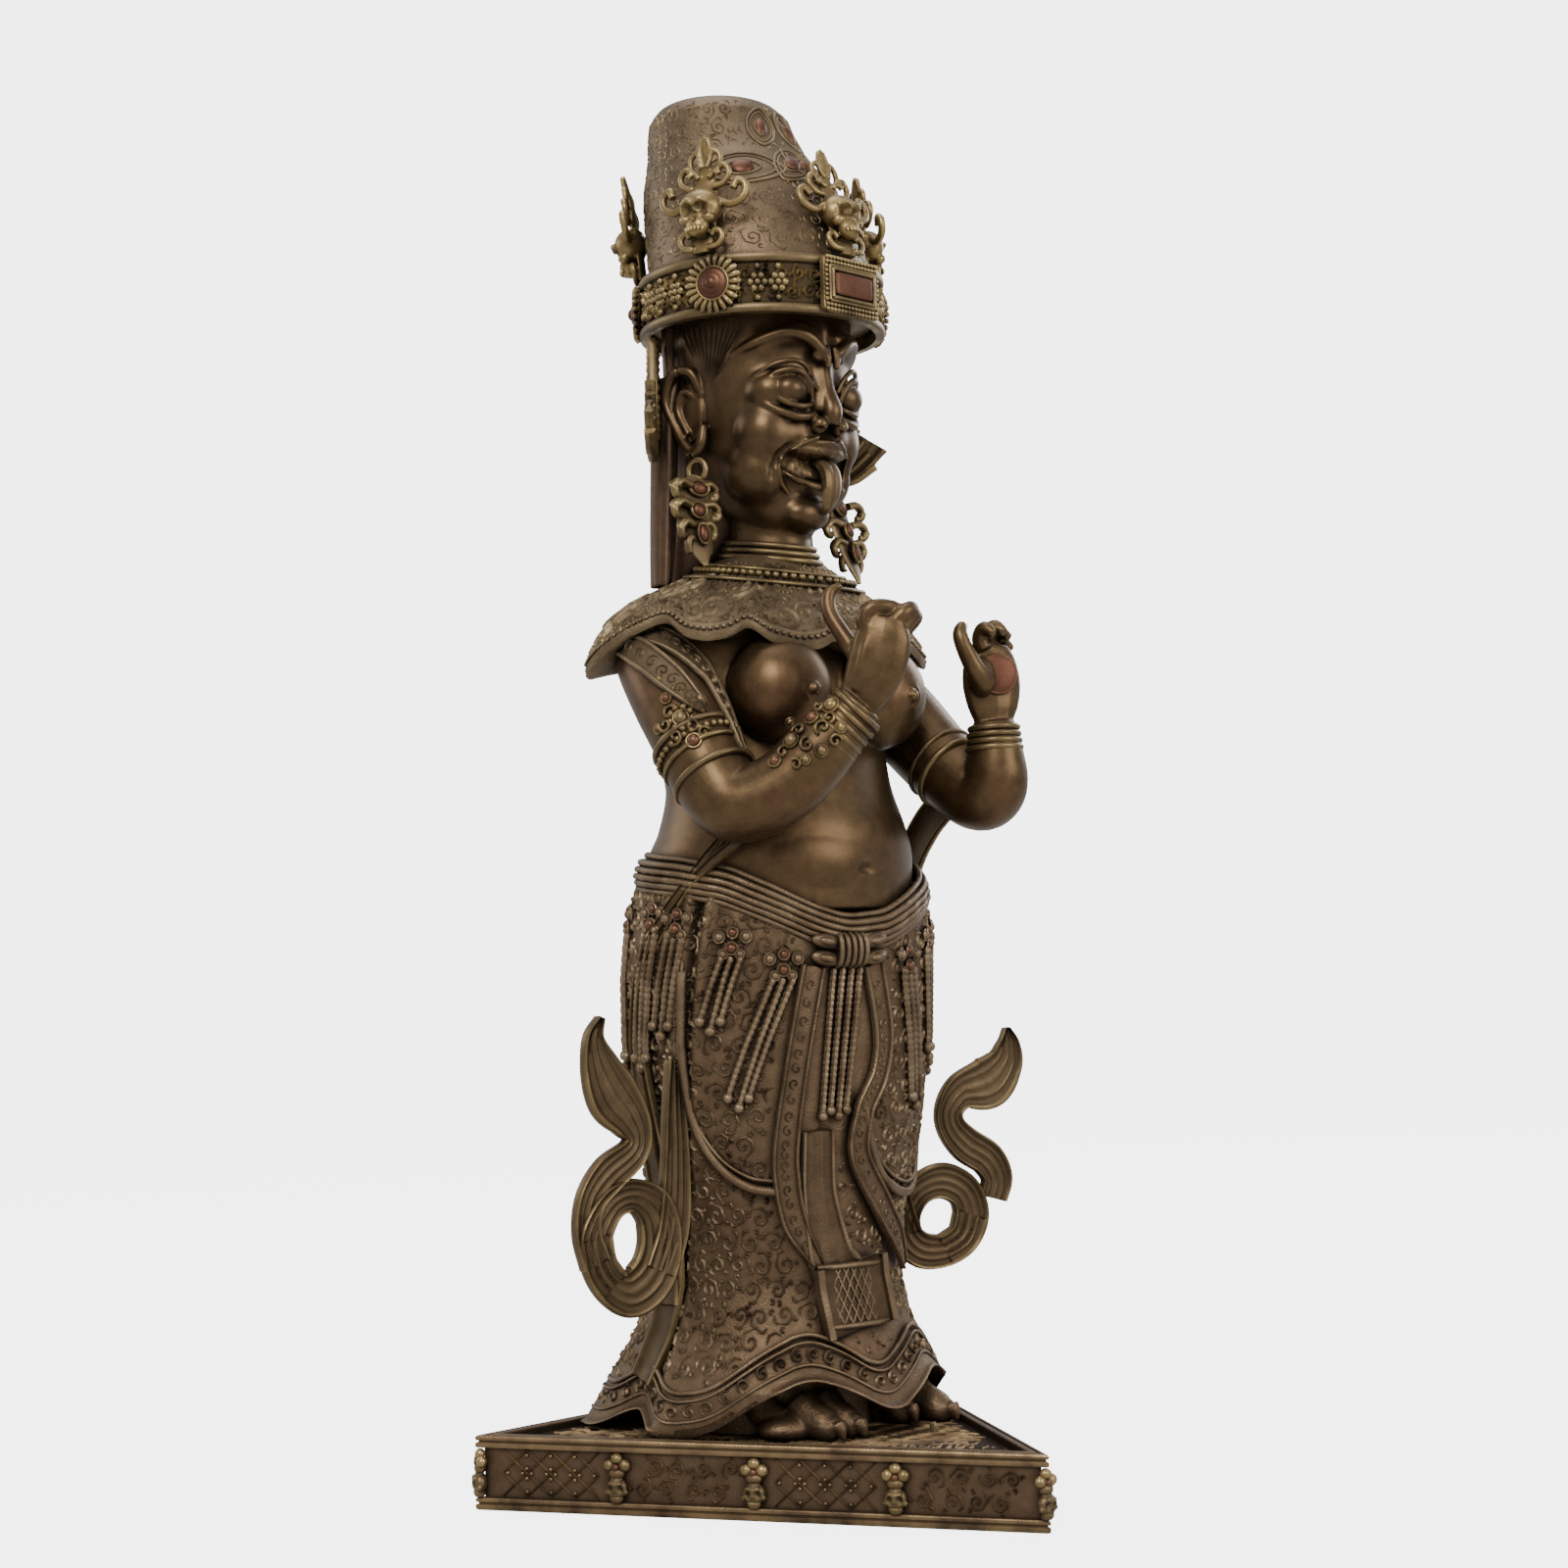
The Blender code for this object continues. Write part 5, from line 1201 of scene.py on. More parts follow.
def plinth_relief():
    """Lattices of flowers and scrolls in the sunk panels, and waves on the ground."""
    shapes = []
    corners = [np.array(c) / UNIT for c in triangle(PANEL_DEPTH, 0.0)]
    low, high = (PLINTH_FOOT + 0.0012) / UNIT, (PANEL_TOP - 0.0012) / UNIT
    for k, facing in enumerate((-30, 90, 210)):
        first, last = corners[k], corners[(k + 1) % 3]
        run = last - first
        length = np.linalg.norm(run)
        way = np.array((math.cos(math.radians(facing)), math.sin(math.radians(facing)), 0.0))

        def place(u, v):
            return first + run * (u / length) + [0, 0, v]

        for part in range(4):
            left, right = length * (part * 0.25) + 14, length * (part * 0.25 + 0.25) - 14
            strokes = []
            if part % 2 == (0 if k else 1):
                step = (high - low) / 2
                columns = max(3, round((right - left) / step))
                step_u = (right - left) / columns
                for c in range(columns):
                    for r in range(2):
                        u, v = left + c * step_u, low + r * step
                        strokes += [[(u, v), (u + step_u, v + step)], [(u, v + step), (u + step_u, v)]]
                for c in range(columns + 1):
                    for r in range(3):
                        u, v = left + c * step_u, low + r * step
                        for a in range(4):
                            turn = a * math.pi / 2
                            out = np.array((math.cos(turn), math.sin(turn)))
                            if low + 1 < v + out[1] * 4.0 < high - 1 and left < u + out[0] * 4.0 < right:
                                spot = place(u + out[0] * 3.4, v + out[1] * 3.4) + way * 0.6
                                shapes.append((BEAD[0] * 1.5 + spot, BEAD[1]))
            else:
                strokes = vine((left, low + 1), (right, high - 1), 16.0, 40 + k * 4 + part, 1.5)
                strokes = kept(strokes, lambda u, v: low < v < high)
            for stroke in strokes:
                rows = spline([(u, v, 0) for u, v in stroke], max(5, len(stroke)))
                spots = np.array([place(u, v) for u, v, _ in rows])
                shapes.append(line_relief(spots, np.tile(way, (len(spots), 1)), 1.0, 1.5, 0.8))
    return shapes


plinth = gather("plinth_body", [plinth_cast()], 1.0, 0.0)
relief = gather("plinth_relief", plinth_relief(), UNIT, 0.0)
finished(joined("plinth_cast", [plinth, relief]), PLINTH_BRONZE, "dark_bronze", "plinth", smooth=35.0)

chance = random.Random(5)
waves = []
inner = (PLINTH_SIDE / (2 * math.sqrt(3)) - PLINTH_RIM) / UNIT - 3
for row in np.arange(-200, 110, 4.6):
    for column in np.arange(-170, 170, 17.0):
        u = column + (8.5 if round(row / 4.6) % 2 else 0) + chance.uniform(-3, 3)
        swirl = 0.9 * math.sin(u / 33.0 + row / 51.0) + 0.6 * math.cos(row / 27.0)
        arc = []
        for share in np.linspace(-1, 1, 7):
            x, y = 10.5 * share, 1.5 * math.sin(share * 4 + row) + chance.uniform(-0.3, 0.3)
            arc.append((u + x * math.cos(swirl) - y * math.sin(swirl), row + x * math.sin(swirl) + y * math.cos(swirl)))
        if all(x * math.cos(math.radians(f)) + y * math.sin(math.radians(f)) < inner
               for x, y in arc for f in (-30, 90, 210)):
            spots = np.array([(x, y, 0.1) for x, y in arc])
            waves.append(line_relief(spots, np.tile([0, 0, 1.0], (len(arc), 1)), 1.3, 1.1, 0.3))
STONE_CHIP = (953, 1462)
stone = seen(ray_tree(OBJECTS["plinth_cast"]), *STONE_CHIP)[0]
chip = sized(BEAD, 3.2, 3.2, 4.6)
finished(gather("stone_chip", [(chip[0] * (1 + 0.18 * np.sin(chip[0][:, :1] * 9)) + stone + [0, 0, 3], chip[1])]),
         CAPE_BRONZE, "dark_bronze", "plinth", smooth=20.0)
finished(gather("plinth_ground", waves), PLINTH_BRONZE, "dark_bronze", "plinth", smooth=35.0)


def ornament():
    """A knot of beads over a small skull, drawn about its own middle."""
    item = cast(gather("ornament", [
        ball(0, -3.4, -7, 8.2, 5.6, 7.6), ball(0, -3.4, -14, 5.2, 4.4, 3.8), ball(0, -3.0, 3, 6.0, 4.2, 4.4),
        ball(-6.4, -4.4, -9.6, 2.6, 2.4, 2.0), ball(6.4, -4.4, -9.6, 2.6, 2.4, 2.0),
        rope([(-4.8, -7.0, -3.0), (0, -8.0, -4.0), (4.8, -7.0, -3.0)], 1.1, count=9),
    ], ORNAMENT_UNIT, 0.0), 0.0005, 2, 2600)
    for x, z, radius, deep in ((-3.2, -6.6, 2.9, -2.6), (3.2, -6.6, 2.9, -2.6), (0, -10.2, 1.5, -1.4)):
        near = min(item.data.vertices, key=lambda v: (v.co - Vector((x, -9, z)) * ORNAMENT_UNIT).length).co.copy()
        for v in item.data.vertices:
            away = (v.co - near).length / (radius * ORNAMENT_UNIT)
            if away < 1:
                v.co.y -= (1 - away ** 2) * deep * ORNAMENT_UNIT
    extra = [sized(BEAD, 4.8, 4.0, 4.4), sized(BEAD, 4.8, 4.0, 4.4), sized(BEAD, 4.6, 3.9, 3.9)]
    spots = [(-5.6, -2.6, 8.4), (5.6, -2.6, 8.4), (0, -2.8, 13)]
    extra = [(s[0] + spot, s[1]) for s, spot in zip(extra, spots)]
    extra += [(BEAD[0] * 0.95 + (x, -7.2 + 0.14 * x * x, -13.4), BEAD[1]) for x in (-3.6, -2.2, -0.75, 0.75, 2.2, 3.6)]
    red = [(BEAD[0] * [2.8, 2.4, 2.8] + (0, -5.2, 7.2), BEAD[1])]
    return joined("ornament", [item, gather("knot", extra, ORNAMENT_UNIT, 0.0)]), gather("red", red, ORNAMENT_UNIT, 0.0)


pattern, red_bead = ornament()
reds = []
for k, (spot, turn) in enumerate(panel_spots()):
    number = str(k + 1).zfill(2)
    for source, copies in ((pattern, None), (red_bead, reds)):
        piece = source.copy()
        piece.data = source.data.copy()
        bpy.context.scene.collection.objects.link(piece)
        piece.data.transform(Matrix.Translation(Vector(spot)) @ Matrix.Rotation(turn, 4, "Z"))
        if copies is None:
            piece.name = "plinth_ornament_" + number
            finished(piece, CROWN_BRASS, "worn_brass", "plinth_skull_" + number)
        else:
            copies.append(piece)
for item in (pattern, red_bead):
    bpy.data.objects.remove(item, do_unlink=True)
finished(joined("plinth_beads", reds), COPPER, "copper_inlay",
         *["plinth_skull_" + str(k + 1).zfill(2) for k in range(len(reds))])


# The dress.

def on_cape(angle, share, out=0.0):
    """Points on the cape by angle and share of the way from its collar to its edge, and how it faces."""
    angle, share = np.broadcast_arrays(np.asarray(angle, float), np.asarray(share, float))
    edge = smooth_table(CAPE_EDGE, angle, 2.0)[0]
    height = 634 + (edge - 634) * share
    table = np.array(sorted(CAPE), float)
    wide, front, back, y = (np.interp(height, table[:, 0], table[:, k]) for k in (1, 2, 3, 5))
    a = np.radians(angle)
    left = wide * np.sign(np.sin(a)) * np.abs(np.sin(a)) ** 0.92
    ahead = np.where(np.cos(a) > 0, front, back) * np.sign(np.cos(a)) * np.abs(np.cos(a)) ** 0.92
    way = unit(np.stack([np.sin(a), -np.cos(a), 0.75 + 0 * a], -1))
    return np.stack([left, y - ahead, height], -1) + way * np.asarray(out, float)[..., None], way


def cape():
    """The short shoulder cape with a collar, a scalloped edge and a double rim."""
    angles = np.linspace(-180, 180, 320, endpoint=False)
    rings = []
    for share in np.linspace(0, 1, 48):
        rim = 1.8 * (math.exp(-((share - 0.975) / 0.022) ** 2) + 0.8 * math.exp(-((share - 0.885) / 0.02) ** 2))
        rings.append(on_cape(angles, np.full_like(angles, share), rim - 0.8)[0])
    last = rings[-1]
    rings += [last + [0, 0, -2.0], last * [0.985, 0.985, 1] + [0, 0, -4], last * [0.9, 0.88, 1] + [0, 0, -1]]
    points, faces = skin([row[::-1] for row in rings])
    points[-1] = (0, 20, 570)
    return points, faces


CAPE_SIZE, CAPE_FALL = 118.0, 84.0


def cape_scrolls(tree):
    """A big double curl in each scallop, small scrolls between and a row of beads along the rim."""
    def mapping(u, v):
        return on_cape(math.degrees(u / CAPE_SIZE), 1 - v / CAPE_FALL)

    def angle_at(degrees):
        return math.radians(degrees) * CAPE_SIZE

    big = []
    for middle, high in ((-54, 24), (-18, 25), (14, 27), (50, 24), (90, 27), (-95, 27), (130, 24), (-130, 24), (160, 24),
                         (-162, 24), (-74, 44), (-36, 47), (-2, 49), (32, 47), (70, 44), (110, 44), (-112, 44),
                         (145, 44), (-146, 44), (178, 44)):
        for turn, hand in ((0.5, 1), (3.6, 1)):
            centre = (angle_at(middle) + 8.0 * math.cos(turn), high + 4.5 * math.sin(turn))
            big.append(curl(centre, 11.0, turn, 1.45, hand, 24, 0.14))
    shapes = chase(tree, big, mapping, 2.1, 2.3)
    small = vine((angle_at(-180), 12), (angle_at(180), 74), 11.5, 3, 1.2)
    centres = [stroke.mean(0) for stroke in big]
    small = [s for s in small if min(np.hypot(*(s.mean(0) - c)) for c in centres) > 12]
    shapes += chase(tree, small, mapping, 1.0, 1.3)
    rim = []
    for a in np.arange(-180, 180, 2.3):
        place, way = on_cape(a, 0.93, 0.6)
        rim.append((BEAD[0] * 1.45 + place, BEAD[1]))
    return shapes, rim


skirt_piece = gather("skirt_cloth", [skirt(), loft([(2, 84, 78, 76, 0, 24, 10), (40, 84, 76, 76, 0, 24, 10),
                                                   (110, 80, 72, 72, 0, 20, 10)], 8)])
skirt_tree = ray_tree(skirt_piece)


NEAR_SASH = [(-16, 332), (-20.3, 288), (-24, 250), (-27.4, 212), (-27.7, 185), (-24.2, 150), (-14, 119)]
FAR_SASH = [(8, 332), (12.5, 285), (11, 255), (4, 228), (3, 196), (17, 160), (31, 134), (42, 111)]
PANEL = [(-15, 216), (-14, 170), (-9, 128), (-3, 112)]
PANEL_END = [(0.5, 122), (4.5, 74)]


def at_height(rows, height):
    """The angle of a line on the dress at a height."""
    return np.interp(height, [r[1] for r in rows[::-1]], [r[0] for r in rows[::-1]])


def free_of_front(angle, height):
    """Whether a place on the dress is clear of sashes, strands, panel, hem border and belt."""
    low = np.interp(angle, [h[0] for h in HEM], [h[1] for h in HEM]) + 30
    high = np.interp(angle, [b[0] for b in BELT], [b[1] for b in BELT]) - 22
    near, far = at_height(NEAR_SASH, height), at_height(FAR_SASH, height)
    if not low < height < high:
        return False
    if height > 112 and min(abs(angle - near), abs(angle - far)) < 6.5:
        return False
    if height > 216:
        return not near < angle < far
    if height > 124:
        return abs(angle - at_height(PANEL, height)) > 9.5
    return height < 70 or abs(angle - at_height(PANEL_END, height)) > 18


scrolls = scroll_on_dress("skirt_scrolls", skirt_tree, 19.5, 26, 392, (-180, 180), 11, 1.5, 1.7, free_of_front)
finished(skirt_piece, CLOTH_BRONZE, "dark_bronze", "figure", smooth=50.0)
finished(scrolls, CLOTH_BRONZE, "dark_bronze", "figure", smooth=50.0)

trim = []
angles = np.linspace(-180, 180, 200, endpoint=False)
low, flare = smooth_table(HEM, angles, 5.0)
for lift, out, wide in ((27, 1.5, 1.7), (22, 2.0, 1.0), (7.5, 0.0, 1.2)):
    height = low + lift
    spots, ways = dress(angles, height, np.interp(lift, (0, 30), (1.0, 0.4)) * flare + out)
    trim.append(rope(spots, wide, wide, ways, around=8, hoop=True))
for k, a in enumerate(np.arange(-180, 180, 6.2)):
    drop, spread = smooth_table(HEM, a, 5.0)
    path = curl((0, 0), 5.4, 1.2 if k % 2 else -1.9, 1.25, 1 if k % 2 else -1, 14, 0.15)
    rows = [dress(a + x * 0.5, drop + 14.5 + y, spread * 0.62 + 1.6) for x, y in path]
    trim.append(line_relief(np.array([r[0] for r in rows]), np.array([r[1] for r in rows]), 1.0, 1.6))
# Rolled edges of the over-skirt.
for rows in ([(-66, 330), (-67, 262), (-64, 220), (-55, 193), (-43, 178), (-31, 174)],
             [(5, 232), (9, 202), (20, 176), (41, 165), (62, 178), (74, 215), (76, 262)],
             [(110, 250), (130, 190), (160, 172), (190, 172), (220, 190), (240, 250)]):
    trim.append(on_dress(rows, 3.6, 3.8, 3.2, 60, 12))
    trim.append(on_dress([(a * 1.0, z + 7.5) for a, z in rows], 1.4, 1.6, 3.6, 60, 8))
finished(gather("skirt_trim", trim), CLOTH_BRONZE, "dark_bronze", "figure", smooth=50.0)

# Belt of rolls, the bow, the sashes, the strands and the panel between them.
belt = []
angles = np.linspace(-180, 180, 170, endpoint=False)
top = smooth_table(BELT, angles, 4.0)[0]
for drop, out, wide, twist in ((0.5, 2.0, 2.3, 0), (5.5, 4.6, 2.6, 0), (10.5, 5.6, 2.4, 0.55), (15.5, 5.6, 2.4, 0.55),
                               (20, 4.2, 2.4, 0), (24.5, 2.4, 2.1, 0)):
    spots, ways = dress(angles, top - drop, out + twist * np.sin(np.radians(angles * 36)))
    belt.append(rope(spots, wide, wide * 0.95, ways, around=10, hoop=True))
for side, middle in ((-1, -10.5), (1, 6.5)):
    for height in (349.5, 337.5):
        for k, size in ((0, 1.0), (1, 0.62)):
            spot, way = dress(middle + side * 1.5, height, 6.5 + 2.4 * k)
            belt.append(set_on(sized(DOME, 11.5 * size, 4.6, 5.4 * size), spot, way, side * 0.18))
for k in range(5):
    spots = [dress(-7.5 + 2.4 * k, height, out)[0] for height, out in ((354, 6), (351, 11), (343, 13), (335, 11), (332, 6))]
    belt.append(rope(spots, 2.1, 2.1, [dress(-3, 343)[1]] * 5, 16, 10))
belt.append(moulded_on_dress(NEAR_SASH, [9, 9, 9, 9.5, 10, 9.5, 4], SASH_PROFILE, 4.6, 90))
belt.append(moulded_on_dress(FAR_SASH, [9, 9, 8, 8, 9, 10, 10, 4], SASH_PROFILE, 4.8, 100))
for rows, span in ((NEAR_SASH, 22), (FAR_SASH, 25)):
    path = spline([(a, z, 0) for a, z in rows], span)
    for k, (a, z, _) in enumerate(path[1:-2]):
        flat = curl((0, 0), 4.3, 1.5 if k % 2 else -1.6, 1.1, 1 if k % 2 else -1, 11, 0.2)
        spots = [dress(a + x * 0.5, z + y, 6.0) for x, y in flat]
        belt.append(line_relief(np.array([r[0] for r in spots]), np.array([r[1] for r in spots]), 0.75, 1.3))
for k in range(4):
    belt += beaded_strand((-8.5 + 3.6 * k, 330), (-13.5 + 3.2 * k, 226 + 4 * (k % 2)), 2.5, 4.4, 4.6)
belt.append(moulded_on_dress(PANEL, [12, 13, 18, 20], FALL_PROFILE, 3.0, 40))
belt.append(moulded_on_dress(PANEL_END, [31, 32], [
    (-1, 0), (-1, 4.4), (-0.93, 5.2), (-0.84, 5.0), (-0.82, 2.4), (0, 2.4), (0.82, 2.4), (0.84, 5.0), (0.93, 5.2),
    (1, 4.4), (1, 0)], 3.4, 14))
for z in (119.5, 77.5):
    ends = (-16, 17) if z > 100 else (-12, 21)
    belt.append(on_dress([(ends[0], z), (ends[1], z)], 2.4, 2.8, 6.4, 12, 10))
for a in np.arange(-24, 30, 3.9):
    for hand in (-1, 1):
        rows = [(a + hand * 11 * t, 79 + 39 * t) for t in np.linspace(0, 1, 14)]
        rows = [(x, z) for x, z in rows if abs(x - at_height(PANEL_END, z)) < 14]
        if len(rows) > 3:
            belt.append(on_dress(rows, 1.0, 1.3, 6.0, 0, 6))
finished(gather("belt_and_sashes", belt), CLOTH_BRONZE, "dark_bronze", "figure", smooth=50.0)

bronze_beads, copper_beads = tassels()
finished(gather("tassels", bronze_beads), CLOTH_BRONZE, "dark_bronze", "figure", smooth=50.0)
finished(gather("tassel_stones", copper_beads), COPPER, "copper_inlay", "figure", smooth=50.0)

falls = []
PLAIN_EDGE = [(-1, 0), (-0.96, 2.0), (-0.85, 2.6), (-0.74, 2.0), (-0.66, 0.9), (0, 1.2), (0.66, 0.9), (0.74, 2.0),
              (0.85, 2.6), (0.96, 2.0), (1, 0)]
near_edge = [(-56, 428), (-69, 390), (-83, 352), (-92, 310), (-94, 268), (-92, 219), (-87, 156), (-84, 93)]
falls.append(moulded_on_dress(near_edge, [2.6, 3, 3.4, 4.2, 6, 8, 10, 11], PLAIN_EDGE, 5.2, 90))
for side in (-1, 1):
    rows = [(side * 83, 352), (side * 92, 310), (side * 93, 262), (side * 90, 210), (side * 86, 150), (side * 86, 90),
            (side * 92, 40)]
    falls.append(moulded_on_dress(rows, [4, 6, 10, 14, 15, 14, 13], PLAIN_EDGE, 3.2, 70))
finished(gather("side_falls", falls), SCARF_BRASS, "dark_bronze", "figure", smooth=50.0)

cape_piece = gather("cape_cloth", [cape()])
shapes, rim = cape_scrolls(ray_tree(cape_piece))
finished(cape_piece, CAPE_BRONZE, "dark_bronze", "figure", smooth=50.0)
finished(gather("cape_scrolls", shapes + rim), CAPE_BRONZE, "dark_bronze", "figure", smooth=50.0)


# The body.

def torso():
    """Torso, breasts, belly, arms and hands."""
    parts = [loft(TORSO, 90, 90)]
    for side in (-1, 1):
        parts.append(ball(side * 50, -48, 530, 39, 37, 40, 26, 40))
        parts.append(ball(side * 51, -86, 528, 4.4, 4, 4.4))
        parts.append(hoop((side * 51, -83.5, 528), (side * 0.05, 1, 0), 8.5, 1.0, 30, 8))
    parts.append(ball(-6, -22, 408, 78, 64, 50, 30, 60))
    parts.append(rope(RIGHT_ARM, RIGHT_ARM_THICK, count=60, around=30))
    parts.append(rope(LEFT_ARM, LEFT_ARM_THICK, count=60, around=30))
    return parts + right_hand() + left_hand()


body = cast(gather("body", torso()), 0.0013, 4, 56000)
press(body, [([(-4, -88, 402), (-1, -88, 402)], 6.0, -4.5)])
finished(body, SKIN_BRONZE, "dark_bronze", "figure")

feet = cast(gather("feet", foot(RIGHT_TOES) + foot(LEFT_TOES)), 0.0011, 2, 16000)
finished(feet, CLOTH_BRONZE, "dark_bronze", "figure")

jewels, stones = [], []
for centre, axis, radius, thick in (
        ((-110, -42, 466), (0.02, -0.6, -0.8), 29.3, 2.6), ((-110.5, -33, 479), (0.01, -0.6, -0.8), 30.4, 1.8),
        ((-111, -24, 492), (0.0, -0.58, -0.8), 30.3, 2.6), ((112, -66, 474), (0, -0.8, -0.6), 28.2, 2.8),
        ((112, -56, 482), (0, -0.8, -0.6), 28.8, 2.0)):
    jewels.append(hoop(centre, axis, radius, thick, 60, 10))
for k in range(5):
    spot = np.array((-67.5, -115, 490)) + np.array((3.0, -3.6, 4.8)) * k
    jewels.append(hoop(spot, (0.44, -0.54, 0.72), 20.8 - 0.5 * k, 2.5, 50, 10))
for k in range(4):
    jewels.append(hoop((108.5, -113, 489 + 5 * k), (0, 0.05, 1), 19.6 - 0.7 * k, 2.4, 50, 10))
angle = np.linspace(0, 2 * math.pi, 34, endpoint=False)
for k, a in enumerate(angle):
    axis = unit((0.0, -0.59, -0.8))
    first, second = np.array((1.0, 0, 0)), np.cross(axis, (1.0, 0, 0))
    spot = np.array((-110.8, -28.5, 485.5)) + 31.2 * (first * math.cos(a) + second * math.sin(a))
    jewels.append((BEAD[0] * 2.4 + spot, BEAD[1]))
flower, dome = rosette((138, -18, 512), (0.97, -0.2, 0.1), 14, 12)
jewels += flower
stones += dome
for z, grow in ((645, 1.0), (640, 3.0), (635, 5.4)):
    path = ring(z, 31 + grow, 37 + grow, 30 + grow, 0, 12, around=70)
    path[:, 2] += (path[:, 1] - 12) * 0.14
    jewels.append(rope(path, 2.4, around=8, hoop=True))


def on_necklace(angle, lift, out):
    """A place on the cape along the necklace, which hangs lowest at the front."""
    height = 622 + lift - 8.5 * np.cos(np.radians(angle))
    share = (634 - height) / (634 - smooth_table(CAPE_EDGE, angle, 2.0)[0])
    return on_cape(angle, share, out)[0]


for spot in on_necklace(np.linspace(-180, 180, 66, endpoint=False), 0.0, 2.2):
    jewels.append((BEAD[0] * 2.6 + spot, BEAD[1]))
for lift in (-5.4, 4.4):
    jewels.append(rope(on_necklace(np.linspace(-180, 180, 120, endpoint=False), lift, 1.2), 1.6, around=8, hoop=True))
finished(gather("jewellery", jewels), SCARF_BRASS, "dark_bronze", "figure")
finished(gather("jewel_stones", stones), COPPER, "copper_inlay", "figure")

body_tree = ray_tree(body)


def on_body(rows, widths, profile, count, lift=1.0):
    """A moulded strip laid on the body through places in the picture."""
    path = spline([(x, y, 0) for x, y in rows], count)
    hits = [seen(body_tree, x, y) for x, y, _ in path]
    spots = np.array([h[0] for h in hits])
    ways = np.array([h[1] for h in hits])
    for _ in range(6):
        spots[1:-1] = (spots[:-2] + 2 * spots[1:-1] + spots[2:]) / 4
        ways[1:-1] = (ways[:-2] + 2 * ways[1:-1] + ways[2:]) / 4
    ways = unit(ways)
    wide = np.interp(np.linspace(0, 1, count), np.linspace(0, 1, len(widths)), widths)
    return moulded(spots + ways * lift, ways, wide, profile), spots + ways * lift, ways


bands, straps, strap_stones = [], [], []
STRAP = [(-1, -2), (-0.98, 1.8), (-0.86, 2.6), (-0.72, 2.2), (-0.66, 1.0), (0, 1.2), (0.66, 1.0), (0.72, 2.2), (0.86, 2.6),
         (0.98, 1.8), (1, -2)]
# The two straps from the cape down the arm, by place in the picture.
STRAPS = [
    ([(622, 650), (652, 666), (684, 692), (708, 716), (718, 728)], [8, 11, 11, 7, 2]),
    ([(652, 644), (686, 656), (716, 682), (736, 716), (756, 766)], [8, 11, 12, 9, 2]),
]
for rows, widths in STRAPS:
    strip, spots, ways = on_body(rows, widths, STRAP, 60)
    bands += [strip, mirrored(strip)]
    for k in range(6, 52, 5):
        across = unit(np.cross(ways[k], spots[k + 1] - spots[k]))
        along = unit(spots[k + 1] - spots[k])
        flat = curl((0, 0), 5.4, 1.2 if k % 2 else -1.9, 1.2, 1 if k % 2 else -1, 12, 0.2)
        line = np.array([spots[k] + along * x + across * y + ways[k] * 0.9 for x, y in flat])
        bands.append(line_relief(line, np.tile(ways[k], (len(line), 1)), 0.9, 1.4))
# The armlet's shield on the upper arm and the cluster on the forearm, by place in the picture and size.
CLUSTERS = [
    (673, 694, 3.6, 0), (680, 713, 3.4, 1), (714, 714, 3.4, 0), (695, 733, 5.0, 0), (672, 744, 3.0, 1), (708, 756, 4.6, 1),
    (791, 777, 4.0, 1), (808, 756, 5.2, 0), (829, 733, 4.4, 1), (848, 720, 5.4, 0), (838, 766, 3.8, 0), (858, 742, 3.4, 0),
    (806, 736, 3.0, 0), (822, 775, 3.0, 0),
]
CURLS = [
    (684, 728, 6.0, 0.4, 1), (706, 742, 6.2, 2.6, -1), (690, 752, 6.6, 4.0, 1), (700, 722, 5.4, 1.6, -1), (680, 740, 5.6, 3.2, 1),
    (718, 748, 4.8, 0.6, 1), (692, 706, 4.6, 2.0, 1), (800, 768, 5.4, 0.6, 1), (816, 746, 5.6, 3.4, -1), (824, 760, 5.8, 1.6, 1),
    (840, 742, 6.2, 4.2, -1), (838, 722, 5.0, 2.6, 1), (852, 756, 5.2, 0.2, 1), (846, 732, 4.6, 5.0, 1), (812, 780, 4.2, 2.2, -1),
]
for x, y, size, red in CLUSTERS:
    spot, way = seen(body_tree, x, y)
    bead = set_on(sized(BEAD, size, size * 0.9, size), spot + way * 1.2, way)
    (strap_stones if red else straps).append(bead)
    straps.append(set_on(hoop((0, 0, 0), (0, 1, 0), size * 1.12, 0.9, 18, 6), spot + way * 0.8, way))
ARM_FLOWER, ARM_PETALS, ARM_REACH = (695, 733), 9, 11
for k in range(ARM_PETALS):
    a = 2 * math.pi * k / ARM_PETALS
    spot, way = seen(body_tree, ARM_FLOWER[0] + ARM_REACH * math.cos(a), ARM_FLOWER[1] + ARM_REACH * math.sin(a))
    straps.append(set_on(sized(BEAD, 2.6, 2.4, 2.6), spot + way * 0.8, way))
for x, y, radius, start, hand in CURLS:
    spot, way = seen(body_tree, x, y)
    flat = curl((0, 0), radius, start, 1.1, hand, 14, 0.2)
    line = set_on((np.array([(u, -1.2, v) for u, v in flat]), []), spot, way)[0]
    straps.append(rope(line, 1.3, 1.8, np.tile(way, (14, 1)), around=8))
finished(gather("arm_straps", bands), CAPE_BRONZE, "dark_bronze", "figure")
finished(gather("arm_jewels", straps), SCARF_BRASS, "dark_bronze", "figure")
finished(gather("arm_stones", strap_stones), COPPER, "copper_inlay", "figure")

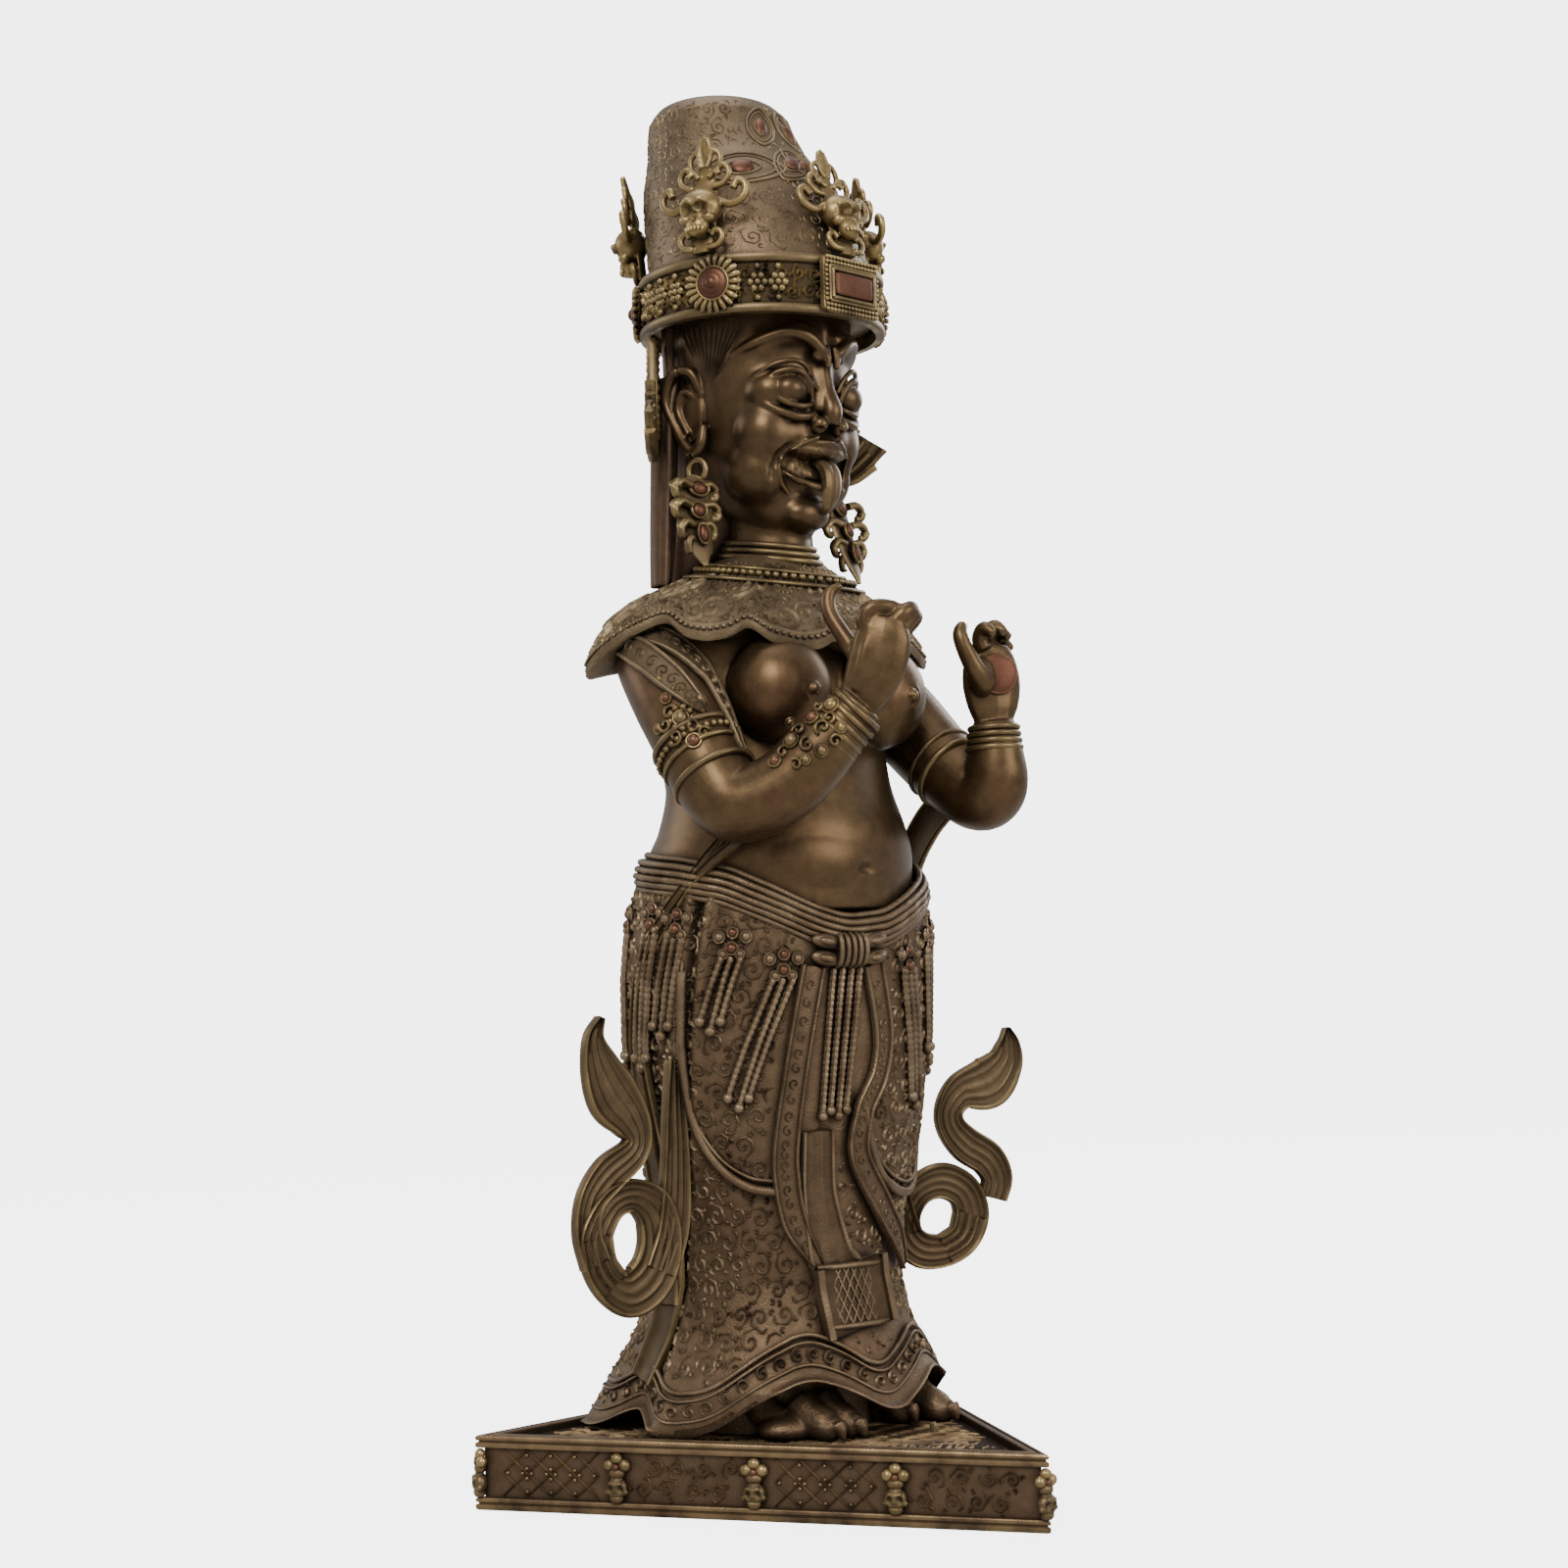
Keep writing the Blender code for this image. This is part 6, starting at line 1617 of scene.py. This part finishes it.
scarves = [
    fluted([(-106, -66, 432), (-101, -52, 420), (-104, -30, 406), (-110, -8, 386), (-118, 12, 352)],
           [(-1, 0, 0.1)] * 5, [6, 4, 3.5, 3.5, 4], PLAIN_EDGE, 40),
    fluted([(110, -62, 452), (117, -36, 436), (121, -14, 410), (122, 0, 370), (121, 8, 320), (117, 12, 262)],
           [(1, -0.1, 0.1)] * 6, [13, 14, 14, 13, 12, 9], PLAIN_EDGE, 60),
]
finished(gather("elbow_scarves", scarves), SCARF_BRASS, "dark_bronze", "figure")


# Head and hair.

masses = [loft(HEAD, 70, 80, 2.2)] + face_masses()
masses.append(loft([(600, 33, 41, 32, 0, 12, 0), (640, 31, 37, 30, 0, 12, 0), (668, 29, 30, 30, 0, 13, 0)], 20, 40))
soft = cast(gather("head_masses", masses), 0.0022, 20)
features = face_parts()
for shape in ear():
    features += [shape, mirrored(shape)]
head = cast(joined("head", [soft, gather("features", features)]), 0.00085, 9, 90000)
press(head, [
    ([(-23, -39, 701), (-10, -49, 697), (0, -51, 696), (10, -49, 697), (23, -39, 701)], 11, [-8, -12, -13, -12, -8]),
    ([(-14, -60, 720), (-27, -50, 713), (-37, -38, 702), (-38, -32, 688)], 4.2, [-2.4, -3.2, -3.2, -1.6]),
    ([(14, -60, 720), (27, -50, 713), (37, -38, 702), (38, -32, 688)], 4.2, [-2.4, -3.2, -3.2, -1.6]),
    ([(-7, -60, 719), (-8.5, -60, 719)], 3.2, -2.6), ([(7, -60, 719), (8.5, -60, 719)], 3.2, -2.6),
    ([(-16, -42, 678), (0, -44, 675), (16, -42, 678)], 4.5, -2.2),
])
finished(head, FACE_BRONZE, "dark_bronze", "figure")

teeth = []
for k in range(-4, 5):
    x = k * 4.6
    teeth.append((BEAD[0] * [2.3, 2.0, 3.2] + (x, -47.5 + 0.032 * x * x, 705.5 - 0.006 * x * x), BEAD[1]))
finished(gather("teeth", teeth), FACE_BRONZE, "dark_bronze", "figure")
finished(gather("tongue", tongue_parts()), SCARF_BRASS, "dark_bronze", "figure")

hair = hair_parts()
locks = []
for side in (-1, 1):
    for k in range(3):
        rows = [(side * (64 + 2.0 * k), 40 + 6 * k, 770), (side * (69 + 1.6 * k), 42 + 6 * k, 735),
                (side * (72 + 1.2 * k), 42 + 6 * k, 690), (side * (75 + k), 41 + 6 * k, 645),
                (side * (78 + 0.5 * k), 40 + 6 * k, 612)]
        locks.append(rope(rows, [3.4, 3.8, 3.8, 3.6, 2.8], [3.2] * 5, [(side * 0.85, -0.5, 0.1)] * 5, 40, 10))
for k in range(15):
    a = math.radians(-70 + 10 * k)
    tip = 592 + 9 * math.sin(2.3 * k) + 6 * abs(math.sin(a))
    sway = 3.0 * math.sin(1.7 * k)
    locks.append(rope([(63 * math.sin(a), 36 + 46 * math.cos(a), 812), (60 * math.sin(a), 40 + 41 * math.cos(a), 765),
                       (57 * math.sin(a) + sway, 46 + 37 * math.cos(a), 700),
                       (59 * math.sin(a) - sway, 58 + 30 * math.cos(a), 640),
                       (54 * math.sin(a) + sway, 63 + 24 * math.cos(a), tip)],
                      [5.4, 5.4, 5.2, 4.8, 2.2], [4.2, 4.2, 4.2, 4.0, 2.0], count=34, around=10))
finished(cast(gather("hair", hair + locks), 0.0014, 1, 34000), HAIR_BRONZE, "dark_bronze", "figure")
head_tree = ray_tree(head)
combs = []
for k in range(12):
    top, foot_end = (694 + 6.2 * k, 333 - 0.6 * k), (716 + 1.5 * k, 392 - 1.6 * abs(k - 5))
    path = [seen(head_tree, top[0] + (foot_end[0] - top[0]) * t, top[1] + (foot_end[1] - top[1]) * t)
            for t in np.linspace(0, 1, 9)]
    line = line_relief(np.array([p[0] for p in path]), np.array([p[1] for p in path]), 1.3, 2.0)
    combs += [line, mirrored(line)]
finished(gather("temple_hair", combs), HAIR_BRONZE, "dark_bronze", "figure")


# Hat and crown.

def hat_shell():
    """The tall hat, with a lip under the band and a rounded top."""
    rows = spline([(z, r, y) for z, r, y in HAT[1:7]], 60)
    rings = [ring(HAT_UNDERSIDE, HAT_RADIUS, HAT_RADIUS, HAT_RADIUS, 0, BAND_CENTRE_Y, around=112)]
    rings += [ring(z, r, r, r, 0, y, around=112) for z, r, y in rows]
    rings += [ring(z, r, r, r, 0, y, around=112) for z, r, y in spline([(z, r, y) for z, r, y in HAT[6:]], 14)[1:]]
    return skin(rings)


def on_hat(u, v):
    """A place on the hat by distance round it and height, and how it faces."""
    radius, y = (np.interp(v, [row[0] for row in HAT], [row[k] for row in HAT]) for k in (1, 2))
    a = u / 70.0
    way = unit((math.sin(a), -math.cos(a), 0.35))
    return np.array((radius * math.sin(a), y - radius * math.cos(a), v)), way


hat_piece = gather("hat_shell", [hat_shell()])
hat_tree = ray_tree(hat_piece)
hat_lines, hat_stones, blocked = [], [], []
HAT_FRAMES = [(776, 130, 20, 11, 1.35, 5.0, 9.0), (757, 170, 33, 16, 0.12, 8.5, 7.5), (808, 168, 24, 14, 0.9, 7.0, 8.0)]
for x, y, long, wide, spin, stone_wide, stone_tall in HAT_FRAMES:
    spot, way = seen(hat_tree, x, y)
    for flip in (1, -1):
        place, face = spot * [flip, 1, 1], way * [flip, 1, 1]
        stone = sized(DOME, max(stone_wide, stone_tall), 3.4, min(stone_wide, stone_tall))
        hat_stones.append(set_on(stone, place, face, spin * flip))
        blocked.append((place, long * 0.8))
        for share, thick in ((1.0, 1.3), (0.8, 0.9), (0.44, 1.0)):
            t = np.linspace(0, 2 * math.pi, 61)[:-1]
            lens = np.stack([long * share * np.cos(t), 0 * t,
                             wide * share * np.sign(np.sin(t)) * np.abs(np.sin(t)) ** 1.4], 1)
            flat, _ = set_on((lens, []), place, face, spin * flip)
            spots, faces_out = lay(hat_tree, flat, np.tile(face, (60, 1)), 20.0)
            hat_lines.append(rope(np.vstack([spots, spots[:1]]), thick, thick, np.vstack([faces_out, faces_out[:1]]),
                                  around=8))


def clear_of_stones(u, v):
    """Whether a place on the hat is clear of its set stones."""
    place = on_hat(u, v)[0]
    return all(np.linalg.norm(place - spot) > size for spot, size in blocked)


strokes = vine((-70 * math.pi, 852), (70 * math.pi, 980), 17.5, 21, 1.5)
hat_lines += chase(hat_tree, strokes, on_hat, 1.1, 0.6, clear_of_stones)
finished(hat_piece, HAT_BRASS, "worn_brass", "hat")
finished(gather("hat_engraving", hat_lines), HAT_BRASS, "worn_brass", "hat", smooth=50.0)
finished(gather("hat_stones", hat_stones), COPPER, "copper_inlay", "hat")

band_shapes, band_stones = [], []
band_profile = [(BAND_INNER, BAND_BOTTOM), (BAND_OUTER, BAND_BOTTOM)]
for rim_low in (BAND_BOTTOM, BAND_TOP - 7):
    band_profile += [(BAND_OUTER - 0.4 + 2.0 * math.sin(t), rim_low + 3.5 - 3.5 * math.cos(t))
                     for t in np.linspace(0.15, math.pi - 0.15, 7)]
    if rim_low == BAND_BOTTOM:
        band_profile += [(BAND_OUTER - 2.0, BAND_BOTTOM + 8), (BAND_OUTER - 2.0, BAND_TOP - 8)]
band_profile += [(BAND_OUTER, BAND_TOP), (BAND_INNER, BAND_TOP)]
band_shapes.append(skin([[around_band(a, r, z) for r, z in band_profile]
                         for a in np.linspace(0, 360, 180, endpoint=False)], hoop=True))
middle = (BAND_BOTTOM + BAND_TOP) / 2
for a in (66, -66, 135, -135):
    t = math.radians(a)
    flower, dome = rosette(around_band(a, BAND_OUTER + 0.4, middle), (math.sin(t), -math.cos(t), 0), 21.0, 22)
    band_shapes += flower
    band_stones += dome
strokes = vine((-math.pi * BAND_OUTER, BAND_BOTTOM + 9), (math.pi * BAND_OUTER, BAND_TOP - 9), 13.0, 8, 1.3)
for stroke in strokes:
    rows = []
    for u, v in stroke:
        t = u / BAND_OUTER
        rows.append((around_band(math.degrees(t), BAND_OUTER - 1.6, v), (math.sin(t), -math.cos(t), 0)))
    if all(BAND_BOTTOM + 7 < v < BAND_TOP - 7 for u, v in stroke):
        band_shapes.append(line_relief(np.array([r[0] for r in rows]), np.array([r[1] for r in rows]), 1.2, 2.6, 0.6))
for a in (-46, -36.5, 36.5, 46, 88, 99, 110, -88, -99, -110, 158, 172, -158, -172):
    t = math.radians(a)
    spot, way = np.array(around_band(a, BAND_OUTER - 0.6, middle)), np.array((math.sin(t), -math.cos(t), 0))
    for k in range(6):
        turn = k * math.pi / 3
        petal = sized(BEAD, 2.7, 2.0, 2.7)
        petal = (petal[0] + [5.2 * math.cos(turn), 0, 5.2 * math.sin(turn)], petal[1])
        band_shapes.append(set_on(petal, spot, way))
    band_shapes.append(set_on(sized(BEAD, 2.6, 3.0, 2.6), spot, way))
    for z in (-11.5, 11.5):
        band_shapes.append(set_on((BEAD[0] * 2.4 + [0, 0, z], BEAD[1]), spot, way))
front = around_band(0, BAND_OUTER + 0.6, middle)
for wide, deep, tall in ((28, 2.4, 21), (24, 3.6, 13)):
    band_shapes.append(set_on(sized(BLOCK, wide, deep, tall), front, (0, -1, 0)))
for z in (-19.0, -15.6, 15.6, 19.0):
    for x in np.linspace(-25, 25, 15):
        band_shapes.append((BEAD[0] * 1.7 + np.array(front) + (x, -2.8, z), BEAD[1]))
for x in (-26, 26):
    for z in np.linspace(-12, 12, 8):
        band_shapes.append((BEAD[0] * 1.7 + np.array(front) + (x, -2.8, z), BEAD[1]))
for wide, tall, rise in ((23.2, 12.6, 3.6), (21.4, 10.4, 5.0)):
    for z in (-tall, tall):
        band_shapes.append(rope([np.array(front) + (-wide, -rise, z), np.array(front) + (wide, -rise, z)], 1.3, count=6))
    for x in (-wide, wide):
        band_shapes.append(rope([np.array(front) + (x, -rise, -tall), np.array(front) + (x, -rise, tall)], 1.3, count=6))
band_stones.append(set_on(sized(BLOCK, 19.5, 6.6, 8.4), front, (0, -1, 0)))
finished(gather("crown_band_work", band_shapes), CROWN_BRASS, "worn_brass", "crown_band", smooth=50.0)
finished(gather("crown_stones", band_stones), COPPER, "copper_inlay", "crown_band")


def leaf_parts():
    """A skull between volutes under a curling flame, facing -Y."""
    parts = [
        ball(0, -6, 34, 16.5, 12, 14), ball(0, -9, 19, 9.0, 7.5, 8), ball(-9.5, -10, 24, 5, 5, 4), ball(9.5, -10, 24, 5, 5, 4),
        rope([(-11, -15, 34), (-5, -18.5, 36), (0, -18, 33), (5, -18.5, 36), (11, -15, 34)], 1.9, count=24),
        rope([(0, -1, 1), (0, 0, 14), (0, 1, 46)], [8, 10, 10], 2.8, [(0, -1, 0)] * 3, 10),
        rope([(0, -1, 44), (0, 0, 56), (0, -1, 70), (0, -4, LEAF_HEIGHT)], [12, 9, 5, 1.2], 2.2, [(0, -1, 0)] * 4, 20),
    ]
    for side in (-1, 1):
        for rows, wide in (
                ([(12, -4, 40), (22, -3, 35), (32, -2, 39), (34, -2, 48), (28, -3, 52), (25, -4, 46)], 3.0),
                ([(8, -3, 50), (16, -2, 53), (20, -2, 60), (16, -3, 66), (11, -3, 63), (13, -4, 59)], 2.4),
                ([(4, -3, 58), (11, -2, 66), (12, -2, 74), (7, -3, 78), (4, -3, 74)], 2.1),
                ([(2, -3, 66), (5, -3, 76), (2, -4, 88)], 1.9),
                ([(6, -4, 4), (14, -3, 6), (17, -3, 13), (12, -4, 17), (9, -4, 13)], 2.4)):
            parts.append(rope([(side * x, y, z) for x, y, z in rows], wide, count=30, around=10))
    return parts


leaf = cast(gather("leaf", leaf_parts()), 0.0007, 2, 9000)
press(leaf, [([(side * 5.6, -18, 29), (side * 6.6, -18, 29)], 5.2, -4.6) for side in (-1, 1)]
      + [([(0, -18, 22.5), (0, -18, 24.5)], 2.4, -2.6)])
leaf_teeth = [(BEAD[0] * [1.5, 1.4, 2.2] + (x, -15.9 + 0.05 * x * x, 15.5), BEAD[1]) for x in np.linspace(-6.5, 6.5, 6)]
leaf = joined("leaf", [leaf, gather("leaf_teeth", leaf_teeth)])
for k in range(5):
    angle = LEAF_STEP * (k - 2)
    spot = Vector(around_band(angle, LEAF_RADIUS, BAND_TOP + LEAF_GAP)) * UNIT
    piece = leaf.copy()
    piece.data = leaf.data.copy()
    bpy.context.scene.collection.objects.link(piece)
    piece.data.transform(Matrix.Translation(spot + Vector((0, 0, GROUND))) @ Matrix.Rotation(math.radians(angle), 4, "Z")
                         @ Matrix.Rotation(math.radians(LEAF_LEAN[abs(k - 2)]), 4, "X")
                         @ Matrix.Translation(Vector((0, 0, -GROUND))))
    piece.name = "crown_flame_" + str(k + 1)
    finished(piece, SKULL_BRASS, "worn_brass", "crown_leaf_" + str(k + 1))
bpy.data.objects.remove(leaf, do_unlink=True)


# Ribbons, earrings, scarf ends and palm discs.

SCARF_PROFILE = [(-1, 0.6), (-0.98, 3.0), (-0.90, 4.2), (-0.80, 3.8), (-0.73, 2.0), (-0.52, 1.6), (-0.44, 2.7), (-0.36, 1.6),
                 (-0.12, 1.6), (0, 2.8), (0.12, 1.6), (0.36, 1.6), (0.44, 2.7), (0.52, 1.6), (0.73, 2.0), (0.80, 3.8),
                 (0.90, 4.2), (0.98, 3.0), (1, 0.6)]


def ribbon_parts():
    """The right crown ribbon, which flips up and out in a pleated fan."""
    facing = np.array((-0.7, 0.71, 0.0))
    start, way = np.array((-70.0, 58.0)), np.array((-0.707, -0.707))

    def spot(q, z):
        return (*(start + way * q), z)

    parts = [fluted([spot(2, 798), spot(9, 772), spot(13, 744), spot(19, 722), spot(32, 714), spot(48, 724),
                     spot(60, 742)], [facing] * 7, [8, 8, 9, 10, 12, 16, 21], np.array(SCARF_PROFILE) * [1, 0.8], 90)]
    parts += beads_along([spot(3, 792), spot(9, 772), spot(13, 744), spot(19, 724)], 5.4, 12)
    for fan in (-18, -9, 0, 9, 18):
        parts.append(rope([spot(24, 720 + 0.2 * fan), spot(42 - 0.25 * fan, 721 + 0.8 * fan),
                           spot(59 - 0.5 * fan, 739 + 1.1 * fan)], [2.0, 2.8, 3.4], 4.2, [facing] * 3, 24, 10))
    return parts


def earring_parts():
    """The right earring: a hoop and a lobed leaf with set stones, hanging forward."""
    facing = np.array((-0.25, -0.95, 0.2))
    shapes = [hoop((-68, 14, 696), (1, 0.2, 0), 7.5, 2.2, 40, 10)]
    shapes.append(rope([(-70, 12, 690), (-74, 11, 680), (-77, 9, 666), (-79, 5, 650), (-80, 0, 636), (-80, -6, 622)],
                       [6, 13, 15, 13, 10, 2], [2.6, 3, 3, 3, 2.8, 1.4], [facing] * 6, 50, 16))
    for side in (-1, 1):
        for height, reach, thick in ((683, 20, 4.6), (668, 21, 4.4), (653, 16, 3.8), (641, 10, 3.0)):
            root = np.array((-77 + (684 - height) * -0.06, 8 - (684 - height) * 0.12, height))
            rows = [root + (side * reach * q, -1.0, dz) for q, dz in ((0.25, 0), (0.7, 2), (1.0, -2), (0.95, -8), (0.7, -9))]
            shapes.append(rope(rows, [thick * 0.8, thick, thick, thick * 0.7, thick * 0.4], 3.0, count=24, around=12))
    stones = []
    for spot, wide, tall in (((-74, 6, 681), 6.6, 5.0), ((-78, 2.5, 664), 5.2, 5.2), ((-79.5, -3.5, 646), 3.8, 6.6)):
        stones.append(set_on(sized(DOME, wide, 3.6, tall), spot, facing))
        rim = hoop((0, 0, 0), (0, 1, 0), 1.0, 0.16, 36, 8)
        shapes.append(set_on((rim[0] * [wide * 1.16, 10, tall * 1.16], rim[1]), spot, facing))
    return shapes, stones


def scarf_parts(side):
    """A scarf end: a fluttering tip, a coil about an open eye and the fall it hangs from."""
    eye, way = np.array(SCARF_EYES[side]), np.array(SCARF_WAYS[side])
    way = way / np.linalg.norm(way)
    facing = (-side * way[1], way[0], 0.0)
    parts = []
    for rows, count, closed in ((SCARF_TAILS[side], 110, False), (SCARF_COILS[side] + SCARF_COILS[side][:3], 120, False),
                                (SCARF_FALLS[side], 50, False)):
        path = [(side * (eye + way * q)[0], (eye + way * q)[1], z) for q, z, wide in rows]
        parts.append(fluted(path, [facing] * len(rows), [r[2] for r in rows], SCARF_PROFILE, count, closed))
    return parts


for name, side in (("right", -1), ("left", 1)):
    finished(gather("scarf_fall_" + name, scarf_parts(side)), SCARF_BRASS, "worn_brass", "scarf_end_" + name)
shapes, stones = earring_parts()
all_stones = []
for name, flip in (("right", False), ("left", True)):
    turn = mirrored if flip else tuple
    finished(gather("ear_jewel_" + name, [turn(s) for s in shapes]), CROWN_BRASS, "worn_brass", "earring_" + name)
    all_stones += [turn(s) for s in stones]
    finished(gather("ribbon_fan_" + name, [turn(s) for s in ribbon_parts()]), CROWN_BRASS, "worn_brass",
             "crown_ribbon_" + name)
finished(gather("ear_stones", all_stones), COPPER, "copper_inlay", "earring_right", "earring_left")
for name, centre, facing, radius in (("right", (-34.5, -137, 548), (0.75, 0.62, 0.1), 11.5),
                                     ("left", (101, -125, 543), (-0.5, -0.87, 0.0), 15)):
    disc = [set_on(sized(DOME, radius, 2.6, radius), centre, facing)]
    disc.append(set_on(hoop((0, 0, 0), (0, 1, 0), radius * 0.94, 1.2, 50, 8), centre, facing))
    finished(gather("palm_inlay_" + name, disc), COPPER, "copper_inlay", "palm_disc_" + name)


# Floor, light and camera. The floor and the backdrop look paler to the camera than they light the statue.

FLOOR_GLOW, SKY_SEEN, SKY_LIGHT = 4.2, 4.8, 0.75

bpy.ops.mesh.primitive_plane_add(size=12.0, location=(0, 0, -0.0005))
floor = bpy.context.object
floor.name = "floor"
paper = bpy.data.materials.new("pale_floor")
paper.use_nodes = True
shader = paper.node_tree.nodes["Principled BSDF"]
shader.inputs["Base Color"].default_value = (0.5, 0.5, 0.495, 1.0)
shader.inputs["Roughness"].default_value = 0.85
shader.inputs["Emission Color"].default_value = (1.0, 1.0, 1.0, 1.0)
rays = paper.node_tree.nodes.new("ShaderNodeLightPath")
glow = ramp_between(paper.node_tree, 0.0, 1.0)
glow.inputs["To Max"].default_value = FLOOR_GLOW
wire(paper.node_tree, rays, "Is Camera Ray", glow, "Value")
wire(paper.node_tree, glow, "Result", shader, "Emission Strength")
floor.data.materials.append(paper)


def lamp(name, place, power, size, colour=(1, 1, 1), aim=(0, 0, 0.55)):
    """A soft lamp aimed at the statue."""
    light = bpy.data.lights.new(name, "AREA")
    light.energy = power
    light.size = size
    light.color = colour
    item = bpy.data.objects.new(name, light)
    item.location = place
    item.rotation_euler = (Vector(aim) - Vector(place)).to_track_quat("-Z", "Y").to_euler()
    bpy.context.scene.collection.objects.link(item)
    return item


lamp("key", (-2.4, -1.6, 2.6), 100, 1.2)
lamp("front", (0.6, -3.0, 1.5), 52, 1.6)
lamp("left", (2.8, 0.2, 1.8), 36, 1.4)
lamp("top", (0.0, 0.3, 3.0), 30, 1.6)
lamp("back", (-1.4, 2.6, 1.7), 24, 1.4)
world = bpy.data.worlds.new("studio")
bpy.context.scene.world = world
world.use_nodes = True
sky = world.node_tree
background = sky.nodes["Background"]
background.inputs["Color"].default_value = (1.0, 1.0, 1.0, 1.0)
rays = sky.nodes.new("ShaderNodeLightPath")
strength = ramp_between(sky, 0.0, 1.0)
strength.inputs["To Min"].default_value = SKY_LIGHT
strength.inputs["To Max"].default_value = SKY_SEEN
wire(sky, rays, "Is Camera Ray", strength, "Value")
wire(sky, strength, "Result", background, "Strength")

camera_data = bpy.data.cameras.new("camera")
camera_data.lens = CAMERA_LENS
camera_data.sensor_width = SENSOR
camera = bpy.data.objects.new("camera", camera_data)
bpy.context.scene.collection.objects.link(camera)
camera.matrix_world = CAMERA_MATRIX
bpy.context.scene.camera = camera
